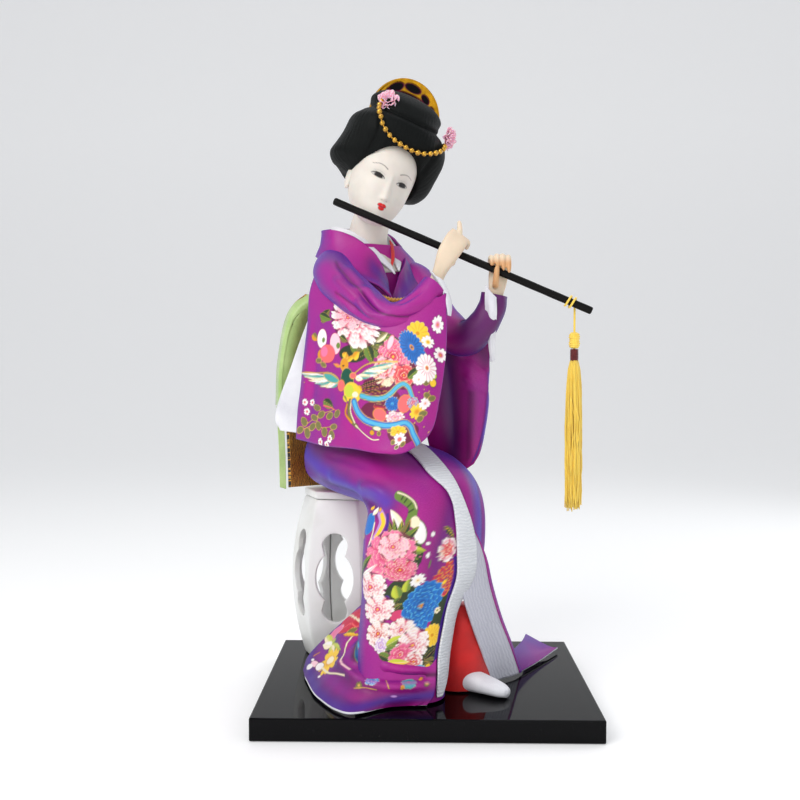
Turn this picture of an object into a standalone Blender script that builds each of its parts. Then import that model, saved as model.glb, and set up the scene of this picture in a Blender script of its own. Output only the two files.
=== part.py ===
"""Seated doll playing a flute, in kimono, on a barrel stool and a lacquered board.

Sizes are in millimetres. The board's underside is z = 0, with its middle at the origin.
Points of the figure are measured from the stool's axis, at the board's top face, and are
placed by place(): heights below the seat follow the seat, those above it ride on it.
"""

import math

import bmesh
import bpy
import numpy as np
from mathutils import Vector
from mathutils.bvhtree import BVHTree

MM = 0.001

# Board
BOARD_WIDTH = 155.0
BOARD_DEPTH = 120.0
BOARD_THICKNESS = 10.3
BOARD_EDGE = 0.6

# Stool, a hexagonal barrel of six staves under a seat
STOOL_X = -43.0
STOOL_Y = 36.0
STOOL_TURN = -97.6
STAVES = 6
STAVE_HEIGHT = 84.0
STAVE_WALL = 3.0
BARREL_END_RADIUS = 21.0
BARREL_BULGE = 7.2
SEAT_THICKNESS = 4.0
SEAT_EDGE = 0.8
CUTOUT_SMALL = 6.5
CUTOUT_WIDE = 9.8
CUTOUT_TALL = 13.3
CUTOUT_PITCH = 16.2
CUTOUT_HEIGHT = 45.0

# Clearances between pieces
GAP = 0.3
CLOTH = 1.2
SEAT_DRAWN = 88.3

# Head
HEAD_AT = (20.8, -32.0, 245.2)
HEAD_TURN = 22.0
HEAD_ROLL = 21.0
NOSE_LENGTH = 2.4
NECK_RADIUS = 9.2
COMB_RADIUS = 18.3
COMB_WIDTH = 9.5
COMB_THICKNESS = 1.8
COMB_AT = (2.0, 7.0, 32.5)
BEAD_RADIUS = 1.3
THREAD_RADIUS = 0.6
BEAD_COUNT = 15
CHAIN_CLEARANCE = 1.0
FLOWER_RADIUS = 5.4

# Flute and its tassel
FLUTE_RADIUS = 1.75
FLUTE_BORE = 0.8
FLUTE_LEFT = (-1.0, -50.0, 230.4)
FLUTE_RIGHT = (118.6, -62.0, 178.1)
CORD_RADIUS = 0.5
CORD_PLAY = 0.35
WRAP_TURNS = 2
WRAP_PITCH = 2.2
WRAP_AT = 0.935
KNOT_RADIUS = 2.6
KNOT_HEIGHT = 7.5
BAND_RADIUS = 1.9
BAND_HEIGHT = 5.5
TASSEL_RADIUS = 4.2
TASSEL_LENGTH = 70.0
CORD_DROP = 13.0

# Body
WAIST = 121.4
BODICE_TOP = 213.0
SASH_BOTTOM = 134.0
SASH_TOP = 180.0
SASH_THICKNESS = 2.2
BOW_THICKNESS = 7.0
WRIST_ROOM = 4.1
TURN = 30.0
LAP_TURN = 33.5


def clear_scene():
    for thing in list(bpy.data.objects):
        bpy.data.objects.remove(thing, do_unlink=True)


def material(name, colour, roughness, metallic=0.0):
    made = bpy.data.materials.new(name)
    made.use_nodes = True
    shader = made.node_tree.nodes["Principled BSDF"]
    shader.inputs["Base Color"].default_value = (*colour, 1.0)
    shader.inputs["Roughness"].default_value = roughness
    shader.inputs["Metallic"].default_value = metallic
    made.diffuse_color = (*colour, 1.0)
    return made


def lift(height):
    """Below the seat a height follows the seat's; above it, it rides on the seat."""
    height = np.asarray(height, float)
    seat = STAVE_HEIGHT + GAP + SEAT_THICKNESS
    return np.where(height < SEAT_DRAWN, height * seat / SEAT_DRAWN, height + seat - SEAT_DRAWN)


def place(points):
    """Figure coordinates in millimetres to the board's, in millimetres."""
    points = np.array(points, float)
    points[..., 0] += STOOL_X
    points[..., 1] += STOOL_Y
    points[..., 2] = lift(points[..., 2]) + BOARD_THICKNESS
    return points


def head_place(points):
    """Head coordinates (x across, -y forward, z up) to the board's."""
    turn = math.radians(HEAD_TURN)
    roll = math.radians(HEAD_ROLL)
    about_z = np.array([[math.cos(turn), -math.sin(turn), 0], [math.sin(turn), math.cos(turn), 0], [0, 0, 1]])
    about_y = np.array([[math.cos(roll), 0, math.sin(roll)], [0, 1, 0], [-math.sin(roll), 0, math.cos(roll)]])
    moved = np.asarray(points, float) @ (about_y @ about_z).T
    return moved + place(HEAD_AT)


def curve_through(points, count, closed=False):
    """A smooth curve through rows of points, read at count places (Catmull-Rom)."""
    points = np.asarray(points, float)
    number = len(points)
    if closed:
        t = np.arange(count) * number / count
        index = np.floor(t).astype(int)
        around = [points[(index + k) % number] for k in (-1, 0, 1, 2)]
    else:
        t = np.linspace(0, number - 1, count)
        index = np.minimum(np.floor(t).astype(int), number - 2)
        ends = np.concatenate([2 * points[:1] - points[1:2], points, 2 * points[-1:] - points[-2:-1]])
        around = [ends[index + k] for k in (0, 1, 2, 3)]
    f = (t - index).reshape((-1,) + (1,) * (points.ndim - 1))
    a, b, c, d = around
    return 0.5 * (2 * b + (c - a) * f + (2 * a - 5 * b + 4 * c - d) * f**2 + (3 * b - a - 3 * c + d) * f**3)


def surface_through(grid, rows, columns, closed=False):
    """A smooth surface through a grid of points, read at rows by columns places."""
    along = curve_through(grid, rows)
    return curve_through(np.swapaxes(along, 0, 1), columns, closed).swapaxes(0, 1)


def add_object(name, vertices, faces, finish, smooth_angle=35.0):
    """A mesh object from millimetre vertices, its faces turned outwards."""
    mesh = bpy.data.meshes.new(name)
    mesh.from_pydata((np.asarray(vertices) * MM).tolist(), [], faces)
    work = bmesh.new()
    work.from_mesh(mesh)
    bmesh.ops.recalc_face_normals(work, faces=work.faces[:])
    work.to_mesh(mesh)
    work.free()
    mesh.shade_smooth()
    mesh.set_sharp_from_angle(angle=math.radians(smooth_angle))
    made = bpy.data.objects.new(name, mesh)
    if finish is not None:
        made.data.materials.append(finish)
    bpy.context.scene.collection.objects.link(made)
    return made


def strips(rows, columns, wrap_rows, wrap_columns):
    """Quads over a grid of vertices, row by row."""
    faces = []
    for i in range(rows if wrap_rows else rows - 1):
        for j in range(columns if wrap_columns else columns - 1):
            k, m = (i + 1) % rows, (j + 1) % columns
            faces.append((i * columns + j, i * columns + m, k * columns + m, k * columns + j))
    return faces


def loft(name, rings, finish, smooth_angle=35.0):
    """A closed solid through rings of points, each end closed by one flat face."""
    rings = np.asarray(rings, float)
    rows, columns = rings.shape[:2]
    faces = strips(rows, columns, False, True)
    faces.append(tuple(range(columns))[::-1])
    faces.append(tuple((rows - 1) * columns + j for j in range(columns)))
    return add_object(name, rings.reshape(-1, 3), faces, finish, smooth_angle)


def shell(name, outer, inner, finish):
    """An open tube with a wall: outer rings up, inner rings down, joined at both rims."""
    rings = np.concatenate([outer, inner[::-1]])
    rows, columns = rings.shape[:2]
    return add_object(name, rings.reshape(-1, 3), strips(rows, columns, True, True), finish)


def normals_of(grid):
    along = np.gradient(grid, axis=0)
    across = np.gradient(grid, axis=1)
    normal = np.cross(across, along)
    return normal / np.maximum(np.linalg.norm(normal, axis=-1, keepdims=True), 1e-9)


def sheet(name, grid, thickness, finish):
    """A closed solid of cloth: the surface moved half its thickness to either side."""
    grid = np.asarray(grid, float)
    rows, columns = grid.shape[:2]
    half = np.broadcast_to(np.asarray(thickness, float) / 2, (rows, columns))[..., None] * normals_of(grid)
    vertices = np.concatenate([(grid + half).reshape(-1, 3), (grid - half).reshape(-1, 3)])
    size = rows * columns
    front = strips(rows, columns, False, False)
    back = [tuple(size + v for v in face[::-1]) for face in front]
    border = [j for j in range(columns)]
    border += [i * columns + columns - 1 for i in range(1, rows)]
    border += [(rows - 1) * columns + j for j in range(columns - 2, -1, -1)]
    border += [i * columns for i in range(rows - 2, 0, -1)]
    rim = [(a, b, size + b, size + a) for a, b in zip(border, border[1:] + border[:1])]
    return add_object(name, vertices, front + back + rim, finish)


def laid_on(points, form, stand_off):
    """Points moved back along a slightly falling line until they lie on a form's surface."""
    work = bmesh.new()
    work.from_mesh(form.data)
    tree = BVHTree.FromBMesh(work)
    work.free()
    way = Vector((0, 1, -0.1)).normalized()
    laid = np.array(points, float)
    for index in np.ndindex(laid.shape[:-1]):
        hit, normal, _, _ = tree.ray_cast(Vector(laid[index] * MM), way)
        if hit:
            laid[index] = np.array(hit) / MM + np.array(normal) * stand_off
    return laid


def tube_rings(path, radii, sides):
    """Round sections of given radii along a path."""
    path = np.asarray(path, float)
    radii = np.broadcast_to(np.asarray(radii, float), len(path))
    ahead = np.gradient(path, axis=0)
    ahead /= np.linalg.norm(ahead, axis=1, keepdims=True)
    side = np.cross(ahead[0], (0.3, 0.9, 0.31))
    rings = []
    angle = np.arange(sides) * 2 * math.pi / sides
    for point, way, radius in zip(path, ahead, radii):
        side = side - way * (side @ way)
        side = side / np.linalg.norm(side)
        other = np.cross(way, side)
        rings.append(point + radius * (np.outer(np.cos(angle), side) + np.outer(np.sin(angle), other)))
    return np.array(rings)


def as_cutter(thing):
    thing.hide_render = True
    thing.display_type = "WIRE"
    return thing


def grown(thing, clearance):
    """A cutter: a copy of a piece with its surface moved outwards by a clearance."""
    work = bmesh.new()
    work.from_mesh(thing.data)
    bmesh.ops.triangulate(work, faces=work.faces[:])
    work.normal_update()
    moves = [v.normal * min(v.calc_shell_factor(), 1.6) * clearance * MM for v in work.verts]
    for vertex, move in zip(work.verts, moves):
        vertex.co += move
    mesh = bpy.data.meshes.new(thing.name + "_room")
    work.to_mesh(mesh)
    work.free()
    made = bpy.data.objects.new(thing.name + "_room", mesh)
    bpy.context.scene.collection.objects.link(made)
    return as_cutter(made)


def boolean(thing, cutter, operation="DIFFERENCE"):
    step = thing.modifiers.new(cutter.name, "BOOLEAN")
    step.operation = operation
    step.object = cutter
    step.solver = "EXACT"


def cut_clear(thing, neighbours, clearance=GAP):
    for neighbour in neighbours:
        boolean(thing, grown(neighbour, clearance))


def ellipse_ring(centre, across, along, count, power=2.0):
    """A closed ring about a centre, with two half-axis vectors; power over 2 squares it."""
    angle = np.arange(count) * 2 * math.pi / count
    c, s = np.cos(angle), np.sin(angle)
    c = np.sign(c) * np.abs(c) ** (2 / power)
    s = np.sign(s) * np.abs(s) ** (2 / power)
    return np.asarray(centre, float) + np.outer(c, across) + np.outer(s, along)


# Board and stool


def make_board(finish):
    bpy.ops.mesh.primitive_cube_add(size=1)
    board = bpy.context.object
    board.name = "base_board"
    scale = (BOARD_WIDTH * MM, BOARD_DEPTH * MM, BOARD_THICKNESS * MM)
    for vertex in board.data.vertices:
        vertex.co = [c * s for c, s in zip(vertex.co, scale)]
        vertex.co.z += BOARD_THICKNESS * MM / 2
    bevel = board.modifiers.new("edge", "BEVEL")
    bevel.width = BOARD_EDGE * MM
    bevel.segments = 2
    board.data.materials.append(finish)
    return board


def barrel_radius(height):
    """Corner radius of the barrel at a height above the board: a shallow parabola."""
    share = 2 * np.asarray(height, float) / STAVE_HEIGHT - 1
    return BARREL_END_RADIUS + BARREL_BULGE * (1 - share**2)


def make_stave(index, finish):
    """One flat-fronted, bowed stave with a pierced cut-out of three overlapping circles."""
    rows = 5
    low = GAP
    heights = np.linspace(low, STAVE_HEIGHT, rows)
    half_turn = math.pi / STAVES
    turn = math.radians(STOOL_TURN + index * 360.0 / STAVES)
    ahead = np.array([math.cos(turn), math.sin(turn), 0.0])
    beside = np.array([-ahead[1], ahead[0], 0.0])
    radius = barrel_radius(heights)
    rings = []
    for height, corner in zip(heights, radius):
        face = corner * math.cos(half_turn)
        outer = corner * math.sin(half_turn) - GAP / 2
        inner = outer - STAVE_WALL * math.tan(half_turn)
        up = np.array([STOOL_X, STOOL_Y, BOARD_THICKNESS + height])
        rings.append([
            up + ahead * face + beside * outer,
            up + ahead * face - beside * outer,
            up + ahead * (face - STAVE_WALL) - beside * inner,
            up + ahead * (face - STAVE_WALL) + beside * inner,
        ])
    stave = loft(f"stool_stave_{index + 1}", rings, finish)
    middle = np.array([STOOL_X, STOOL_Y, BOARD_THICKNESS + CUTOUT_HEIGHT])
    outline = cutout_outline()
    reach = (barrel_radius(STAVE_HEIGHT / 2) + 3.0, BARREL_END_RADIUS / 2)
    rings = [[middle + ahead * r + beside * x + np.array([0, 0, z]) for x, z in outline] for r in reach]
    boolean(stave, as_cutter(loft(f"cutout_{index + 1}", rings, None)))
    return stave


def cutout_outline():
    """Outline of a tall oval between two circles: at each height, the wider of them."""
    arc = np.radians(np.linspace(-58, 90, 6))
    oval = np.radians(np.linspace(-56, 56, 5))
    heights = np.concatenate([CUTOUT_TALL * np.sin(oval), CUTOUT_PITCH + CUTOUT_SMALL * np.sin(arc)])
    heights = np.unique(np.round(np.concatenate([heights, -heights]), 4))
    inside = np.clip(1 - (heights / CUTOUT_TALL) ** 2, 0, 1)
    circle = np.clip(CUTOUT_SMALL**2 - (np.abs(heights) - CUTOUT_PITCH) ** 2, 0, None)
    widths = np.maximum(CUTOUT_WIDE * np.sqrt(inside), np.sqrt(circle))
    right = [(w, z) for w, z in zip(widths, heights)]
    left = [(-w, z) for w, z in right[-2:0:-1]]
    return right + left


def make_seat(finish):
    corners = []
    for k in range(STAVES):
        a = math.radians(STOOL_TURN + 180.0 / STAVES + k * 360.0 / STAVES)
        corners.append((math.cos(a), math.sin(a)))
    rings = []
    low = BOARD_THICKNESS + STAVE_HEIGHT + GAP
    for z, inset in ((0, 0), (SEAT_THICKNESS - SEAT_EDGE, 0), (SEAT_THICKNESS, SEAT_EDGE)):
        r = BARREL_END_RADIUS - inset
        rings.append([(STOOL_X + r * x, STOOL_Y + r * y, low + z) for x, y in corners])
    return loft("stool_seat", rings, finish)


# Head, hair and ornaments

HEAD_SECTIONS = np.array([
    # height, half-width, front, back
    (-24.6, 2.5, -13.5, -8.0),
    (-23.4, 6.0, -16.2, -3.0),
    (-20.5, 9.0, -17.6, 4.0),
    (-16.5, 11.6, -17.7, 9.0),
    (-11.0, 13.8, -17.5, 13.0),
    (-4.0, 15.2, -17.2, 16.5),
    (4.0, 15.8, -17.8, 19.0),
    (12.0, 15.2, -16.4, 19.0),
    (18.0, 11.6, -11.4, 15.0),
    (21.6, 5.0, -3.5, 8.0),
])

HAIR_SECTIONS = np.array([
    (-6.5, 15.0, 3.0, 19.0),
    (-4.6, 20.5, -4.0, 22.0),
    (0.5, 25.0, -10.0, 24.0),
    (8.0, 26.8, -16.0, 24.5),
    (16.0, 26.6, -20.4, 24.0),
    (22.0, 24.6, -20.6, 22.5),
    (26.5, 20.0, -19.0, 20.0),
    (30.0, 17.4, -17.4, 17.5),
    (34.5, 17.8, -14.6, 16.0),
    (38.2, 14.0, -10.0, 12.5),
    (40.4, 6.5, -4.0, 6.5),
])


def section_rings(sections, rows, columns, power):
    """Rings of a head-like form: each has a half-width, a front and a back."""
    read = curve_through(sections, rows)
    angle = np.arange(columns) * 2 * math.pi / columns
    c, s = np.cos(angle), np.sin(angle)
    c = np.sign(c) * np.abs(c) ** (2 / power)
    s = np.sign(s) * np.abs(s) ** (2 / power)
    rings = np.zeros((rows, columns, 3))
    middle = (read[:, 2] + read[:, 3]) / 2
    depth = (read[:, 3] - read[:, 2]) / 2
    rings[..., 0] = read[:, 1, None] * s
    rings[..., 1] = middle[:, None] + depth[:, None] * c
    rings[..., 2] = read[:, 0, None]
    return rings


def make_head(finish):
    """Oval head with a small nose, joined to a neck that runs into the collar."""
    rings = section_rings(HEAD_SECTIONS, 16, 20, 2.15)
    x, y, z = rings[..., 0], rings[..., 1], rings[..., 2]
    front = y < -6
    nose = np.exp(-((x / 3.0) ** 2)) * np.clip((z + 15.5) / 2.4, 0, 1) * np.clip((-1.0 - z) / 11.0, 0, 1) ** 0.9
    lips = 0.7 * np.exp(-((x / 3.6) ** 2) - ((z + 17.4) / 1.8) ** 2)
    brow = -0.7 * np.exp(-(((np.abs(x) - 6.2) / 3.2) ** 2) - ((z + 3.4) / 2.6) ** 2)
    rings[..., 1] -= np.where(front, NOSE_LENGTH * nose + lips + brow, 0)
    head = loft("head", head_place(rings), finish, 60)
    neck_path = place([(12.6, -24.0, 204.6), (13.0, -24.5, 214), (15.5, -27, 224), (20, -30, 236)])
    radii = curve_through(np.array([[11.5], [10.0], [NECK_RADIUS], [NECK_RADIUS]]), 10)[:, 0]
    neck = loft("neck_form", tube_rings(curve_through(neck_path, 10), radii, 14), None, 60)
    boolean(head, as_cutter(neck), "UNION")
    forms = [head, neck]
    for side in (-1, 1):
        lobe = [(side * (14.6 + 1.6 * t), -1.0 + 3.2 * t, -6.0 - 1.0 * t) for t in (0, 0.5, 1)]
        rings = [
            ellipse_ring(p, (0.4, 2.2 * w, 0), (0, 0.6 * w, 4.6 * w), 10) for p, w in zip(lobe, (1.0, 1.05, 0.55))
        ]
        forms.append(loft(f"ear_form_{side + 2}", head_place(rings), None))
        boolean(head, as_cutter(forms[-1]), "UNION")
    return forms


def make_hair(finish, head_forms):
    """Swept-up wig with two side wings and a top knot, open over the face."""
    hair = loft("hair", head_place(section_rings(HAIR_SECTIONS, 14, 22, 2.4)), finish, 60)
    window = [ellipse_ring((0.0, y, -6.5), (14.8, 0, 0), (0, 0, 20.0), 20) for y in (-40.0, -3.0)]
    boolean(hair, as_cutter(loft("face_window", head_place(window), None)))
    cut_clear(hair, head_forms)
    return hair


def make_comb(finish):
    """Half-moon comb: a pierced crescent that stands in the top knot."""
    x0, y0, z0 = COMB_AT
    steps = 21
    angle = np.radians(np.linspace(-8, 188, steps))
    outer = np.stack([x0 + COMB_RADIUS * np.cos(angle), z0 + COMB_RADIUS * np.sin(angle)], 1)
    low = z0 - 2.0
    inner_radius = COMB_RADIUS - COMB_WIDTH
    inner = np.stack([x0 + inner_radius * 1.25 * np.cos(angle[::-1]), low + inner_radius * np.sin(angle[::-1])], 1)
    outline = np.concatenate([outer, inner])
    half = COMB_THICKNESS / 2
    rows = [[(x, y0 + side * half, z) for x, z in outline] for side in (-1, 1)]
    count = len(outline)
    vertices = np.concatenate([head_place(row) for row in rows])
    faces = []
    for k in range(steps - 1):
        a, b = k, k + 1
        c, d = count - 1 - k, count - 2 - k
        faces.append((a, b, d, c))
        faces.append((count + c, count + d, count + b, count + a))
    for k in range(count):
        m = (k + 1) % count
        faces.append((k, m, count + m, count + k))
    comb = add_object("hair_comb", vertices, faces, finish)
    ring = COMB_RADIUS - COMB_WIDTH * 0.42
    for number, (middle, width) in enumerate(((128, 22), (97, 24), (64, 20), (36, 14))):
        a = np.radians(np.array([middle - width / 2, middle, middle + width / 2]))
        near, far = ring - 1.5, ring + 1.5
        outline = [(far * math.cos(t), far * math.sin(t)) for t in a]
        outline += [(near * math.cos(t), near * math.sin(t)) for t in a[::-1]]
        rings = [[(x0 + x, y0 + side * COMB_THICKNESS, z0 + z) for x, z in outline] for side in (-1, 1)]
        boolean(comb, as_cutter(loft(f"comb_opening_{number}", head_place(rings), None)))
    return comb


def hair_front(x, height):
    """The hair's front surface (y) at a place across and a height, in head coordinates."""
    width = np.interp(height, HAIR_SECTIONS[:, 0], HAIR_SECTIONS[:, 1])
    front = np.interp(height, HAIR_SECTIONS[:, 0], HAIR_SECTIONS[:, 2])
    back = np.interp(height, HAIR_SECTIONS[:, 0], HAIR_SECTIONS[:, 3])
    share = np.clip(1 - np.abs(x / width) ** 2.4, 0, 1) ** (1 / 2.4)
    return (front + back) / 2 - (back - front) / 2 * share


def chain_path(count):
    """The string of beads: from one flower down over the brow and up to the other."""
    swag = np.array([
        (-14.6, 30.5), (-15.2, 27.5), (-14.6, 23.5), (-12.2, 18.6), (-7.8, 15.0), (-2.4, 13.6),
        (3.4, 13.4), (9.0, 14.4), (14.0, 16.8), (18.0, 20.0), (20.6, 24.2),
    ])
    flat = curve_through(swag, count)
    front = hair_front(flat[:, 0], flat[:, 1]) - BEAD_RADIUS - CHAIN_CLEARANCE
    return np.stack([flat[:, 0], front, flat[:, 1]], 1)


def make_chain(finish):
    """Gold beads on a thread, one solid whose radius swells at each bead."""
    per_bead = 4
    count = BEAD_COUNT * per_bead + 1
    swell = np.abs(np.sin(math.pi * np.arange(count) / per_bead))
    radii = THREAD_RADIUS + (BEAD_RADIUS - THREAD_RADIUS) * np.sqrt(swell)
    return loft("bead_chain", tube_rings(head_place(chain_path(count)), radii, 5), finish)


def make_flower(name, centre, facing, finish, hair):
    """Small ruffled blossom: a cup of petals round a domed heart."""
    facing = np.asarray(facing, float) / np.linalg.norm(facing)
    side = np.cross(facing, (0.2, 0.1, 1.0))
    side /= np.linalg.norm(side)
    other = np.cross(facing, side)
    angle = np.arange(15) * 2 * math.pi / 15
    rings = []
    profile = ((0.15, -2.0), (0.62, -1.2), (1.0, 1.4), (0.78, 1.9), (0.45, 1.3), (0.15, 1.7))
    for share, height in profile:
        radius = FLOWER_RADIUS * share * (1 + 0.13 * np.cos(5 * angle) * min(1, share * 1.4))
        ring = np.asarray(centre) + np.outer(radius * np.cos(angle), side) + np.outer(radius * np.sin(angle), other)
        rings.append(ring + facing * height)
    flower = loft(name, head_place(np.array(rings)), finish)
    cut_clear(flower, [hair])
    return flower


# Flute, cord and tassel


def flute_point(share):
    low, high = place(FLUTE_LEFT), place(FLUTE_RIGHT)
    return low + (high - low) * share


def make_flute(finish):
    path = [flute_point(t) for t in (0, 0.01, 0.99, 1)]
    radii = (FLUTE_RADIUS - 0.25, FLUTE_RADIUS, FLUTE_RADIUS, FLUTE_RADIUS - 0.25)
    flute = loft("flute", tube_rings(path, radii, 12), finish)
    bore = [flute_point(t) for t in (0.94, 1.02)]
    boolean(flute, as_cutter(loft("flute_bore", tube_rings(bore, FLUTE_BORE, 10), None)))
    return flute


def cord_route():
    """The tassel's cord: two turns round the flute, then straight down into the tassel."""
    centre = flute_point(WRAP_AT)
    way = place(FLUTE_RIGHT) - place(FLUTE_LEFT)
    way /= np.linalg.norm(way)
    down = np.array([0, 0, -1.0]) - way * (np.array([0, 0, -1.0]) @ way)
    down /= np.linalg.norm(down)
    front = np.cross(down, way)
    radius = FLUTE_RADIUS + CORD_PLAY + CORD_RADIUS
    turns = WRAP_TURNS - 0.25
    t = np.linspace(0, 1, 10 * WRAP_TURNS)
    angle = 2 * math.pi * turns * t
    helix = centre + np.outer((t - 1) * WRAP_PITCH * turns, way)
    helix = helix + radius * (np.outer(np.cos(angle), down) + np.outer(np.sin(angle), front))
    last = helix[-1]
    drop = [last + np.array([0.1, 0, -z]) for z in (3.0, 6.0, 9.0, CORD_DROP)]
    inside = [last + np.array([0.1, 0, -CORD_DROP - z]) for z in (6.0, 12.0, 18.0, 24.0)]
    return np.concatenate([helix, drop, inside])


def make_cord(finish):
    curve = bpy.data.curves.new("tassel_cord", "CURVE")
    curve.dimensions = "3D"
    curve.bevel_depth = CORD_RADIUS * MM
    curve.bevel_resolution = 2
    curve.use_fill_caps = True
    line = curve.splines.new("POLY")
    route = cord_route() * MM
    line.points.add(len(route) - 1)
    line.points.foreach_set("co", np.c_[route, np.ones(len(route))].ravel())
    cord = bpy.data.objects.new("tassel_cord", curve)
    curve.materials.append(finish)
    bpy.context.scene.collection.objects.link(cord)
    return cord


def turned(name, centre, profile, finish, bore=None, sides=14, flutes=0.0):
    """A form turned about a vertical axis, with an optional bore down from its top."""
    angle = np.arange(sides) * 2 * math.pi / sides
    wave = 1 + flutes * np.cos(angle * sides / 2)
    rings = []
    for radius, z in profile:
        rings.append(np.stack([
            centre[0] + radius * wave * np.cos(angle),
            centre[1] + radius * wave * np.sin(angle),
            np.full(sides, centre[2] + z),
        ], 1))
    made = loft(name, rings, finish)
    if bore:
        low, high = bore
        path = [centre + np.array([0, 0, low]), centre + np.array([0, 0, high])]
        radius = CORD_RADIUS + CORD_PLAY
        boolean(made, as_cutter(loft(name + "_bore", tube_rings(path, radius, 8), None)))
    return made


def make_tassel(gold, maroon):
    """Knot, wound band and skirt of threads, hung on the cord one under the other."""
    route = cord_route()
    axis = route[-1].copy()
    top = route[-5][2]
    centre = np.array([axis[0], axis[1], top])
    r, h = KNOT_RADIUS, KNOT_HEIGHT
    knot = turned("tassel_knot", centre, (
        (r * 0.45, 0), (r * 0.95, -h * 0.15), (r, -h * 0.32), (r * 0.82, -h * 0.5),
        (r, -h * 0.68), (r * 0.9, -h * 0.88), (r * 0.6, -h)), gold, (-h - 1, 1))
    centre = centre - np.array([0, 0, h + GAP])
    b, h = BAND_RADIUS, BAND_HEIGHT
    band = turned("tassel_band", centre, ((b * 0.94, 0), (b, -h * 0.3), (b, -h * 0.7), (b * 0.94, -h)),
                  maroon, (-h - 1, 1))
    centre = centre - np.array([0, 0, h + GAP])
    t, h = TASSEL_RADIUS, TASSEL_LENGTH
    skirt = turned("tassel_skirt", centre, (
        (b * 0.9, 0), (t * 0.72, -h * 0.06), (t * 0.9, -h * 0.2), (t, -h * 0.45),
        (t * 0.95, -h * 0.7), (t * 0.85, -h * 0.95), (t * 0.6, -h)), gold, (-14.0, 1), 20, 0.06)
    return knot, band, skirt


# Body and clothes

TORSO_SECTIONS = np.array([
    # height, centre x, centre y, half-width, half-depth
    (118.0, 6.0, -9.0, 24.0, 17.0),
    (128.0, 8.0, -12.0, 21.5, 15.5),
    (142.0, 10.5, -15.0, 20.0, 15.0),
    (160.0, 12.0, -18.0, 21.0, 15.5),
    (180.0, 14.0, -20.0, 23.5, 16.5),
    (196.0, 14.5, -21.5, 26.5, 15.5),
    (206.0, 14.0, -23.0, 24.5, 13.8),
    (212.0, 13.5, -24.0, 18.0, 12.5),
    (216.0, 13.2, -24.0, 13.2, 11.8),
])


def torso_rings(heights, growth, columns=20):
    """Rings of the trunk at some heights, grown outwards by a distance."""
    read = np.stack([np.interp(heights, TORSO_SECTIONS[:, 0], TORSO_SECTIONS[:, k]) for k in range(5)], 1)
    turn = math.radians(TURN)
    across = np.array([math.cos(turn), math.sin(turn), 0.0])
    front = np.array([math.sin(turn), -math.cos(turn), 0.0])
    rings = [
        ellipse_ring((x, y, z), across * (w + growth), front * (d + growth), columns, 2.3)
        for z, x, y, w, d in read
    ]
    return place(np.array(rings))


def make_trunk(padding, silk, brocade):
    """Padded core, the bodice sewn round it and the sash wound round that."""
    heights = np.linspace(WAIST, BODICE_TOP, 9)
    core = loft("padded_core", torso_rings(heights[:-1], -GAP), padding)
    bodice = shell("kimono_bodice", torso_rings(heights, CLOTH), torso_rings(heights, 0), silk)
    inner = CLOTH + GAP
    wound = np.linspace(SASH_BOTTOM, SASH_TOP, 5)
    sash = shell("obi_sash", torso_rings(wound, inner + SASH_THICKNESS), torso_rings(wound, inner), brocade)
    room = as_cutter(loft("trunk_room", torso_rings(heights, inner), None))
    return core, bodice, sash, room


def band_grid(path, widths, lean, rows, columns=3):
    """A band of cloth along a path: its width runs along a leaning direction."""
    middle = curve_through(path, rows)
    widths = np.interp(np.linspace(0, 1, rows), np.linspace(0, 1, len(widths)), widths)
    lean = curve_through(lean, rows)
    lean /= np.linalg.norm(lean, axis=1, keepdims=True)
    across = np.linspace(-1, 1, columns)
    return middle[:, None] + across[None, :, None] * (widths[:, None, None] / 2) * lean[:, None]


def outward_lean(path, centre, rise):
    """Directions for a collar: up and away from the neck's axis."""
    away = np.asarray(path, float) - np.asarray(centre, float)
    away[:, 2] = 0
    away /= np.linalg.norm(away, axis=1, keepdims=True)
    away[:, 2] = -rise
    return away


UNDER_COLLAR = (
    (28.4, -37.5, 195.5), (22.0, -39.5, 204.5), (12.5, -38.5, 211.0), (3.0, -32.0, 216.5), (-0.5, -22.5, 219.5),
    (5.0, -12.0, 220.5), (15.5, -9.0, 220.0), (24.5, -14.5, 216.5), (28.8, -23.5, 209.5), (30.4, -31.0, 202.0),
)
RED_COLLAR = ((26.6, -26.0, 211.5), (27.6, -30.5, 206.0), (27.2, -34.8, 200.5), (25.2, -37.4, 197.0))
OUTER_COLLAR = (
    (26.0, -42.0, 178.0), (25.0, -43.8, 189.5), (16.0, -43.6, 201.5), (5.5, -40.8, 209.5), (-5.5, -33.0, 214.5),
    (-9.5, -21.5, 217.0), (-3.5, -9.5, 218.5), (10.0, -3.0, 218.5), (25.0, -6.5, 214.5), (33.5, -16.5, 206.5),
    (36.0, -27.0, 197.5), (34.0, -34.5, 190.0),
)


def make_collars(white, red, silk):
    centre = (14.0, -24.0, 0)
    under = band_grid(place(UNDER_COLLAR), (4.5, 7, 8, 9, 9, 9, 9, 8, 7, 5),
                      outward_lean(UNDER_COLLAR, centre, 1.3), 17)
    white_band = sheet("under_collar", under, 0.9, white)
    slip = band_grid(place(RED_COLLAR), (3.5, 4, 4, 2.5), outward_lean(RED_COLLAR, centre, 1.3), 6, 3)
    red_band = sheet("red_collar", slip, 0.8, red)
    outer = band_grid(place(OUTER_COLLAR), (10, 11, 11.5, 12, 12, 12, 12, 11, 10, 10),
                      outward_lean(OUTER_COLLAR, centre, 0.9), 20)
    silk_band = sheet("kimono_collar", outer, 1.3, silk)
    return white_band, red_band, silk_band


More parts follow.
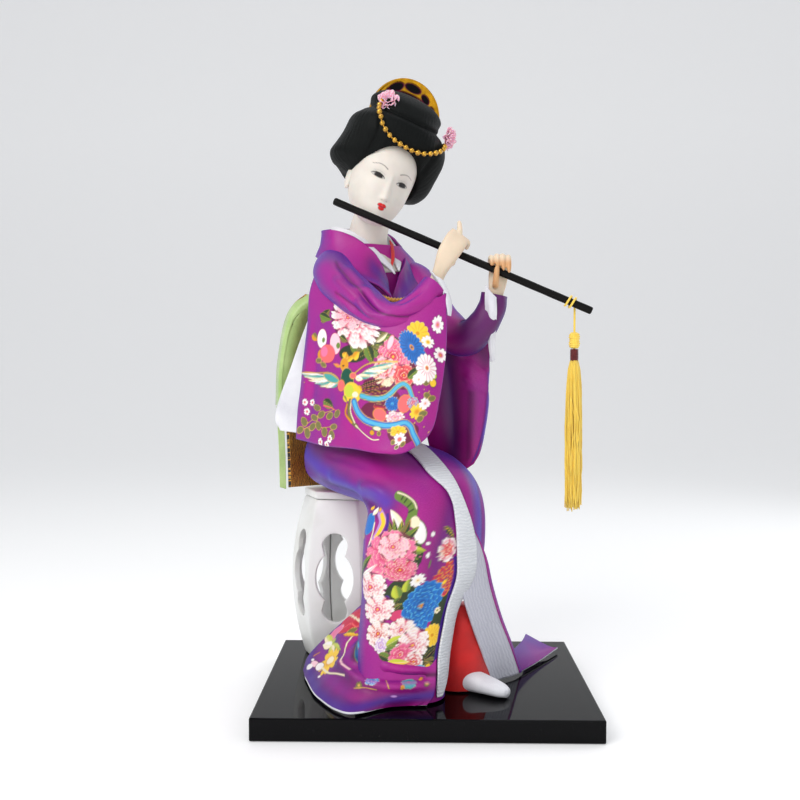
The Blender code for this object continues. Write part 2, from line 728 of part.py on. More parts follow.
def make_right_sleeve(silk, lining):
    """The near sleeve: a draped arm and the long printed pouch that hangs from it."""
    arm_path = place([
        (-2.0, -30.5, 201.0), (-3.5, -41.0, 193.0), (4.0, -58.0, 182.0), (17.5, -70.5, 176.0),
        (29.0, -72.0, 178.5), (38.5, -67.5, 185.5), (45.0, -64.0, 191.0),
    ])
    radii = curve_through(np.array([[11.0], [12.2], [12.0], [11.0], [9.6], [7.8], [6.2]]), 13)[:, 0]
    arm = loft("right_sleeve", tube_rings(curve_through(arm_path, 13), radii, 12), silk)
    pouch = place([
        [(-13.0, -38.0, 188), (0.0, -52.0, 182), (14.0, -64.0, 178), (28.0, -71.0, 178), (42.0, -72.0, 180), (51.5, -68.0, 184)],
        [(-15.0, -38.5, 170), (-1.0, -53.5, 170), (13.0, -66.0, 169), (27.0, -74.5, 168), (40.0, -76.0, 166), (51.6, -72.5, 163)],
        [(-17.5, -39.0, 148), (-2.5, -55.0, 147), (12.0, -69.0, 146), (26.0, -78.0, 145), (38.5, -80.5, 144), (49.5, -77.0, 143)],
        [(-19.6, -39.5, 128), (-4.5, -56.5, 125.5), (10.0, -71.0, 124), (24.0, -80.5, 122), (36.0, -83.0, 122), (46.0, -79.5, 127)],
        [(-20.2, -39.5, 117), (-5.2, -57.0, 115.2), (9.2, -71.5, 115), (22.0, -81.5, 114), (33.0, -84.0, 114.6), (42.0, -80.5, 121)],
    ])
    grid = surface_through(pouch, 9, 11)
    panel = sheet("right_pouch", grid, 3.0, silk)
    boolean(arm, as_cutter(panel), "UNION")
    back = place([
        [(-14.0, -33.5, 178), (-8.0, -35.0, 178), (0.0, -44.0, 178)],
        [(-24.0, -30.0, 152), (-14.0, -33.5, 152), (-3.0, -46.5, 152)],
        [(-32.0, -28.5, 129), (-20.0, -33.5, 126), (-6.0, -48.0, 122)],
        [(-29.5, -29.0, 120.5), (-19.5, -34.0, 119.5), (-7.0, -49.0, 118)],
    ])
    inner = sheet("right_sleeve_lining", surface_through(back, 7, 6), 1.0, lining)
    return arm, panel, inner


def make_left_sleeve(silk):
    """The far sleeve: a raised forearm and a plain pouch behind the lap."""
    arm_path = place([
        (37.5, -19.5, 196.0), (45.0, -28.0, 186.0), (53.0, -40.5, 178.0), (62.0, -47.5, 176.0), (70.0, -49.5, 181.5), (74.5, -50.0, 187.5),
    ])
    radii = curve_through(np.array([[10.0], [11.0], [11.0], [10.0], [8.0], [6.6]]), 11)[:, 0]
    arm = loft("left_sleeve", tube_rings(curve_through(arm_path, 11), radii, 12), silk)
    pouch = place([
        [(38.0, -30.0, 180), (50.0, -37.0, 180), (62.0, -42.0, 178), (73.5, -44.0, 176)],
        [(39.0, -30.0, 160), (50.0, -36.0, 158), (62.0, -40.5, 156), (73.0, -43.0, 153)],
        [(41.0, -28.5, 135), (51.0, -34.0, 133), (62.0, -38.0, 132), (72.5, -40.0, 132)],
        [(45.0, -27.0, 114), (52.5, -31.5, 110), (61.0, -35.0, 108), (69.5, -37.0, 112)],
        [(48.0, -26.5, 106), (53.5, -30.5, 102), (60.0, -33.5, 101), (66.5, -35.5, 105)],
    ])
    panel = sheet("left_pouch", surface_through(pouch, 9, 8), 2.6, silk)
    boolean(arm, as_cutter(panel), "UNION")
    return arm, panel


def make_cuffs(lining):
    """Soft white cuffs that show round both wrists and trail down the sleeve's edge."""
    right = place([
        [(44.0, -64.5, 196.5), (46.5, -67.5, 194.0), (50.5, -66.5, 191.5)],
        [(48.5, -66.0, 188.0), (50.5, -68.5, 186.0), (53.5, -66.5, 184.5)],
        [(51.0, -69.8, 174.0), (52.5, -71.4, 173.6), (54.6, -70.8, 173.0)],
        [(52.4, -71.0, 164.0), (53.2, -71.8, 163.6), (54.4, -71.6, 163.4)],
    ])
    cuff = sheet("right_cuff", surface_through(right, 9, 5), 0.9, lining)
    left = place([
        [(66.5, -57.5, 194.5), (70.5, -60.0, 188.0), (75.0, -60.0, 182.0)],
        [(67.5, -57.0, 188.0), (71.5, -59.0, 180.0), (76.5, -58.0, 176.0)],
        [(70.5, -52.0, 168.0), (73.0, -52.5, 167.0), (76.5, -51.0, 169.0)],
        [(73.0, -47.8, 152.0), (74.2, -48.2, 152.0), (76.0, -47.6, 153.0)],
    ])
    cuff_left = sheet("left_cuff", surface_through(left, 10, 5), 0.9, lining)
    return cuff, cuff_left


def finger(path, radii, sides=8):
    """A finger: a tapering round form, its rings closing to a rounded tip."""
    path = curve_through(place(path), 9)
    radii = curve_through(np.asarray(radii, float).reshape(-1, 1), 9)[:, 0]
    radii[-1] *= 0.45
    return tube_rings(path, radii, sides)


def make_hand(name, forms, finish):
    """A hand: palm and fingers joined into one closed skin."""
    vertices, faces = [], []
    for rings in forms:
        rows, columns = rings.shape[:2]
        start = len(vertices)
        vertices += rings.reshape(-1, 3).tolist() + rings[[0, -1]].mean(1).tolist()
        faces += [tuple(start + v for v in face) for face in strips(rows, columns, False, True)]
        first, last = start + rows * columns, start + rows * columns + 1
        for j in range(columns):
            m = (j + 1) % columns
            faces.append((first, start + m, start + j))
            faces.append((last, start + (rows - 1) * columns + j, start + (rows - 1) * columns + m))
    hand = add_object(name, vertices, faces, finish, 60)
    skin = hand.modifiers.new("skin", "REMESH")
    skin.mode = "VOXEL"
    skin.voxel_size = 0.8 * MM
    thin = hand.modifiers.new("thin", "DECIMATE")
    thin.ratio = 0.2
    return hand


def palm(points, axes, count=12):
    """Rings of a palm from wrist to knuckles: a centre and two half-axes at each."""
    rings = [ellipse_ring(p, a, b, count, 2.4) for p, (a, b) in zip(points, axes)]
    return place(curve_through(np.array(rings), 8))


def wrist_room(name, path):
    """A cutter: the room inside a sleeve's end for the wrist."""
    return as_cutter(loft(name, tube_rings(curve_through(place(path), 5), WRIST_ROOM, 10), None))


def make_right_hand(finish):
    """The near hand, in front of the flute, with its forefinger raised."""
    forms = [
        palm(
            [(45.0, -62.0, 188.0), (48.5, -61.5, 196.0), (52.0, -62.6, 203.5), (56.0, -63.2, 210.0), (58.2, -62.0, 213.5)],
            [((2.6, 0, -1.6), (0.4, 2.4, 0)), ((2.8, 0, -1.6), (0.4, 2.4, 0)), ((4.2, 0, -2.4), (0.5, 2.6, 0)),
             ((4.4, 0, -2.9), (0.5, 2.4, 0)), ((3.6, 0, -2.6), (0.5, 1.8, 0))],
        ),
        finger([(57.5, -63.0, 211.5), (57.8, -62.4, 215.5), (57.5, -61.0, 219.5)], (1.35, 1.2, 0.8)),
        finger([(59.5, -62.6, 210.0), (61.5, -60.5, 209.5), (61.0, -56.6, 207.0)], (1.4, 1.3, 1.0)),
        finger([(57.0, -62.4, 213.0), (57.8, -59.4, 214.0), (56.6, -55.8, 211.5)], (1.4, 1.3, 1.0)),
        finger([(52.0, -61.5, 200.0), (54.5, -57.5, 200.5), (55.5, -54.6, 203.5)], (1.5, 1.4, 1.0)),
    ]
    return make_hand("right_hand", forms, finish)


def make_left_hand(finish):
    """The far hand, behind the flute, with its thumb in front."""
    forms = [
        palm(
            [(72.5, -50.5, 176.0), (75.0, -52.0, 183.5), (76.0, -52.6, 190.5), (76.6, -52.4, 197.0), (77.0, -52.4, 202.0)],
            [((2.8, 0, 0.3), (0, 2.4, 0)), ((3.0, 0, 0.3), (0, 2.4, 0)), ((4.2, 0, 0.6), (0, 2.4, 0)),
             ((4.8, 0, 1.2), (0, 2.2, 0)), ((4.4, 0, 1.4), (0, 1.8, 0))],
        ),
        finger([(75.0, -53.5, 190.0), (74.6, -59.0, 191.5), (74.8, -61.6, 196.0), (75.2, -61.0, 199.0)], (1.7, 1.5, 1.3, 0.9)),
    ]
    for k in range(4):
        x = 72.6 + 2.6 * k
        z = 202.4 - 0.6 * abs(k - 1.5)
        share = (x - FLUTE_LEFT[0]) / (FLUTE_RIGHT[0] - FLUTE_LEFT[0])
        _, flute_y, flute_z = np.array(FLUTE_LEFT) + share * np.subtract(FLUTE_RIGHT, FLUTE_LEFT)
        forms.append(finger(
            [(x, -52.6, z - 2.5), (x, -54.4, z + 1.4), (x + 0.2, -58.4, z + 0.9), (x + 0.3, flute_y - 2.3, flute_z + 0.8)],
            (1.45, 1.35, 1.25, 1.0),
        ))
    return make_hand("left_hand", forms, finish)


LAP_SECTIONS = (
    # centre, half-width along the lap's width, half-depth vector
    ((-3.0, 5.0, 103.5), 16.0, (0, 0, 9.0)),
    ((2.0, -4.0, 105.5), 25.0, (0, 0, 15.0)),
    ((9.0, -15.0, 105.0), 28.5, (0, 0, 15.5)),
    ((20.0, -33.0, 102.5), 29.0, (0, 0, 14.5)),
    ((34.0, -54.0, 100.0), 28.5, (1.5, -2.0, 13.5)),
    ((41.5, -65.0, 92.5), 28.5, (6.5, -9.0, 9.5)),
    ((42.5, -67.5, 80.0), 28.5, (8.0, -12.0, 3.0)),
    ((41.0, -66.5, 62.0), 28.0, (6.0, -12.5, 0)),
    ((35.0, -66.5, 44.0), 22.0, (4.5, -13.0, 0)),
    ((32.0, -66.5, 26.0), 20.5, (3.5, -13.5, 0)),
    ((31.0, -67.0, 12.0), 20.5, (3.0, -14.0, 0)),
    ((30.0, -67.5, 1.2), 21.5, (2.5, -15.0, 0)),
)


LAP_FOLDS = (
    # share along, share round, length along, width round, depth
    (0.30, 0.62, 0.07, 0.05, 1.6),
    (0.42, 0.66, 0.06, 0.05, 1.8),
    (0.52, 0.70, 0.05, 0.05, 1.6),
    (0.56, 0.40, 0.05, 0.06, 1.4),
    (0.72, 0.47, 0.12, 0.04, 1.5),
    (0.80, 0.56, 0.12, 0.05, 1.6),
)


def lap_rings(rows, columns):
    """Rings of the skirt: round the hips, along the thighs, over the knees and down."""
    widths = []
    for number, (centre, half, depth) in enumerate(LAP_SECTIONS):
        turn = math.radians(LAP_TURN if number < 6 else LAP_TURN - 5.5 * min(number - 5, 4))
        across = np.array([math.cos(turn), math.sin(turn), 0.0])
        widths.append(ellipse_ring(centre, across * half, depth, columns, 2.7))
    rings = curve_through(np.array(widths), rows)
    middle = rings.mean(1, keepdims=True)
    outward = (rings - middle) / np.linalg.norm(rings - middle, axis=2, keepdims=True)
    along, around = np.meshgrid(np.linspace(0, 1, rows), np.arange(columns) / columns, indexing="ij")
    groove = np.zeros((rows, columns))
    for at, side, length, width, depth in LAP_FOLDS:
        apart = (around - side + 0.5) % 1 - 0.5
        groove += depth * np.exp(-(((along - at) / length) ** 2) - (apart / width) ** 2)
    return place(rings - outward * groove[..., None])


def make_skirt(silk, stool, seat):
    """The kimono's skirt over the lap and shins, with its hem pooled on the board."""
    skirt = loft("kimono_skirt", lap_rings(20, 22), silk)
    train = place([
        [(12.0, -50.0, 38.0), (-7.0, -36.0, 17.5), (-15.0, -33.0, 8.0), (-17.5, -33.0, 1.2)],
        [(13.5, -58.0, 37.0), (-3.0, -48.0, 15.0), (-10.0, -48.0, 6.0), (-14.0, -50.0, 1.2)],
        [(17.0, -68.0, 35.0), (5.0, -66.0, 14.0), (-2.0, -70.0, 6.0), (-6.0, -74.0, 1.2)],
        [(24.0, -77.0, 30.0), (16.0, -80.0, 12.0), (11.0, -86.0, 5.0), (8.5, -93.0, 1.2)],
        [(33.0, -78.0, 26.0), (29.0, -82.5, 12.0), (28.0, -84.0, 5.0), (27.5, -83.0, 1.2)],
        [(44.0, -77.0, 24.0), (43.5, -81.5, 12.0), (42.5, -82.0, 5.0), (36.0, -82.5, 1.2)],
    ])
    spread = sheet("train_form", surface_through(train, 12, 7), CLOTH * 1.4, silk)
    boolean(skirt, as_cutter(spread), "UNION")
    cut_clear(skirt, list(stool) + [seat])
    return skirt


def make_lining(lining, silk, skirt):
    """The skirt's turned-out white edge, the ribbed flap under it and the trailing corner."""
    edge = place([
        [(33.5, -79.0, 112.0), (38.0, -77.5, 113.0)],
        [(44.0, -82.0, 103.5), (49.0, -79.5, 104.5)],
        [(51.5, -84.5, 93.0), (55.5, -80.5, 92.5)],
        [(54.5, -84.0, 78.0), (58.5, -80.0, 77.0)],
        [(55.5, -83.5, 62.0), (60.0, -79.0, 62.0)],
        [(51.0, -83.0, 42.0), (59.5, -76.5, 45.0)],
        [(48.0, -83.0, 22.0), (54.0, -78.0, 28.0)],
        [(46.5, -83.0, 4.0), (48.0, -80.0, 6.0)],
    ])
    thickness = 1.0
    laid = laid_on(surface_through(edge, 17, 3), skirt, thickness / 2 + GAP)
    band = sheet("lining_edge", laid, thickness, lining)
    flap = place([
        [(63.4, -71.0, 71.0), (70.6, -57.0, 72.0)],
        [(62.4, -70.0, 56.0), (71.8, -53.5, 58.0)],
        [(65.0, -62.0, 38.0), (77.0, -47.0, 38.0)],
        [(71.0, -52.0, 16.0), (85.0, -39.0, 16.0)],
        [(75.0, -45.0, 1.4), (90.0, -34.0, 1.4)],
    ])
    ribbed = sheet("lining_flap", surface_through(flap, 9, 4), 1.0, lining)
    tail = place([
        [(85.4, -37.6, 14.0), (87.4, -35.6, 8.0), (90.0, -33.6, 1.6)],
        [(93.0, -12.0, 14.5), (99.0, -15.0, 6.5), (101.0, -17.0, 1.6)],
        [(97.0, 8.0, 11.0), (108.0, 0.0, 4.5), (113.5, 4.0, 2.2)],
    ])
    trail = sheet("skirt_corner", surface_through(tail, 7, 4), 1.4, silk)
    return band, ribbed, trail


def make_underskirt(red, white):
    """Red underskirt round the shins, and the white split-toed sock that it uncovers."""
    rings = []
    for z, x, y, w, d in (
        (0.8, 62.0, -47.0, 16.5, 13.5), (8.0, 61.8, -48.0, 15.5, 13.0), (22.0, 61.0, -51.0, 12.5, 10.5),
        (36.0, 60.0, -54.5, 8.0, 8.0), (46.0, 59.2, -57.0, 3.6, 4.4),
    ):
        rings.append(ellipse_ring((x, y, z), (w, w * 0.5, 0), (d * 0.4, -d, 0), 18))
    underskirt = loft("red_underskirt", place(curve_through(np.array(rings), 10)), red)
    path = [(64.0, -50.0, 5.0), (70.0, -54.5, 4.6), (76.5, -59.0, 3.6), (81.0, -62.0, 2.9), (83.0, -63.4, 2.4)]
    sizes = ((4.4, 4.2), (4.9, 4.0), (4.9, 3.0), (4.4, 2.3), (2.6, 1.6))
    rings = [ellipse_ring(p, (w * 0.55, w * 0.83, 0), (0, 0, h), 14, 2.3) for p, (w, h) in zip(path, sizes)]
    foot = loft("tabi_foot", place(curve_through(np.array(rings), 9)), white)
    cut_clear(underskirt, [foot])
    return underskirt, foot


def make_bow(green, brocade):
    """The sash's bow behind the back, and the two tails that hang below it."""
    low = SASH_BOTTOM - 2.0
    bow = place([
        [(-17.0, -12.0, low + 55), (-7.0, -5.0, low + 57), (3.0, 1.0, low + 57), (19.0, 10.0, low + 53)],
        [(-27.0, -12.0, low + 45), (-12.0, -1.5, low + 47), (2.0, 5.5, low + 47), (25.0, 18.0, low + 44)],
        [(-32.0, -13.0, low + 22), (-15.0, -2.0, low + 23), (1.0, 6.5, low + 23), (27.0, 20.0, low + 22)],
        [(-33.0, -12.0, low), (-16.0, -2.5, low), (0.0, 6.0, low), (25.0, 19.0, low)],
    ])
    loops = sheet("obi_bow", surface_through(bow, 7, 9), BOW_THICKNESS, green)
    top = low - GAP
    tail = place([
        [(-29.0, -11.5, top), (-15.5, -1.0, top), (0.0, 7.5, top)],
        [(-27.5, -14.0, 110.0), (-16.0, 0.5, 110.0), (-1.0, 11.0, 110.0)],
        [(-26.5, -17.0, 90.5), (-15.5, 0.0, 89.5), (-2.0, 10.5, 89.5)],
    ])
    hanging = sheet("obi_tail", surface_through(tail, 5, 7), 1.8, brocade)
    strip = place([
        [(-33.8, -13.2, top), (-30.6, -12.2, top)],
        [(-32.4, -14.6, 110.0), (-29.2, -14.0, 110.0)],
        [(-31.6, -16.6, 90.5), (-28.4, -16.4, 89.5)],
    ])
    edge = sheet("obi_tail_lining", surface_through(strip, 5, 3), 1.2, green)
    return loops, hanging, edge


def main():
    clear_scene()
    lacquer = material("black_lacquer", (0.012, 0.012, 0.013), 0.12)
    paint = material("white_paint", (0.76, 0.76, 0.74), 0.42)
    skin = material("pale_skin", (0.74, 0.68, 0.62), 0.5)
    wig = material("black_hair", (0.012, 0.013, 0.014), 0.62)
    gilt = material("gilt", (0.78, 0.52, 0.12), 0.28, 1.0)
    petal = material("pink_petal", (0.83, 0.42, 0.55), 0.6)
    bamboo = material("black_flute", (0.010, 0.009, 0.008), 0.35)
    gold_silk = material("yellow_silk", (0.86, 0.62, 0.08), 0.55)
    maroon = material("maroon_thread", (0.22, 0.03, 0.02), 0.5)
    silk = material("purple_silk", (0.42, 0.02, 0.30), 0.4)
    white = material("white_silk", (0.74, 0.74, 0.76), 0.5)
    red = material("red_silk", (0.72, 0.02, 0.02), 0.5)
    brocade = material("gold_brocade", (0.52, 0.26, 0.03), 0.45)
    green = material("green_satin", (0.38, 0.56, 0.26), 0.42)
    padding = material("padding", (0.70, 0.66, 0.58), 0.9)

    make_board(lacquer)
    staves = [make_stave(k, paint) for k in range(STAVES)]
    seat = make_seat(paint)

    head_forms = make_head(skin)
    head, neck = head_forms[:2]
    hair = make_hair(wig, head_forms)
    comb = make_comb(gilt)
    cut_clear(hair, [comb])
    chain = make_chain(gilt)
    left = make_flower("hair_flower_left", (-13.8, -12.0, 32.0), (-0.6, -1.0, 0.3), petal, hair)
    right = make_flower("hair_flower_right", (22.5, -9.5, 29.0), (1.0, -0.4, 0.1), petal, hair)
    for flower in (left, right):
        cut_clear(flower, [chain, comb])

    flute = make_flute(bamboo)
    make_cord(gold_silk)
    make_tassel(gold_silk, maroon)
    cut_clear(head, [flute])

    core, bodice, sash, trunk_room = make_trunk(padding, silk, brocade)
    under, slip, collar = make_collars(white, red, silk)
    cut_clear(core, [neck, under, collar])
    right_hand = make_right_hand(skin)
    left_hand = make_left_hand(skin)
    right_arm, right_pouch, right_lining = make_right_sleeve(silk, white)
    left_arm, left_pouch = make_left_sleeve(silk)
    right_cuff, left_cuff = make_cuffs(white)
    skirt = make_skirt(silk, staves, seat)
    band, flap, trail = make_lining(white, silk, skirt)
    underskirt, foot = make_underskirt(red, white)
    loops, hanging, edge = make_bow(green, brocade)

    for hand in (right_hand, left_hand):
        cut_clear(hand, [flute])
    cut_clear(bodice, [neck, under, slip, collar])
    cut_clear(collar, [head, neck])
    cut_clear(under, [neck, collar, head])
    cut_clear(slip, [neck, under, collar, head])
    right_room = wrist_room("right_wrist_room", [(43.2, -62.3, 185.0), (45.0, -62.0, 188.0), (48.5, -61.5, 196.0)])
    left_room = wrist_room("left_wrist_room", [(71.3, -49.9, 173.0), (72.5, -50.5, 176.0), (76.0, -52.6, 191.0)])
    for arm, pouch, cuff, room in (
        (right_arm, right_pouch, right_cuff, right_room),
        (left_arm, left_pouch, left_cuff, left_room),
    ):
        boolean(arm, trunk_room)
        boolean(arm, room)
        boolean(cuff, room)
        cut_clear(cuff, [pouch, arm])
    cut_clear(right_arm, [sash, collar, skirt, left_arm, left_pouch])
    cut_clear(left_arm, [sash, collar, skirt])
    boolean(right_lining, trunk_room)
    cut_clear(right_lining, [right_pouch, right_arm, sash, skirt])
    cut_clear(loops, [sash, bodice, right_lining])
    cut_clear(hanging, [skirt, seat] + staves)
    cut_clear(edge, [skirt, hanging, seat] + staves)
    cut_clear(band, [skirt])
    cut_clear(flap, [skirt, band])
    cut_clear(trail, [skirt, flap])
    cut_clear(underskirt, [band, flap])
    cut_clear(skirt, [underskirt])


main()
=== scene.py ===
# Seated flute player: fine surfaces, silk with its print and painted sheen and shade, light and camera over
# the imported frame.
# Points are in millimetres, measured from the stool's axis at the board's top face. place()
# moves them to the row's origin, and add_piece() turns millimetres into metres.

import math

import bpy
import numpy as np
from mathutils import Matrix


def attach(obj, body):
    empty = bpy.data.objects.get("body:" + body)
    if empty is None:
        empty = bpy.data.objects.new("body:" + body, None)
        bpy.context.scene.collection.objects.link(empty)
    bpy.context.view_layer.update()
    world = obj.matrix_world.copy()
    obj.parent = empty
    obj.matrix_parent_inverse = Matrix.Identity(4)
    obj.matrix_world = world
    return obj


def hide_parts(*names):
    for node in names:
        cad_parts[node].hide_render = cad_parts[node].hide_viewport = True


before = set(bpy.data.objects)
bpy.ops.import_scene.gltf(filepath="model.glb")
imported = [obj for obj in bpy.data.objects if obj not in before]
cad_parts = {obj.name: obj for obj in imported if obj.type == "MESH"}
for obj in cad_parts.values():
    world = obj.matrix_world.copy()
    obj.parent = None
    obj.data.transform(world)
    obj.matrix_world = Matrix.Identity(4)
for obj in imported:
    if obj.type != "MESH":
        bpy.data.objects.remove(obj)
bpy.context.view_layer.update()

MM = 0.001
ORIGIN = np.array([-43.0, 36.0, 10.3])
HEAD_AT = np.array([20.8, -32.0, 245.2])
HEAD_TURN, HEAD_ROLL = math.radians(22.0), math.radians(21.0)
FLUTE_LEFT, FLUTE_RIGHT = np.array([-1.0, -50.0, 230.4]), np.array([118.6, -62.0, 178.1])
FLUTE_RADIUS = 1.75
CORD_RADIUS = 0.5
STAVE_HEIGHT, STAVE_WALL = 84.0, 3.0
STOOL_TURN = -97.6


# Geometry helpers


def place(points):
    """Points measured from the stool's axis, moved to the row's origin."""
    return np.array(points, float) + ORIGIN


def head_place(points):
    """Head coordinates (x across, -y forward, z up): turned about z, rolled about y, moved."""
    c, s = math.cos(HEAD_TURN), math.sin(HEAD_TURN)
    about_z = np.array([[c, -s, 0], [s, c, 0], [0, 0, 1]])
    c, s = math.cos(HEAD_ROLL), math.sin(HEAD_ROLL)
    about_y = np.array([[c, 0, s], [0, 1, 0], [-s, 0, c]])
    return np.asarray(points, float) @ (about_y @ about_z).T + place(HEAD_AT)


def smoothstep(low, high, value):
    """An S-shaped rise from 0 to 1 between two values."""
    t = np.clip((value - low) / (high - low), 0, 1)
    return t * t * (3 - 2 * t)


def curve_through(points, t):
    """Catmull-Rom curve through rows of points, read at parameters from 0 to rows - 1."""
    points = np.asarray(points, float)
    t = np.asarray(t, float)
    index = np.clip(np.floor(t).astype(int), 0, len(points) - 2)
    ends = np.concatenate([2 * points[:1] - points[1:2], points, 2 * points[-1:] - points[-2:-1]])
    a, b, c, d = (ends[index + k] for k in range(4))
    f = (t - index).reshape((-1,) + (1,) * (points.ndim - 1))
    square, cube = 2 * a - 5 * b + 4 * c - d, 3 * b - a - 3 * c + d
    return 0.5 * (2 * b + (c - a) * f + square * f**2 + cube * f**3)


def spread(points, count):
    """A number of points, evenly stepped between the given ones, on a smooth curve."""
    return curve_through(points, np.linspace(0, len(points) - 1, count))


def surface(grid, rows, columns):
    """Smooth surface through a grid of points, read at rows by columns places."""
    return spread(spread(np.asarray(grid, float), rows).swapaxes(0, 1), columns).swapaxes(0, 1)


def normals_of(grid, closed=False):
    """Unit normals: the cross product of the surface's two directions of travel."""
    along = np.gradient(grid, axis=0)
    across = (np.roll(grid, -1, 1) - np.roll(grid, 1, 1)) if closed else np.gradient(grid, axis=1)
    normal = np.cross(across, along)
    return normal / np.maximum(np.linalg.norm(normal, axis=-1, keepdims=True), 1e-9)


def cloth_of(grid, closed=False):
    """Coordinates on the cloth in millimetres: mean arc length across and along the grid."""
    step = np.roll(grid, -1, 1) - grid if closed else np.diff(grid, axis=1)
    across = np.concatenate([[0], np.cumsum(np.linalg.norm(step, axis=2).mean(0))])[: grid.shape[1]]
    along = np.concatenate([[0], np.cumsum(np.linalg.norm(np.diff(grid, axis=0), axis=2).mean(1))])
    return np.meshgrid(across, along)


def quads_of(rows, columns, closed=False):
    """Faces of a grid of points, counted row by row."""
    i, j = np.meshgrid(np.arange(rows - 1), np.arange(columns if closed else columns - 1), indexing="ij")
    m = (j + 1) % columns
    corners = [i * columns + j, i * columns + m, (i + 1) * columns + m, (i + 1) * columns + j]
    return np.stack(corners, -1).reshape(-1, 4)


def ring_points(centre, across, along, angle, power=2.0):
    """Points of a closed ring: two half-axis vectors, squared up when power is over 2."""
    c, s = np.cos(angle), np.sin(angle)
    c, s = np.sign(c) * np.abs(c) ** (2 / power), np.sign(s) * np.abs(s) ** (2 / power)
    return np.asarray(centre, float) + np.outer(c, across) + np.outer(s, along)


def tube(path, radii, sides, start=(0.3, 0.9, 0.31)):
    """Round sections of given radii along a path, carried along it without twist."""
    path = np.asarray(path, float)
    radii = np.broadcast_to(np.asarray(radii, float), len(path))
    ahead = np.gradient(path, axis=0)
    ahead /= np.linalg.norm(ahead, axis=1, keepdims=True)
    side = np.cross(ahead[0], start)
    angle = np.arange(sides) * 2 * math.pi / sides
    rings = []
    for point, way, radius in zip(path, ahead, radii):
        side = side - way * (side @ way)
        side = side / np.linalg.norm(side)
        turned = np.outer(np.cos(angle), side) + np.outer(np.sin(angle), np.cross(way, side))
        rings.append(point + radius * turned)
    return np.array(rings)


def ridge(u, v, folds):
    """Height of cloth folds: a bell across each line segment that fades at its two ends.

    Each fold is (u0, v0, u1, v1, width, height)."""
    height = np.zeros_like(u)
    for u0, v0, u1, v1, width, tall in folds:
        du, dv = u1 - u0, v1 - v0
        t = ((u - u0) * du + (v - v0) * dv) / (du * du + dv * dv)
        away = np.hypot(u - u0 - t.clip(0, 1) * du, v - v0 - t.clip(0, 1) * dv)
        ends = smoothstep(-0.05, 0.25, t) * smoothstep(1.05, 0.7, t)
        height += tall * np.exp(-((away / width) ** 2)) * ends
    return height


def ripple(u, v, size, seed):
    """Soft uneven waves: a sum of eight sine waves of random direction near one wavelength."""
    chance = np.random.default_rng(seed)
    total = np.zeros_like(u)
    for _ in range(8):
        turn, phase, stretch = chance.uniform(0, 2 * math.pi, 3)
        wave = 2 * math.pi / (size * (0.6 + stretch / 6))
        total += np.sin((u * math.cos(turn) + v * math.sin(turn)) * wave + phase)
    return total / 8


PIECES = {}
ATTRIBUTES = {1: ("FLOAT", "value"), 3: ("FLOAT_VECTOR", "vector"), 4: ("FLOAT_COLOR", "color")}


def add_piece(name, vertices, faces, finish, slot, replaced=(), **data):
    """A mesh piece from millimetre vertices, with per-point data kept as attributes."""
    mesh = bpy.data.meshes.new(name)
    mesh.from_pydata((np.asarray(vertices) * MM).tolist(), [],
                     faces if isinstance(faces, list) else faces.tolist())
    mesh.shade_smooth()
    for key, value in data.items():
        value = np.asarray(value, np.float32)
        kind, field = ATTRIBUTES[1 if value.ndim == 1 else value.shape[1]]
        mesh.attributes.new(key, kind, "POINT").data.foreach_set(field, value.ravel())
    made = bpy.data.objects.new(name, mesh)
    made.data.materials.append(finish)
    bpy.context.scene.collection.objects.link(made)
    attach(made, "root")
    if replaced:
        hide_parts(*replaced)
    PIECES[name] = made
    return made


def join_grids(grids):
    """Vertices and faces of several grids, each (points, closed, capped), as one mesh."""
    vertices, faces, start = [], [], 0
    for grid, closed, capped in grids:
        rows, columns = grid.shape[:2]
        vertices.append(grid.reshape(-1, 3))
        faces += (quads_of(rows, columns, closed) + start).tolist()
        if capped:
            faces.append([start + j for j in range(columns)][::-1])
            faces.append([start + (rows - 1) * columns + j for j in range(columns)])
        start += rows * columns
    return np.concatenate(vertices), faces


def cloth_data(u, v, print_and_shade_colour=None, gold=None):
    """Per-point data of a piece: its place on the cloth, its print and painted shade, and its gold."""
    flat = {"Cloth": np.stack([u, v, np.zeros_like(u)], -1).reshape(-1, 3)}
    if print_and_shade_colour is not None:
        flat["Print"] = print_and_shade_colour.reshape(-1, 4)
        flat["Gold"] = gold.reshape(-1)
    return flat


def add_sheet(name, grid, thickness, finish, slot, replaced=(), painted=None, coordinates=None):
    """A sheet of cloth: a fine grid with its thickness from a Solidify modifier."""
    rows, columns = grid.shape[:2]
    u, v = coordinates if coordinates else cloth_of(grid)
    data = cloth_data(u, v, *(painted(u, v) if painted else (None, None)))
    made = add_piece(name, grid.reshape(-1, 3), quads_of(rows, columns), finish, slot, replaced, **data)
    solid = made.modifiers.new("thickness", "SOLIDIFY")
    solid.thickness = thickness * MM
    solid.offset = 0.0
    return made


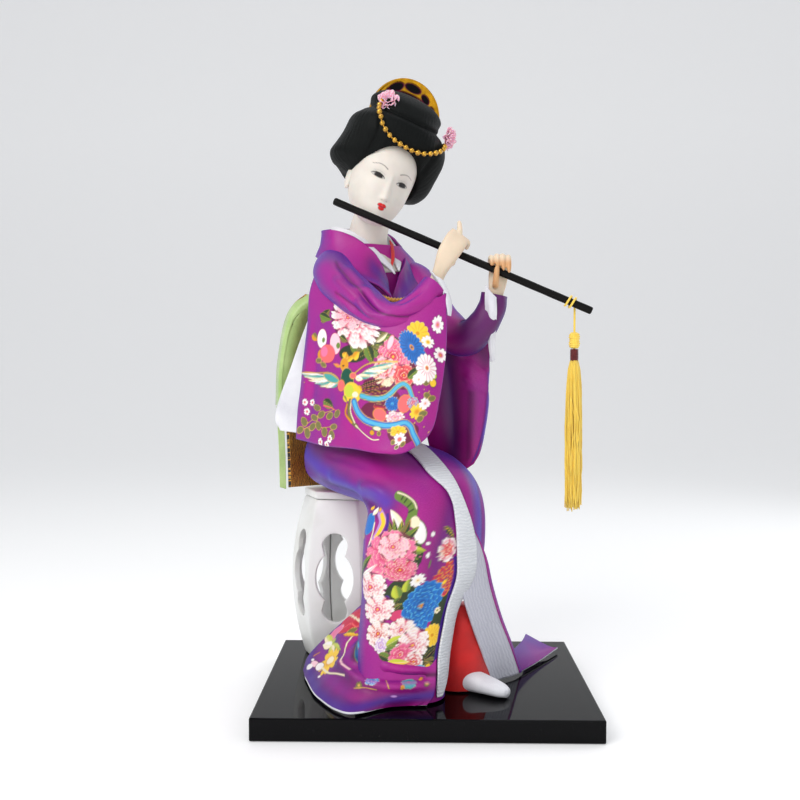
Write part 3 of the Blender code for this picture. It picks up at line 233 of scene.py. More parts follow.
def add_lined(name, front, back, sparse, finish, slot, replaced, painted, top=0):
    """A sheet with a fine front and a coarse back that holds every sparse-th column of it.

    The print is measured from the row numbered top."""
    rows, columns = front.shape[:2]
    back = back[:, ::sparse]
    few = back.shape[1]
    first = rows * columns
    u, v = cloth_of(front)
    v = v - v[top]
    colour, gold = painted(u, v)
    data = cloth_data(u, v, colour, gold)
    rear = cloth_data(u[:, ::sparse], v[:, ::sparse], np.zeros((rows, few, 4)), np.zeros((rows, few)))
    data = {key: np.concatenate([value, rear[key]]) for key, value in data.items()}
    faces = quads_of(rows, columns)[:, ::-1].tolist() + (quads_of(rows, few) + first).tolist()
    side = np.arange(rows - 1)
    for column, rear_column, way in ((0, 0, 1), (columns - 1, few - 1, -1)):
        near, far = side * columns + column, first + side * few + rear_column
        faces += np.stack([near, near + columns, far + few, far], -1)[:, ::way].tolist()
    for row, way in ((0, -1), (rows - 1, 1)):
        for k in range(few - 1):
            near = [row * columns + k * sparse + j for j in range(sparse + 1)]
            faces.append((near + [first + row * few + k + 1, first + row * few + k])[::way])
    vertices = np.concatenate([front.reshape(-1, 3), back.reshape(-1, 3)])
    return add_piece(name, vertices, faces, finish, slot, replaced, **data)


def facing_out(grid):
    """Normals of a hanging sheet, turned to the figure's front."""
    out = normals_of(grid)
    return out * np.sign(-out[..., 1:2])


def rising(grid):
    """Normals of a lying sheet, turned upwards."""
    out = normals_of(grid)
    return out * np.sign(out[..., 2:])


def thinned(grid, thickness):
    """Half the sheet's thickness at each point, run down to nothing along its four edges."""
    across, along = (np.linspace(-1, 1, n) for n in (grid.shape[1], grid.shape[0]))
    return thickness / 2 * np.sqrt(1 - np.maximum(np.abs(across[None]), np.abs(along[:, None])) ** 40)


def add_tube(name, rings, finish, slot, replaced=(), painted=None, capped=True, coordinates=None):
    """A closed piece of rings, with its ends capped or left open."""
    u, v = coordinates if coordinates else cloth_of(rings, True)
    data = cloth_data(u, v, *(painted(u, v) if painted else (None, None)))
    vertices, faces = join_grids([(rings, True, capped)])
    return add_piece(name, vertices, faces, finish, slot, replaced, **data)


def settle(thing, voxel, rounds):
    """Joins a piece's overlapping parts into one smooth skin: voxel remesh, then smoothing."""
    skin = thing.modifiers.new("skin", "REMESH")
    skin.mode = "VOXEL"
    skin.voxel_size = voxel * MM
    skin.use_smooth_shade = True
    soft = thing.modifiers.new("soft", "SMOOTH")
    soft.factor = 0.5
    soft.iterations = rounds
    graph = bpy.context.evaluated_depsgraph_get()
    mesh = bpy.data.meshes.new_from_object(thing.evaluated_get(graph))
    mesh.shade_smooth()
    thing.modifiers.clear()
    thing.data = mesh
    return thing


# The print, and painted sheen, highlights and shade, on cloth: each motif is a mask computed from the
# cloth's own coordinates


def linear(colour):
    """An sRGB colour given as 0 to 255, as linear values."""
    c = np.asarray(colour, float) / 255
    return np.where(c <= 0.04045, c / 12.92, ((c + 0.055) / 1.055) ** 2.4)


COLOURS = {name: linear(value) for name, value in {
    "white": (250, 244, 240), "cream": (250, 236, 200), "blush": (250, 205, 215), "pink": (238, 120, 160),
    "rose": (215, 60, 110), "coral": (240, 105, 105), "red": (205, 35, 60), "lips": (214, 24, 22),
    "wine": (110, 12, 62), "yellow": (250, 205, 50), "amber": (225, 150, 25), "gold": (222, 175, 90),
    "lime": (200, 210, 60), "leaf": (105, 135, 50), "dark_leaf": (38, 58, 26), "olive": (120, 115, 60),
    "teal": (70, 165, 160), "green": (10, 80, 60), "blue": (15, 110, 195), "sky": (85, 180, 220),
    "navy": (20, 50, 120), "violet": (70, 30, 140), "indigo": (66, 60, 190), "dusk": (38, 12, 84),
    "plum": (84, 6, 78), "orchid": (222, 70, 196), "lilac": (190, 140, 210), "black": (16, 12, 16),
}.items()}
SOFT_EDGE = 0.2


class Canvas:
    """Colour, cover and gold of the print, and of painted sheen and shade, over a piece of cloth, painted
    layer by layer.
    """

    def __init__(self, u, v):
        self.u, self.v = u, v
        self.colour = np.zeros(u.shape + (3,))
        self.cover = np.zeros_like(u)
        self.gold = np.zeros_like(u)

    def lay(self, mask, colour, gold=0.0):
        colour = COLOURS[colour] if isinstance(colour, str) else colour
        self.colour = self.colour * (1 - mask[..., None]) + colour * mask[..., None]
        self.cover = self.cover + (1 - self.cover) * mask
        self.gold = self.gold * (1 - mask) + gold * mask

    def local(self, centre, angle):
        a = math.radians(angle)
        x, y = self.u - centre[0], self.v - centre[1]
        return x * math.cos(a) + y * math.sin(a), y * math.cos(a) - x * math.sin(a)

    def result(self):
        return np.concatenate([self.colour, self.cover[..., None]], -1), self.gold


def inside(distance, soft=SOFT_EDGE):
    """1 within an outline and 0 outside it, from the distance to its line."""
    return smoothstep(soft, -soft, distance)


def mix(a, b, share):
    """Two colours mixed by a share at each point."""
    a = COLOURS[a] if isinstance(a, str) else a
    b = COLOURS[b] if isinstance(b, str) else b
    return a * (1 - share[..., None]) + b * share[..., None]


def peony(canvas, centre, rx, ry, angle=0, pale="blush", deep="rose", lobes=7):
    """Rings of broad petals: each rim is a circle swollen by a rectified cosine of uneven beat,
    deep at the foot and where two petals meet, streaked outwards, and pale at the rim."""
    x, y = canvas.local(centre, angle)
    r, turn = np.hypot(x / rx, y / ry), np.arctan2(y / ry, x / rx)
    size = min(rx, ry)
    canvas.lay(0.8 * inside((r - 0.95) * size, 0.3), "wine")
    rings = ((1.0, lobes, 0.3), (0.8, lobes - 1, 1.3), (0.62, max(lobes - 2, 4), 2.2), (0.44, 5, 0.7),
             (0.26, 3, 1.9))
    for share, count, phase in rings if size > 5 else rings[::2]:
        beat = turn + 0.22 * np.sin(2 * turn + phase) + 0.1 * np.sin(3 * turn + 2 * phase)
        wave = np.abs(np.cos(count * beat / 2 + phase))
        notch = 0.1 * np.exp(-(((1 - wave) / 0.02) ** 2)) + 0.03 * np.cos(count * 4 * beat)
        rim = share * (0.7 + 0.3 * wave**0.5 - notch * wave)
        away = (r - rim) * size
        streak = 0.14 * np.cos(count * 7 * beat) * smoothstep(1.0, 0.6, r / rim)
        foot = np.clip(smoothstep(0.5, 1.0, r / rim) + streak, 0, 1) * smoothstep(0.05, 0.6, wave)
        canvas.lay(inside(away), mix(deep, pale, foot))
        canvas.lay(0.75 * inside(np.abs(away) - 0.08, 0.14), "cream", 0.4)
    canvas.lay(inside((r - 0.06) * size), "yellow", 0.5)


def daisy(canvas, centre, rx, ry, angle=0, petals=16, colour="blue", edge="navy", heart="amber"):
    """Round flower of narrow petals: radial lines where the sine of the petal angle is zero."""
    x, y = canvas.local(centre, angle)
    r, turn = np.hypot(x / rx, y / ry), np.arctan2(y / ry, x / rx)
    size = min(rx, ry)
    wave = np.abs(np.cos(petals * turn / 2))
    away = (r - 0.84 - 0.16 * wave**0.7) * size
    canvas.lay(inside(away), colour)
    line = np.abs(np.sin(petals * turn / 2 + math.pi / 2)) * r * size * 2 / petals
    canvas.lay(0.6 * inside(line - 0.16, 0.14) * inside(away) * smoothstep(0.2, 0.4, r), edge)
    canvas.lay(0.5 * inside(np.abs(away) - 0.1, 0.12), "cream", 0.5)
    canvas.lay(inside((r - 0.16) * size), heart, 0.6)
    canvas.lay(inside((r - 0.07) * size), edge)


def dahlia(canvas, centre, rx, ry, angle=0, colour="blue", rim="sky", heart="amber"):
    """Rings of pointed petals, each a lens in angle and radius with a pale outline."""
    x, y = canvas.local(centre, angle)
    r, turn = np.hypot(x / rx, y / ry), np.arctan2(y / ry, x / rx) / (2 * math.pi)
    size = min(rx, ry)
    for outer, inner, count, phase in ((1.0, 0.5, 16, 0), (0.78, 0.34, 16, 0.5), (0.56, 0.2, 12, 0),
                                       (0.37, 0.08, 9, 0.5)):
        t = np.clip((r - inner) / (outer - inner), 0, 1)
        across = np.abs((turn * count + phase) % 1 - 0.5) * 2 * math.pi * r * size / count
        half = math.pi * outer * size / count * np.sin(math.pi * t**1.3) ** 0.7
        away = np.where((t <= 0) | (t >= 1), 1.0, across - half)
        canvas.lay(inside(away), rim)
        canvas.lay(inside(away + 0.34), mix("navy", colour, smoothstep(0.1, 0.8, t)))
    canvas.lay(inside((r - 0.1) * size), heart, 0.6)


def blossom(canvas, centre, radius, angle=0, colour="white", heart="rose", petals=5):
    """Open flower of notched petals round a tinted heart."""
    x, y = canvas.local(centre, angle)
    r, turn = np.hypot(x, y) / radius, np.arctan2(y, x)
    wave = np.abs(np.cos(petals * turn / 2))
    rim = 0.5 + 0.5 * np.minimum(1, wave * 1.6) ** 0.5 - 0.12 * np.exp(-(((1 - wave) / 0.03) ** 2))
    away = (r - rim) * radius
    canvas.lay(inside(away - 0.2) * 0.5, "wine")
    canvas.lay(inside(away), mix(heart, colour, smoothstep(0.15, 0.55, r)))
    canvas.lay(inside((r - 0.13) * radius), "amber", 0.5)


def leaf(canvas, start, end, width, colour="leaf", dark="dark_leaf", vein="lime"):
    """A pointed leaf: a lens along its axis, one half darker, with a pale midrib and veins."""
    du, dv = end[0] - start[0], end[1] - start[1]
    length = math.hypot(du, dv)
    along = ((canvas.u - start[0]) * du + (canvas.v - start[1]) * dv) / length
    across = ((canvas.v - start[1]) * du - (canvas.u - start[0]) * dv) / length
    t = along / length
    half = width / 2 * np.sin(math.pi * np.clip(t, 0, 1) ** 0.75) ** 0.8
    away = np.where((t < 0) | (t > 1), 1.0, np.abs(across) - half)
    mask = inside(away)
    canvas.lay(mask, mix(dark, colour, smoothstep(-0.5, 0.5, across / (width / 2))))
    canvas.lay(0.7 * mask * inside(np.abs(across) - 0.08, 0.14), vein, 0.4)
    canvas.lay(0.5 * inside(np.abs(away) - 0.08, 0.12), "gold", 0.7)


def reach_of(canvas, points):
    """Distance to the nearest of a curve's short segments, and how far along the curve it is."""
    points = np.asarray(points, float)
    smooth = spread(points, 4 * len(points)) if len(points) > 2 else points
    nearest, place_on = np.full(canvas.u.shape, 1e9), np.zeros_like(canvas.u)
    for k, (p, q) in enumerate(zip(smooth[:-1], smooth[1:])):
        d = q - p
        t = (((canvas.u - p[0]) * d[0] + (canvas.v - p[1]) * d[1]) / max(d @ d, 1e-9)).clip(0, 1)
        away = np.hypot(canvas.u - p[0] - t * d[0], canvas.v - p[1] - t * d[1])
        closer = away < nearest
        nearest = np.where(closer, away, nearest)
        place_on = np.where(closer, (k + t) / (len(smooth) - 1), place_on)
    return nearest, place_on


def stroke(canvas, points, width, colour, gold=0.0, taper=0.0):
    """A painted line with clean edges that can taper along its run."""
    nearest, place_on = reach_of(canvas, points)
    canvas.lay(inside(nearest - width / 2 * (1 - taper * place_on)), colour, gold)


def glow(canvas, points, width, colour, share):
    """A soft band of colour along a curve: a bell of the distance to it."""
    nearest, _ = reach_of(canvas, points)
    canvas.lay(share * np.exp(-((nearest / width) ** 2)), colour)


def ribbon(canvas, points, width, colour="sky", rim="teal"):
    """A curling band with a gold outer line and a rim."""
    stroke(canvas, points, width * 1.25, "gold", 0.8, 0.3)
    stroke(canvas, points, width, rim, 0, 0.3)
    stroke(canvas, points, width * 0.55, colour, 0, 0.3)


def spot(canvas, centre, rx, ry, angle, colour, rim=None):
    """A plain oval, with a rim if one is named."""
    x, y = canvas.local(centre, angle)
    away = (np.hypot(x / rx, y / ry) - 1) * min(rx, ry)
    if rim:
        canvas.lay(inside(away - 0.25), rim)
    canvas.lay(inside(away), colour)


def wing(canvas, root, tips, width, colours):
    """Feathers fanned from one root, each a thin leaf, over a gold rim."""
    for k, tip in enumerate(tips):
        start = (root[0] + 0.22 * (tip[0] - root[0]), root[1] + 0.22 * (tip[1] - root[1]))
        leaf(canvas, start, tip, width, colours[k % len(colours)], colours[(k + 1) % len(colours)], "gold")


def each(canvas, motif, shared, *places):
    """Several of one motif that share their last values, such as colours."""
    for own in places:
        motif(canvas, *own, *shared)


def paint(canvas, rows):
    """Paints rows of motifs in turn, each row a motif and its values."""
    for motif, *given in rows:
        motif(canvas, *given)
    return canvas


def print_and_shade(rows):
    """A function from cloth coordinates to the colour, cover and gold of rows of motifs."""
    return lambda u, v: paint(Canvas(u, v), rows).result()


# The garment's print, and the painted sheen, highlights and shade of its folds, on the cloth's own
# coordinates: places and sizes in millimetres, turns in degrees. They were read in the photo and
# then carried over to the cloth.

POUCH_PRINT = (
    (spot, (51.7, 17.5), 12.9, 4.6, 6, "dark_leaf"),
    (spot, (37.9, 24.3), 9.1, 4, -2, "dark_leaf"),
    (spot, (52, 49.5), 6.5, 5, -7, "wine"),
    (spot, (66.5, 31.3), 6.3, 6.9, -6, "wine"),
    (spot, (58.1, 43), 7.9, 4.9, -5, "wine"),
    (spot, (68.6, 56.3), 7.4, 5.2, 0, "wine"),
    (spot, (54.1, 37.4), 8.4, 3, 4, "wine"),
    (leaf, (13.3, 9.8), (19.5, 3.2), 5.6, "olive", "dark_leaf", "yellow"),
    (leaf, (11.7, 6.4), (21.3, 8.6), 4.2, "leaf"),
    (leaf, (37.4, 18.9), (42.9, 24.6), 6.1, "leaf"),
    (leaf, (49.1, 19.4), (38, 26.5), 4.5, "olive"),
    (leaf, (46.2, 19.5), (55.8, 25.3), 6.2, "leaf"),
    (leaf, (46.2, 20), (50.6, 28.2), 5.6, "leaf", "dark_leaf", "yellow"),
    (leaf, (47.8, 17.7), (60.6, 15), 4.6, "leaf"),
    (leaf, (49.7, 20.3), (59.8, 18.7), 4, "olive"),
    (leaf, (51.8, 18.4), (57.7, 13.9), 3, "cream", "olive", "leaf"),
    (peony, (37.1, 9.2), 17.9, 11.8, 25, "white", "rose", 11),
    (peony, (32.7, 6.4), 9.5, 6.7, 23, "blush", "rose", 7),
    (leaf, (7.3, 15.5), (12.2, 18.5), 3.7, "amber", "olive"),
    (leaf, (28.8, 16.8), (34, 19), 3.5, "olive"),
    (spot, (15.3, 17.7), 3.6, 4.5, -11, "white", "rose"),
    (spot, (16.6, 18.4), 1.2, 1.2, 1, "leaf"),
    (spot, (25.5, 20.1), 3.7, 4.9, -18, "blush", "rose"),
    (spot, (27.8, 21), 1.4, 1.4, -1, "leaf"),
    (spot, (16.4, 25.3), 4, 2.9, 0, "amber"),
    (spot, (20.2, 24.8), 5.4, 4.2, 6, "coral", "rose"),
    (spot, (17.8, 23.9), 2.5, 2.4, 12, "pink"),
    (spot, (13.7, 28.1), 2.2, 1.2, -1, "olive", "gold"),
    (spot, (17.8, 30), 2.1, 1.1, 18, "olive", "gold"),
    (peony, (58.2, 32), 7.9, 5.6, -4, "cream", "coral", 8),
    (peony, (61.0, 24.5), 8.6, 8.2, -9, "pink", "red", 8),
    (peony, (66.5, 32.0), 5.6, 5.0, -2, "coral", "red", 6),
    (peony, (57.0, 29.6), 5.8, 5.0, -4, "blush", "red", 7),
    (spot, (59.3, 18.3), 1.3, 3.3, 18, "blush", "rose"),
    (daisy, (71.4, 12.4), 5.1, 5.6, -37, 12, "yellow", "amber", "amber"),
    (daisy, (69.3, 19.2), 5.2, 8.5, -32, 22, "blue", "navy", "amber"),
    (blossom, (80.1, 7.8), 3, 3, "white", "pink"),
    (blossom, (76.1, 15.4), 2.9, 55, "white", "yellow"),
    (blossom, (82.4, 19.5), 3.5, 14, "white", "rose"),
    (leaf, (68.4, 33.3), (74.6, 27), 4, "leaf"),
    (spot, (80, 30.7), 1.4, 1.5, -11, "lime", "dark_leaf"),
    (spot, (79.9, 34.2), 1.6, 1.9, -8, "yellow", "dark_leaf"),
    (spot, (76.5, 34.2), 1.4, 1.4, -7, "olive", "gold"),
    (daisy, (76.4, 27.5), 4.7, 6.6, -10, 16, "white", "rose", "amber"),
    (daisy, (73.3, 33.2), 2.8, 2.7, -7, 10, "white", "blush", "amber"),
    (leaf, (43.9, 38.6), (56.9, 34.2), 1.8, "wine", "black", "gold"),
    (leaf, (44.1, 39.9), (57.6, 37.2), 1.8, "wine", "black", "amber"),
    (leaf, (44.8, 41.2), (59.3, 39.2), 1.5, "wine", "black", "amber"),
    (leaf, (31.1, 24.6), (36, 26.6), 2.8, "yellow", "amber"),
    (leaf, (32.7, 28.1), (33.8, 23.6), 2.2, "amber", "yellow"),
    (leaf, (34.1, 28), (39.8, 24.7), 2.2, "yellow", "amber"),
    (leaf, (38.6, 26.5), (42.2, 23.3), 3.7, "yellow", "amber"),
    (leaf, (30.1, 30.4), (25, 29.3), 2, "coral", "amber"),
    (wing, (30.8, 36.7),
     ((0, 35), (3.5, 36.4), (7.1, 38.2), (11.2, 39.4), (16.1, 40.6), (20.7, 40.7), (25, 40.4)), 2.8,
     ("white", "teal", "cream")),
    (spot, (24.3, 35.7), 5.5, 2, 13, "teal", "gold"),
    (stroke, ((0.2, 34.5), (12.9, 34), (23.4, 33.9), (29.3, 35.9)), 0.7, "gold", 0.8),
    (wing, (39.1, 34.4),
     ((63.1, 26.8), (61.3, 28.7), (58.1, 30.7), (54.1, 32.3), (49.9, 33.8), (45.4, 35.4)), 2.7,
     ("white", "teal", "cream")),
    (stroke, ((39.6, 33.1), (46.7, 28.8), (55.4, 27), (63.1, 26.4)), 0.8, "gold", 0.8),
    (spot, (32.8, 29.4), 2.7, 2.8, 7, "amber", "gold"),
    (spot, (32.2, 29.9), 0.7, 0.4, -3, "black"),
    (spot, (35.4, 36), 4.2, 5.2, -12, "green", "gold"),
    (spot, (39.1, 34), 1.9, 1.3, -3, "coral", "gold"),
    (spot, (31.8, 39), 2.2, 2.5, 3, "coral", "amber"),
    (spot, (39.4, 41.6), 5.4, 4.4, 18, "yellow", "gold"),
    (spot, (37.4, 40.9), 3.1, 2.9, 17, "lime"),
    (spot, (41.3, 42.4), 1.8, 1.3, -5, "cream"),
    (leaf, (33.8, 43.4), (36.8, 46.4), 2.2, "yellow", "leaf"),
    (leaf, (42.7, 38.2), (45.4, 40.7), 2.1, "yellow", "amber"),
    (ribbon, ((45, 42.5), (51.3, 43.2), (57.6, 42.2), (61.2, 39.9), (63.4, 37.6),
              (66.4, 35.7), (69.1, 37.1), (70.8, 40.4), (72.5, 43.3), (75.6, 45.6)), 2.3, "sky", "teal"),
    (stroke, ((38.6, 45.3), (38.6, 49.8), (41.2, 54), (44.5, 56.2)), 1.9, "olive", 0.3),
    (stroke, ((36.9, 47.2), (36.9, 51.3), (41.3, 54.9)), 1.1, "amber", 0.5),
    (stroke, ((39.2, 45.2), (39.9, 50.1), (43.1, 54.6)), 0.7, "cream", 0.5),
    (stroke, ((43.9, 55.8), (48.9, 58.6), (53.5, 60.4), (57.1, 59.9)), 0.6, "cream", 0.7),
    (daisy, (62.1, 44.4), 3.8, 3.1, -5, 12, "blue", "navy", "sky"),
    (leaf, (52.2, 46.1), (59.4, 46.2), 2.4, "red", "wine", "gold"),
    (spot, (56.2, 49.4), 3.5, 2.5, 10, "coral", "amber"),
    (peony, (64, 49.9), 4.7, 2.8, -4, "white", "pink", 7),
    (spot, (68, 43.9), 3, 3.7, 12, "coral", "amber"),
    (peony, (71.6, 43.4), 2.7, 2.5, -1, "sky", "rose", 6),
    (blossom, (73.9, 47.3), 3.4, 3, "yellow", "amber"),
    (blossom, (77.2, 43.9), 2.8, 22, "white", "blush"),
    (ribbon, ((41.1, 45.5), (44, 49.6), (48.5, 52.5), (54.1, 53.4), (60.2, 53.5),
              (64.8, 52.7), (68.9, 51.7), (71.8, 53.5), (73.9, 57.4), (79.2, 65.2)), 3.1, "sky", "blue"),
    (daisy, (66.1, 55.5), 4.2, 2.5, -2, 8, "yellow", "amber", "amber"),
    (blossom, (67.5, 58.9), 3, 0, "white", "rose"),
    (spot, (64.6, 60.5), 0.9, 1.1, -5, "olive", "gold"),
    (spot, (67.2, 62.9), 0.9, 1.1, -4, "olive", "cream"),
    (spot, (69.6, 61.3), 1, 1.3, 6, "olive", "gold"),
    (spot, (61.9, 55.5), 0.9, 0.7, -6, "olive", "gold"),
    (spot, (55.4, 55.3), 2, 0.8, 0, "cream", "leaf"),
    (spot, (53, 57.4), 1.1, 1, -9, "amber", "leaf"),
    (spot, (56.7, 57.3), 1, 0.9, -8, "olive", "gold"),
    (leaf, (20.1, 47), (27.8, 49.5), 4.8, "leaf", "dark_leaf", "gold"),
    (stroke, ((20.5, 49.4), (25.7, 49.7), (31.5, 51)), 0.7, "coral", 0.3),
    (stroke, ((27.9, 50.4), (20.4, 53.2), (13.4, 57), (7.7, 60.7)), 0.5, "gold", 0.7),
    (stroke, ((29.8, 57.5), (21.3, 59.5), (13.8, 59.7), (6.3, 62.5)), 0.4, "gold", 0.7),
    (spot, (16.1, 50.9), 2.6, 1.4, 5, "olive", "gold"),
    (spot, (19.7, 53.7), 2.4, 1.5, -28, "olive", "gold"),
    (spot, (14.7, 55.9), 2.6, 1.4, 4, "olive", "gold"),
    (spot, (25.6, 53.5), 2.3, 1.5, -27, "olive", "gold"),
    (spot, (31, 52), 2.1, 1.6, -36, "olive", "gold"),
    (spot, (7.4, 58.9), 2.2, 1.8, 25, "olive", "gold"),
    (spot, (4.7, 62.7), 2.6, 1.2, -17, "olive", "gold"),
    (spot, (10.3, 63.1), 2.1, 1.8, 23, "olive", "gold"),
    (spot, (13.9, 60.1), 2.5, 1.4, -27, "olive", "gold"),
    (spot, (18.3, 59), 2.1, 1.7, 27, "olive", "gold"),
    (spot, (23, 61), 1.9, 1.8, 38, "olive", "gold"),
    (spot, (29.2, 58.1), 2.5, 1.2, -10, "olive", "gold"),
    (spot, (28.2, 61.6), 2.1, 1.6, 28, "olive", "gold"),
    (spot, (76.8, 48.5), 1.9, 1.3, 10, "olive", "gold"),
    (spot, (75.7, 50.6), 1.4, 1.4, -25, "olive", "gold"),
    (spot, (77.7, 40.2), 1.6, 1.2, 32, "olive", "gold"),
    (spot, (80.3, 41.7), 1.8, 1.4, 2, "olive", "gold"),
    (blossom, (7, 49.5), 1.9, -8, "white", "rose"),
    (blossom, (11.7, 48.9), 1.9, -7, "white", "rose"),
    (blossom, (8.8, 53.9), 1.9, -9, "white", "rose"),
    (blossom, (20.5, 65.3), 1.7, -6, "white", "rose"),
    (blossom, (27, 63.4), 1.7, -6, "white", "rose"),
    (blossom, (25, 66), 1.7, -5, "white", "rose"),
    (spot, (4.9, 39.4), 0.6, 0.4, -4, "gold"),
    (spot, (73.9, 38.9), 0.4, 0.4, -5, "gold"),
    (spot, (76, 37.5), 0.3, 0.4, -1, "gold"),
    (spot, (73.1, 41.2), 0.4, 0.3, -1, "gold"),
    (spot, (78.4, 38.3), 0.4, 0.4, -3, "gold"),
    (spot, (73.5, 52), 0.4, 0.4, 8, "gold"),
    (spot, (78.4, 55.2), 0.5, 0.4, 23, "gold"),
    (spot, (82.4, 60.2), 0.6, 0.6, 34, "gold"),
)
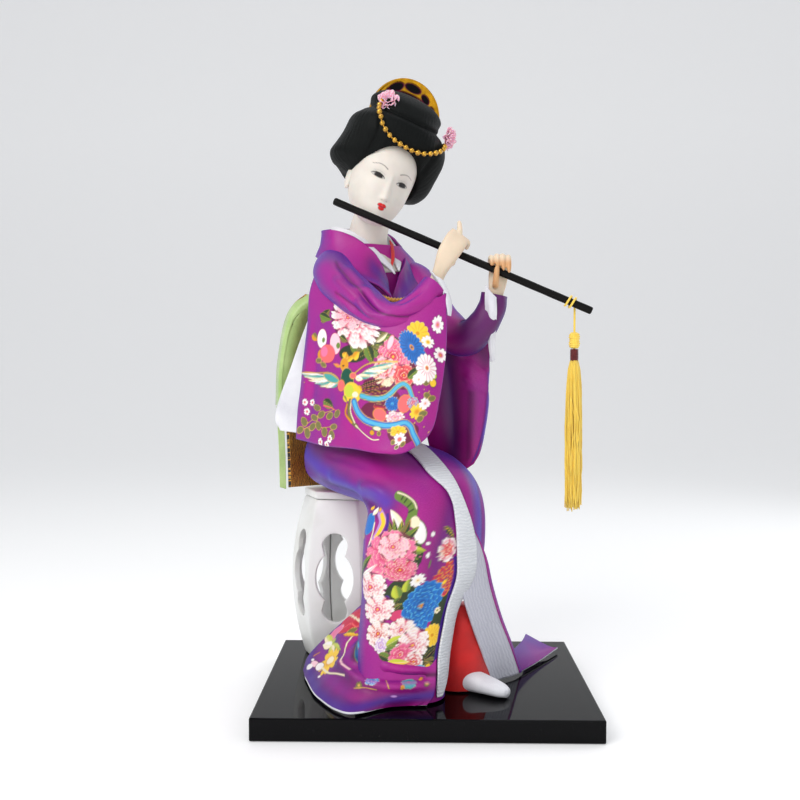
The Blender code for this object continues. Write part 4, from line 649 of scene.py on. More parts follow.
SKIRT_PRINT = (
    (spot, (78.3, 142.7), 7.2, 10.9, 178, "dark_leaf"),
    (spot, (53.6, 163), 5.2, 13.7, 171, "dark_leaf"),
    (spot, (52.4, 144.6), 5.5, 11.3, 168, "dark_leaf"),
    (spot, (80, 123.1), 7.1, 8.1, 178, "dark_leaf"),
    (spot, (66, 173), 12.6, 3.5, 171, "dark_leaf"),
    (spot, (83.8, 143.8), 1.9, 2.6, -178, "violet"),
    (spot, (75.4, 151.6), 4.8, 2.9, 178, "rose"),
    (stroke, ((84.4, 97.9), (81.7, 100.1), (79.4, 102.5), (79.3, 105.4), (80.3, 108.2)), 3.8, "leaf", 0.0),
    (stroke, ((84.6, 96.7), (81.6, 98.4), (78.9, 100.8), (77.7, 103.4)), 0.6, "cream", 0.3),
    (stroke, ((83.7, 99.5), (82.8, 98.5)), 0.5, "dark_leaf", 0),
    (stroke, ((82.6, 100.7), (81.3, 99.5)), 0.5, "dark_leaf", 0),
    (stroke, ((81.4, 102.6), (79.8, 101.4)), 0.5, "dark_leaf", 0),
    (stroke, ((80.9, 104.5), (79, 103.6)), 0.5, "dark_leaf", 0),
    (leaf, (82.8, 111.1), (88.1, 102.3), 3.6, "white", "cream", "blush"),
    (spot, (76, 112.4), 2.5, 4.7, -163, "white", "leaf"),
    (spot, (78.3, 108.4), 2, 2.3, 175, "cream"),
    (leaf, (84.8, 116.4), (89.1, 105.7), 2.5, "olive", "dark_leaf", "yellow"),
    (leaf, (84.4, 116), (86.7, 106), 2, "leaf", "dark_leaf", "lime"),
    (leaf, (84.1, 116), (83.2, 107.2), 2.9, "leaf", "dark_leaf", "yellow"),
    (leaf, (83.7, 115.6), (80, 107.1), 3.3, "olive", "dark_leaf", "amber"),
    (leaf, (83.2, 116.5), (76.6, 110), 3.3, "leaf", "dark_leaf", "lime"),
    (leaf, (82.2, 117.8), (76.3, 115.6), 2.5, "leaf", "dark_leaf", "lime"),
    (leaf, (81.8, 119.6), (72.1, 120.1), 4.1, "lime", "leaf", "yellow"),
    (leaf, (81.2, 120.9), (74.6, 123.9), 2.5, "leaf"),
    (blossom, (114.6, 55.6), 1.2, 0, "yellow", "amber"),
    (leaf, (122.2, 80.5), (103.2, 99.2), 5, "blush", "rose", "white"),
    (spot, (122.5, 96), 2.9, 2.9, 161, "lilac"),
    (spot, (100, 106.3), 4.3, 5.6, 174, "blue", "sky"),
    (leaf, (97.3, 102.1), (94.2, 99.4), 3.1, "white", "cream", "blush"),
    (stroke, ((92.9, 102.4), (91.2, 106.2), (92.2, 110), (94.3, 114), (96.2, 117.9)), 3.3, "lilac", 0.0),
    (stroke, ((91.9, 103.5), (90.7, 107.1), (91.7, 110), (93.8, 113.5)), 1.8, "yellow", 0.3),
    (stroke, ((95.3, 106.5), (96, 111.6), (97.2, 117)), 0.8, "cream", 0.2),
    (stroke, ((89.2, 104.1), (88.9, 108.1), (89.8, 111.4)), 1.2, "violet", 0.0),
    (blossom, (115.5, 108.3), 1.6, 178, "yellow", "amber"),
    (blossom, (104.2, 113.3), 1.6, -177, "yellow", "leaf"),
    (blossom, (98.5, 97.9), 1.2, 153, "yellow", "amber"),
    (blossom, (93, 101.1), 1, 163, "amber", "yellow"),
    (peony, (87.0, 121.5), 11.5, 11.0, 179, "pink", "rose", 8),
    (peony, (85.5, 118.0), 6.6, 5.8, 150, "blush", "rose", 6),
    (peony, (80.8, 128.4), 7.4, 5.8, 168, "pink", "red", 7),
    (leaf, (105.2, 136.7), (94.6, 121.6), 5, "leaf", "dark_leaf", "lime"),
    (leaf, (99.5, 134.1), (90.4, 125.8), 2.5, "white", "blush", "rose"),
    (leaf, (105.8, 132), (101.6, 123.6), 3.1, "leaf"),
    (leaf, (75.9, 139.7), (76.2, 132.9), 4, "lime", "leaf", "yellow"),
    (leaf, (78.3, 142.7), (81.4, 135.8), 5, "lime", "leaf", "yellow"),
    (leaf, (79.9, 148.2), (75.6, 145.4), 2.5, "olive"),
    (leaf, (80.1, 145.2), (77.2, 141.7), 2, "leaf"),
    (peony, (92.5, 137.5), 8.2, 8.0, -166, "white", "rose", 7),
    (peony, (87.0, 148.5), 8.6, 7.6, -175, "white", "rose", 8),
    (peony, (84.5, 160.0), 7.2, 6.4, -174, "white", "red", 7),
    (peony, (82, 165.2), 3.7, 4.2, -178, "white", "lilac", 5),
    (leaf, (82.4, 169.3), (74.5, 171.9), 4, "leaf", "dark_leaf", "gold"),
    (blossom, (72, 133.8), 3.4, 175, "white", "cream"),
    (peony, (62.4, 121), 4.1, 5.8, 175, "white", "rose", 6),
    (peony, (62.4, 121), 2.3, 3.1, 175, "coral", "red", 5),
    (leaf, (64.4, 111), (60.2, 116.1), 2.5, "olive", "dark_leaf", "yellow"),
    (spot, (70.3, 113.6), 0.9, 1.2, 175, "white"),
    (spot, (71.9, 117.2), 1.1, 0.9, 175, "white"),
    (spot, (70.7, 122.4), 1, 1.4, 175, "white"),
    (spot, (68.9, 126.5), 0.4, 1.9, 175, "leaf"),
    (spot, (74.1, 122.6), 0.3, 0.4, 175, "pink"),
    (dahlia, (59.1, 135.9), 6.4, 11.3, 171, "red", "amber", "yellow"),
    (dahlia, (65.1, 147.4), 10, 13.4, -177, "blue", "sky", "amber"),
    (blossom, (55.3, 150), 1.6, 175, "cream", "leaf"),
    (daisy, (54.5, 161.5), 5.8, 5.3, 168, 14, "yellow", "amber", "amber"),
    (leaf, (57.1, 172.1), (50, 167), 3.1, "dark_leaf", "black", "gold"),
    (leaf, (57, 173.5), (48.2, 172.7), 3.1, "olive", "black", "gold"),
    (leaf, (56.3, 174.4), (48.5, 176.2), 2.6, "olive", "black", "gold"),
    (peony, (72.6, 158.0), 7.4, 5.6, 179, "white", "rose", 7),
    (leaf, (79.2, 165.5), (71, 161), 4.5, "lime", "leaf", "cream"),
    (leaf, (79.4, 167.4), (70.4, 166.5), 3.5, "leaf", "dark_leaf", "cream"),
    (peony, (64.8, 165.5), 9.6, 8.4, -170, "white", "rose", 8),
    (peony, (71.0, 169.5), 6.6, 5.0, -155, "pink", "rose", 6),
    (peony, (62.8, 173.0), 5.4, 4.6, 178, "white", "red", 6),
    (leaf, (77.1, 172.8), (65.4, 173.1), 3, "lime", "yellow", "cream"),
    (leaf, (73.1, 174.5), (66.2, 176.1), 2.5, "cream", "amber", "white"),
    (peony, (59.5, 176.4), 4, 2, 177, "sky", "blue", 5),
    (blossom, (54.3, 175.9), 1.6, 174, "yellow", "amber"),
    (daisy, (64.2, 182.8), 4.5, 2.3, 177, 10, "teal", "blue", "coral"),
    (blossom, (57.7, 181.5), 1.5, 175, "amber", "coral"),
    (blossom, (53.9, 184.1), 1.5, 174, "olive", "gold"),
    (blossom, (53.8, 180.5), 1, 174, "gold", "olive"),
    (blossom, (67.8, 184.4), 1, 177, "amber", "olive"),
)
# Painted sheen and shade on the skirt, laid as soft glows: blue-violet and violet painted sheen along
# folds, a dusk line of painted shade in a crease and a faint orchid painted highlight.
SKIRT_SHEEN = (
    (glow, ((93, 8), (100, 50), (102, 80), (90, 99)), 5.5, "indigo", 0.8),
    (glow, ((110, 30), (110, 86), (104, 104)), 5.0, "indigo", 0.6),
    (glow, ((104.5, 40), (105, 84), (94, 103)), 1.6, "dusk", 0.6),
    (glow, ((60.4, 99), (66, 124), (62, 143)), 4.5, "violet", 0.6),
    (glow, ((45, 84), (48, 104), (47, 128)), 4.5, "indigo", 0.75),
    (glow, ((78, 40), (80, 88)), 7.0, "orchid", 0.25),
)
# Painted sheen on the train: a violet band along the hem, its dyed border deepened as painted sheen, and a
# plum band.
TRAIN_SHEEN = (
    (glow, ((28, -4), (36, 6), (39.5, 30), (39, 54), (35, 68), (33.5, 88)), 4.6, "violet", 0.95),
    (glow, ((20, 14), (26, 34), (29, 60)), 4.0, "plum", 0.5),
)
# Painted shade in the train's valley and in the dark pocket at its left, and an orchid painted highlight on
# the crest.
TRAIN_SHADE = (
    (glow, ((17, 38), (18.6, 60), (20, 88)), 2.3, "black", 0.7),
    (glow, ((0, 26), (6, 33), (13, 37)), 3.4, "black", 0.75),
    (glow, ((23, 32), (24.5, 50), (26, 86)), 1.0, "orchid", 0.4),
)
# Painted shade at the collar's two ends and along a crease.
COLLAR_SHADE = (
    (glow, ((8, -2), (8, 22)), 5.5, "violet", 0.8),
    (glow, ((8, 132), (8, 182)), 8.0, "violet", 0.85),
    (glow, ((14, 14), (15, 50)), 1.4, "indigo", 0.5),
)
# Painted shade over the far sleeve's left part and its folds, with blue-violet painted sheen.
LEFT_SHADE = (
    (glow, ((14, 4), (16, 42), (18, 66)), 7.5, "dusk", 0.85),
    (glow, ((19, 2), (28, 6), (33, 14)), 4.0, "dusk", 0.6),
    (glow, ((26, 30), (26.5, 62)), 1.6, "plum", 0.6),
    (glow, ((34.5, 20), (34, 50), (31, 66)), 1.3, "indigo", 0.8),
)
# Painted shade along the near arm's creases, blue-violet painted sheen at the shoulder and an orchid
# painted highlight on a crest.
ARM_SHADE = (
    (glow, ((3, 26), (1, 50)), 6.0, "indigo", 0.4),
    (glow, ((6, 30), (8, 53), (12, 62), (17, 71)), 0.9, "plum", 0.75),
    (glow, ((17, 72), (24, 79), (30, 85), (38, 96)), 0.8, "plum", 0.7),
    (glow, ((20, 44), (21, 62)), 0.9, "plum", 0.5),
    (glow, ((13, 38), (14, 56), (22, 68)), 1.3, "orchid", 0.35),
)
EDGE_PRINT = (
    (stroke, ((57.9, 124.9), (53.6, 138.5), (50.2, 150.6), (49.6, 163.4), (49.9, 176), (50.7, 185.7)), 2.3,
     "violet", 0.0),
    (stroke, ((57, 125), (51.8, 138.7), (47.8, 150.9), (47.4, 163.7), (47.8, 176.3), (48.3, 186.1)), 0.6,
     "lilac", 0.0),
)
TRAIN_PRINT = (
    (spot, (7.3, 8.6), 8.6, 7.2, 105, "red", "coral"),
    (stroke, ((11.4, -1.9), (6.5, 0.1), (3.3, 18)), 1, "cream", 0.2),
    (stroke, ((11.3, 8.7), (7.3, 12), (5.7, 25.6)), 0.7, "coral", 0.2),
    (spot, (9.4, 18), 2.2, 2.2, 107, "olive", "gold"),
    (spot, (15.8, 5.5), 4.8, 4.3, 143, "pink", "blush"),
    (leaf, (21.1, 11.6), (21.8, -3.3), 5, "cream", "lime"),
    (leaf, (21.1, 11.6), (16.5, 11.6), 5, "lime", "leaf"),
    (leaf, (21.1, 11.6), (18.6, 24.7), 5, "lime", "leaf"),
    (leaf, (21.1, 11.6), (24.4, 19.9), 5, "cream", "lime"),
    (leaf, (21.1, 11.6), (25.3, 3.8), 5, "cream", "white"),
    (blossom, (26.8, 20.8), 7.4, 105, "yellow", "amber"),
    (spot, (26.2, 21), 2.9, 2.2, 110, "cream", "amber"),
    (spot, (33.1, 10.3), 3.6, 1.4, 108, "blush", "wine"),
    (spot, (31.9, 15.9), 3.6, 2, 107, "white", "wine"),
    (spot, (36.1, 7.6), 2.9, 1.4, 120, "white"),
    (spot, (33, 6.3), 1.4, 0.6, 118, "white"),
    (spot, (34.7, 22.5), 1.2, 0.7, 111, "white"),
    (stroke, ((28.2, 7), (31.7, 4.8)), 0.7, "amber", 0.6),
    (stroke, ((31.4, 18.6), (30.7, 28.1), (28.6, 34.5), (27, 41)), 1, "cream", 0.7),
    (stroke, ((11.1, 23.3), (14.5, 25.9), (18.3, 28.8), (22.4, 32), (23.6, 36.9), (23.4, 42.7)), 1.1,
     "cream", 0.5),
    (leaf, (12.8, 15.8), (8.5, 26.7), 2.5, "yellow", "amber"),
    (ribbon, ((9.7, 37.4), (13.4, 38.6), (16.5, 42.3), (18, 48.5), (20.5, 53), (23.2, 56.7)), 4, "blue",
     "sky"),
    (spot, (9.4, 40.8), 2.9, 2.2, 112, "sky", "gold"),
    (peony, (24.2, 57.7), 3.6, 2.8, 96, "sky", "blue", 6),
    (stroke, ((8.8, 50.6), (12.5, 54.5), (16.7, 60.3), (22.3, 64), (27.6, 67.1)), 0.7, "gold", 0.8),
    (blossom, (27.8, 52.4), 1.9, 109, "olive", "gold"),
    (stroke, ((30, 50.7), (28.1, 55.6), (28.4, 61.3)), 0.5, "gold", 0.8),
    (daisy, (25.3, 75.6), 3.4, 3.1, 84, 10, "teal", "blue", "coral"),
    (blossom, (23.3, 80.6), 1.6, 83, "amber", "coral"),
    (blossom, (26.8, 83.3), 1.5, 83, "olive", "gold"),
    (blossom, (27.4, 72.8), 1, 84, "amber", "olive"),
    (spot, (32.8, 69.7), 1.3, 0.7, 84, "lilac"),
)


# Materials


def put(tree, kind, inputs=(), **settings):
    """Adds a node. Inputs maps a socket's name or number to a value or to another socket."""
    made = tree.nodes.new("ShaderNode" + kind)
    for key, value in settings.items():
        setattr(made, key, value)
    for key, value in dict(inputs).items():
        if isinstance(value, bpy.types.NodeSocket):
            tree.links.new(value, made.inputs[key])
        else:
            made.inputs[key].default_value = value
    return made


def calc(tree, operation, *values):
    """One operation on values in the material, such as a product."""
    return put(tree, "Math", dict(enumerate(values)), operation=operation).outputs[0]


def blend(tree, share, a, b, mode="MIX"):
    """Mixes two colours by a share."""
    made = put(tree, "Mix", data_type="RGBA", blend_type=mode)
    for socket, value in ((made.inputs[0], share), (made.inputs[6], a), (made.inputs[7], b)):
        if isinstance(value, bpy.types.NodeSocket):
            tree.links.new(value, socket)
        else:
            socket.default_value = (*value, 1.0) if hasattr(value, "__len__") else value
    return made.outputs[2]


def span(tree, value, low, high, to_low=0.0, to_high=1.0):
    """A value carried from one span to another."""
    return put(tree, "MapRange", {0: value, 1: low, 2: high, 3: to_low, 4: to_high}).outputs[0]


def noise(tree, vector, scale, detail=2.0, roughness=0.5):
    """Soft noise at a scale per metre of the vector given."""
    return put(tree, "TexNoise",
               {"Vector": vector, "Scale": scale, "Detail": detail, "Roughness": roughness}).outputs[0]


def group(name, inputs, outputs):
    """An empty shared group of nodes with its inputs and outputs."""
    tree = bpy.data.node_groups.new(name, "ShaderNodeTree")
    for title, kind in inputs:
        tree.interface.new_socket(title, in_out="INPUT", socket_type="NodeSocket" + kind)
    for title, kind in outputs:
        tree.interface.new_socket(title, in_out="OUTPUT", socket_type="NodeSocket" + kind)
    return tree, tree.nodes.new("NodeGroupInput"), tree.nodes.new("NodeGroupOutput")


def make_weave():
    """Plain weave: the product of two sine waves across the cloth, and a speckle of threads, which the
    cloths also use for painted glints.
    """
    tree, given, out = group("Weave", (("Cloth", "Vector"), ("Pitch", "Float")),
                             (("Height", "Float"), ("Speckle", "Float")))
    parts = put(tree, "SeparateXYZ", {0: given.outputs["Cloth"]})
    turns = calc(tree, "DIVIDE", 2 * math.pi, given.outputs["Pitch"])
    waves = [calc(tree, "SINE", calc(tree, "MULTIPLY", parts.outputs[k], turns)) for k in (0, 1)]
    tree.links.new(calc(tree, "MULTIPLY", *waves), out.inputs["Height"])
    speckle = span(tree, noise(tree, given.outputs["Cloth"], 2.2, 3.0, 0.7), 0.42, 0.68)
    tree.links.new(speckle, out.inputs["Speckle"])
    return tree


def make_ribs():
    """Ribs along one direction: a sine wave, wandering by a slow noise."""
    tree, given, out = group("Ribs", (("Cloth", "Vector"), ("Pitch", "Float"), ("Turn", "Float")),
                             (("Height", "Float"),))
    parts = put(tree, "SeparateXYZ", {0: given.outputs["Cloth"]})
    across = calc(tree, "ADD",
                  calc(tree, "MULTIPLY", parts.outputs[0], calc(tree, "COSINE", given.outputs["Turn"])),
                  calc(tree, "MULTIPLY", parts.outputs[1], calc(tree, "SINE", given.outputs["Turn"])))
    wander = calc(tree, "MULTIPLY", noise(tree, given.outputs["Cloth"], 0.25), 3.0)
    place_in = calc(tree, "DIVIDE", calc(tree, "ADD", across, wander), given.outputs["Pitch"])
    wave = calc(tree, "SINE", calc(tree, "MULTIPLY", place_in, 2 * math.pi))
    tree.links.new(wave, out.inputs["Height"])
    return tree


WEAVE, RIBS = make_weave(), make_ribs()


def use(tree, shared, **inputs):
    """One use of a shared group in a material."""
    made = tree.nodes.new("ShaderNodeGroup")
    made.node_tree = shared
    for key, value in inputs.items():
        if isinstance(value, bpy.types.NodeSocket):
            tree.links.new(value, made.inputs[key])
        else:
            made.inputs[key].default_value = value
    return made


def bump(tree, height, strength, distance):
    """Surface relief from a height, its distance in millimetres."""
    return put(tree, "Bump", {"Height": height, "Strength": strength, "Distance": distance * MM}).outputs[0]


def start(name, **values):
    """A material with its Principled shader's plain values set."""
    made = bpy.data.materials.new(name)
    made.use_nodes = True
    tree = made.node_tree
    shader = tree.nodes["Principled BSDF"]
    for key, value in values.items():
        socket = shader.inputs[key.replace("_", " ")]
        socket.default_value = (*value, 1.0) if hasattr(value, "__len__") else value
    return made, tree, shader


def attribute(tree, name, output):
    """A per-point value of the piece, read in its material."""
    return put(tree, "Attribute", attribute_name=name).outputs[output]


def wire(tree, shader, **sockets):
    """Joins values to the shader's inputs by their names."""
    for key, socket in sockets.items():
        tree.links.new(socket, shader.inputs[key.replace("_", " ")])


def position(tree):
    """The point's place on the object."""
    return put(tree, "TexCoord").outputs["Object"]


def make_lacquer():
    """Black gloss lacquer with faint smudges."""
    made, tree, shader = start("black_lacquer", Specular_IOR_Level=0.1, Coat_Weight=0.02,
                               Coat_Roughness=0.04)
    where = position(tree)
    smudge = span(tree, noise(tree, where, 28.0, 4.0, 0.6), 0.4, 0.75, 0.03, 0.12)
    dust = span(tree, noise(tree, where, 900.0, 2.0), 0.68, 0.75, 0.0, 0.05)
    colour = blend(tree, dust, (0.0015, 0.0015, 0.002), (0.30, 0.29, 0.28))
    wire(tree, shader, Roughness=smudge, Base_Color=colour,
         Normal=bump(tree, noise(tree, where, 60.0), 0.05, 0.2))
    return made


def make_paint():
    """White paint with brush marks and a little grime."""
    made, tree, shader = start("white_paint", Coat_Weight=0.15, Coat_Roughness=0.3)
    where = position(tree)
    brushed = noise(tree, put(tree, "Mapping", {0: where, 3: (260, 260, 30)}).outputs[0], 1.0, 3.0)
    grime = span(tree, noise(tree, where, 45.0, 4.0), 0.45, 0.8)
    colour = blend(tree, grime, linear((232, 233, 231)), linear((214, 214, 208)))
    wire(tree, shader, Base_Color=colour, Roughness=span(tree, brushed, 0.3, 0.7, 0.32, 0.5),
         Normal=bump(tree, brushed, 0.12, 0.15))
    return made


def make_skin(name, tone):
    """Moulded skin with painted features and painted shade."""
    made, tree, shader = start(name, Subsurface_Weight=0.12, Subsurface_Scale=0.002, Roughness=0.5,
                               Specular_IOR_Level=0.4)
    where = position(tree)
    colour = blend(tree, span(tree, noise(tree, where, 120.0, 3.0), 0.35, 0.7), linear(tone),
                   linear(np.array(tone) * 0.96))
    colour = blend(tree, attribute(tree, "Print", "Alpha"), colour, attribute(tree, "Print", "Color"))
    shine = blend(tree, attribute(tree, "Gold", "Fac"), (0.52,) * 3, (0.25,) * 3)
    wire(tree, shader, Base_Color=colour, Roughness=shine,
         Normal=bump(tree, noise(tree, where, 900.0), 0.04, 0.1))
    return made


def make_hair_finish():
    """Black hair with fine strands along the cloth coordinates."""
    made, tree, shader = start("black_hair", Specular_IOR_Level=0.1)
    cloth = attribute(tree, "Cloth", "Vector")
    strands = noise(tree, put(tree, "Mapping", {0: cloth, 3: (3.2, 0.12, 1.0)}).outputs[0], 1.0, 3.0, 0.65)
    colour = blend(tree, strands, (0.001, 0.0013, 0.0013), (0.008, 0.0095, 0.009))
    wire(tree, shader, Base_Color=colour, Roughness=span(tree, strands, 0.3, 0.7, 0.42, 0.66),
         Normal=bump(tree, strands, 0.5, 0.35))
    return made


def make_gilt(name, tone, roughness, dark_openings=False):
    """Gilt metal with patchy wear; one with dark openings is painted black where its cover lies, for the
    hair and shade seen through piercings.
    """
    made, tree, shader = start(name, Metallic=0.85, Coat_Weight=0.0 if dark_openings else 0.5,
                               Coat_Roughness=0.08)
    where = position(tree)
    patch = span(tree, noise(tree, where, 260.0, 3.0), 0.35, 0.7)
    colour = blend(tree, patch, linear(tone), linear(np.array(tone) * 0.82))
    if dark_openings:
        cover = attribute(tree, "Print", "Alpha")
        colour = blend(tree, cover, colour, attribute(tree, "Print", "Color"))
        wire(tree, shader, Metallic=span(tree, cover, 0, 1, 0.85, 0.0),
             Specular_IOR_Level=span(tree, cover, 0, 1, 0.5, 0.05))
    wire(tree, shader, Base_Color=colour, Roughness=span(tree, patch, 0, 1, roughness, roughness + 0.15),
         Normal=bump(tree, noise(tree, where, 700.0), 0.08, 0.1))
    return made


def make_thread(name, tone, dark, scale=(4.0, 0.3, 1.0)):
    """Twisted or combed thread: stripes of noise stretched along the thread."""
    made, tree, shader = start(name, Roughness=0.45, Sheen_Weight=0.4, Sheen_Roughness=0.4,
                               Specular_IOR_Level=0.35)
    cloth = attribute(tree, "Cloth", "Vector")
    fibres = noise(tree, put(tree, "Mapping", {0: cloth, 3: scale}).outputs[0], 1.0, 4.0, 0.6)
    wire(tree, shader, Base_Color=blend(tree, span(tree, fibres, 0.3, 0.7), linear(dark), linear(tone)),
         Normal=bump(tree, fibres, 0.6, 0.25))
    return made


def make_flute_finish():
    """Black flute wood with a long grain."""
    made, tree, shader = start("black_flute", Specular_IOR_Level=0.12, Coat_Weight=0.02,
                               Coat_Roughness=0.25)
    cloth = attribute(tree, "Cloth", "Vector")
    grain = noise(tree, put(tree, "Mapping", {0: cloth, 3: (1.6, 0.06, 1.0)}).outputs[0], 1.0, 3.0)
    wire(tree, shader, Base_Color=blend(tree, grain, (0.001, 0.001, 0.001), (0.007, 0.006, 0.005)),
         Roughness=span(tree, grain, 0.3, 0.7, 0.34, 0.5), Normal=bump(tree, grain, 0.2, 0.2))
    return made


def make_silk():
    """Shot silk, magenta face-on and violet at a glancing angle, lightened by painted thread glints, with
    the print and painted shade over it.
    """
    made, tree, shader = start("printed_silk", Sheen_Weight=0.26, Sheen_Roughness=0.35,
                               Specular_IOR_Level=0.45)
    cloth = attribute(tree, "Cloth", "Vector")
    weave = use(tree, WEAVE, Cloth=cloth, Pitch=0.55)
    cloud = span(tree, noise(tree, position(tree), 38.0, 3.0), 0.38, 0.66)
    facing = put(tree, "LayerWeight", {"Blend": 0.42}).outputs["Facing"]
    turn = calc(tree, "ADD", span(tree, facing, 0.25, 0.8), calc(tree, "MULTIPLY", cloud, 0.28))
    base = blend(tree, calc(tree, "MINIMUM", turn, 1.0), linear((166, 12, 130)), linear((62, 26, 138)))
    # Painted glints: the weave's speckle lightens the magenta.
    base = blend(tree, calc(tree, "MULTIPLY", weave.outputs["Speckle"], 0.3), base, linear((212, 54, 172)))
    colour = blend(tree, attribute(tree, "Print", "Alpha"), base, attribute(tree, "Print", "Color"))
    wire(tree, shader, Metallic=calc(tree, "MULTIPLY", attribute(tree, "Gold", "Fac"), 0.6))
    height = calc(tree, "ADD", calc(tree, "MULTIPLY", weave.outputs["Height"], 0.5),
                  weave.outputs["Speckle"])
    wire(tree, shader, Base_Color=colour, Roughness=span(tree, weave.outputs["Speckle"], 0, 1, 0.5, 0.32),
         Normal=bump(tree, height, 0.22, 0.12))
    shader.inputs["Sheen Tint"].default_value = (*linear((150, 110, 255)), 1)
    return made


def make_ribbed(name, tone, shade, pitch, turn, tall):
    """Ribbed cloth, its ribs at a pitch and turn, with painted shade in the ribs' troughs."""
    made, tree, shader = start(name, Sheen_Weight=0.3, Specular_IOR_Level=0.5)
    cloth = attribute(tree, "Cloth", "Vector")
    weave = use(tree, WEAVE, Cloth=cloth, Pitch=0.5)
    ribs = use(tree, RIBS, Cloth=cloth, Pitch=pitch, Turn=turn)
    # Painted shade in the troughs of the ribs, and painted glints where the speckle lifts the crests.
    share = calc(tree, "MULTIPLY", span(tree, ribs.outputs[0], -1, 1),
                 span(tree, weave.outputs["Speckle"], 0, 1, 0.6, 1.0))
    height = calc(tree, "ADD", calc(tree, "MULTIPLY", ribs.outputs[0], tall),
                  calc(tree, "MULTIPLY", weave.outputs["Height"], 0.3))
    tint = blend(tree, put(tree, "LayerWeight", {"Blend": 0.3}).outputs["Facing"], linear(tone),
                 linear(shade))
    wire(tree, shader, Base_Color=blend(tree, share, blend(tree, 0.35, tint, linear(shade)), tint),
         Roughness=span(tree, share, 0, 1, 0.55, 0.34), Normal=bump(tree, height, 0.45, 0.3))
    return made


def make_plain_cloth(name, tone, shade, roughness=0.45, sheen=0.3):
    """Plain woven cloth in two close tones, with painted thread glints."""
    made, tree, shader = start(name, Sheen_Weight=sheen, Specular_IOR_Level=0.45)
    cloth = attribute(tree, "Cloth", "Vector")
    weave = use(tree, WEAVE, Cloth=cloth, Pitch=0.5)
    cloud = span(tree, noise(tree, position(tree), 60.0, 3.0), 0.35, 0.7)
    colour = blend(tree, cloud, linear(tone), linear(shade))
    # Painted glints: the weave's speckle lightens the tone.
    colour = blend(tree, calc(tree, "MULTIPLY", weave.outputs["Speckle"], 0.22), colour,
                   linear(np.minimum(np.array(tone) * 1.12 + 8, 255)))
    wire(tree, shader, Base_Color=colour,
         Roughness=span(tree, weave.outputs["Speckle"], 0, 1, roughness + 0.08, roughness - 0.1),
         Normal=bump(tree, weave.outputs["Height"], 0.3, 0.12))
    return made


def make_brocade():
    """Gold thread figures on black: bands of a distorted wave, broken by a cell pattern."""
    made, tree, shader = start("gold_brocade")
    cloth = attribute(tree, "Cloth", "Vector")
    wave = put(tree, "TexWave",
               {"Vector": cloth, "Scale": 0.32, "Distortion": 7.0, "Detail": 3.0,
                "Detail Scale": 1.4}).outputs["Fac"]
    cells = put(tree, "TexVoronoi", {"Vector": cloth, "Scale": 0.8}).outputs["Distance"]
    mask = span(tree, calc(tree, "ADD", wave, calc(tree, "MULTIPLY", cells, 0.35)), 0.42, 0.52)
    weave = use(tree, WEAVE, Cloth=cloth, Pitch=0.7)
    glint = blend(tree, weave.outputs["Speckle"], linear((206, 140, 34)), linear((252, 204, 96)))
    wire(tree, shader, Base_Color=blend(tree, mask, (0.012, 0.009, 0.008), glint),
         Metallic=calc(tree, "MULTIPLY", mask, 0.35),
         Roughness=span(tree, mask, 0, 1, 0.6, 0.36),
         Normal=bump(tree, calc(tree, "ADD", mask, weave.outputs["Height"]), 0.4, 0.2))
    return made


def make_petal():
    """Thin pink crepe of the hair flowers."""
    made, tree, shader = start("pink_petal", Subsurface_Weight=0.3, Subsurface_Scale=0.002, Roughness=0.45,
                               Sheen_Weight=0.4)
    crepe = noise(tree, position(tree), 1500.0, 2.0)
    wire(tree, shader,
         Base_Color=blend(tree, span(tree, crepe, 0.35, 0.65), linear((232, 160, 188)),
                          linear((252, 214, 226))),
         Normal=bump(tree, crepe, 0.4, 0.2))
    return made


# Camera, light and floor: metres, with lamps as name, width, power, place and the point they face

CAMERA_AT, CAMERA_TURN, CAMERA_LENS = (-0.0054, -0.4759, 0.1647), (90 - 2.21, -0.10, 0.91), 43.83
SKY_STRENGTH = 0.56
LAMPS = (
    ("key", 0.5, 4.0, (-0.42, -0.55, 0.62), (0, 0, 0.15)),
    ("front", 0.7, 0.9, (0.35, -0.75, 0.35), (0, 0, 0.13)),
    ("top", 0.6, 1.4, (0.05, 0.15, 0.85), (0, 0, 0.1)),
    ("rim", 0.4, 1.0, (0.6, 0.35, 0.4), (0, 0, 0.15)),
)


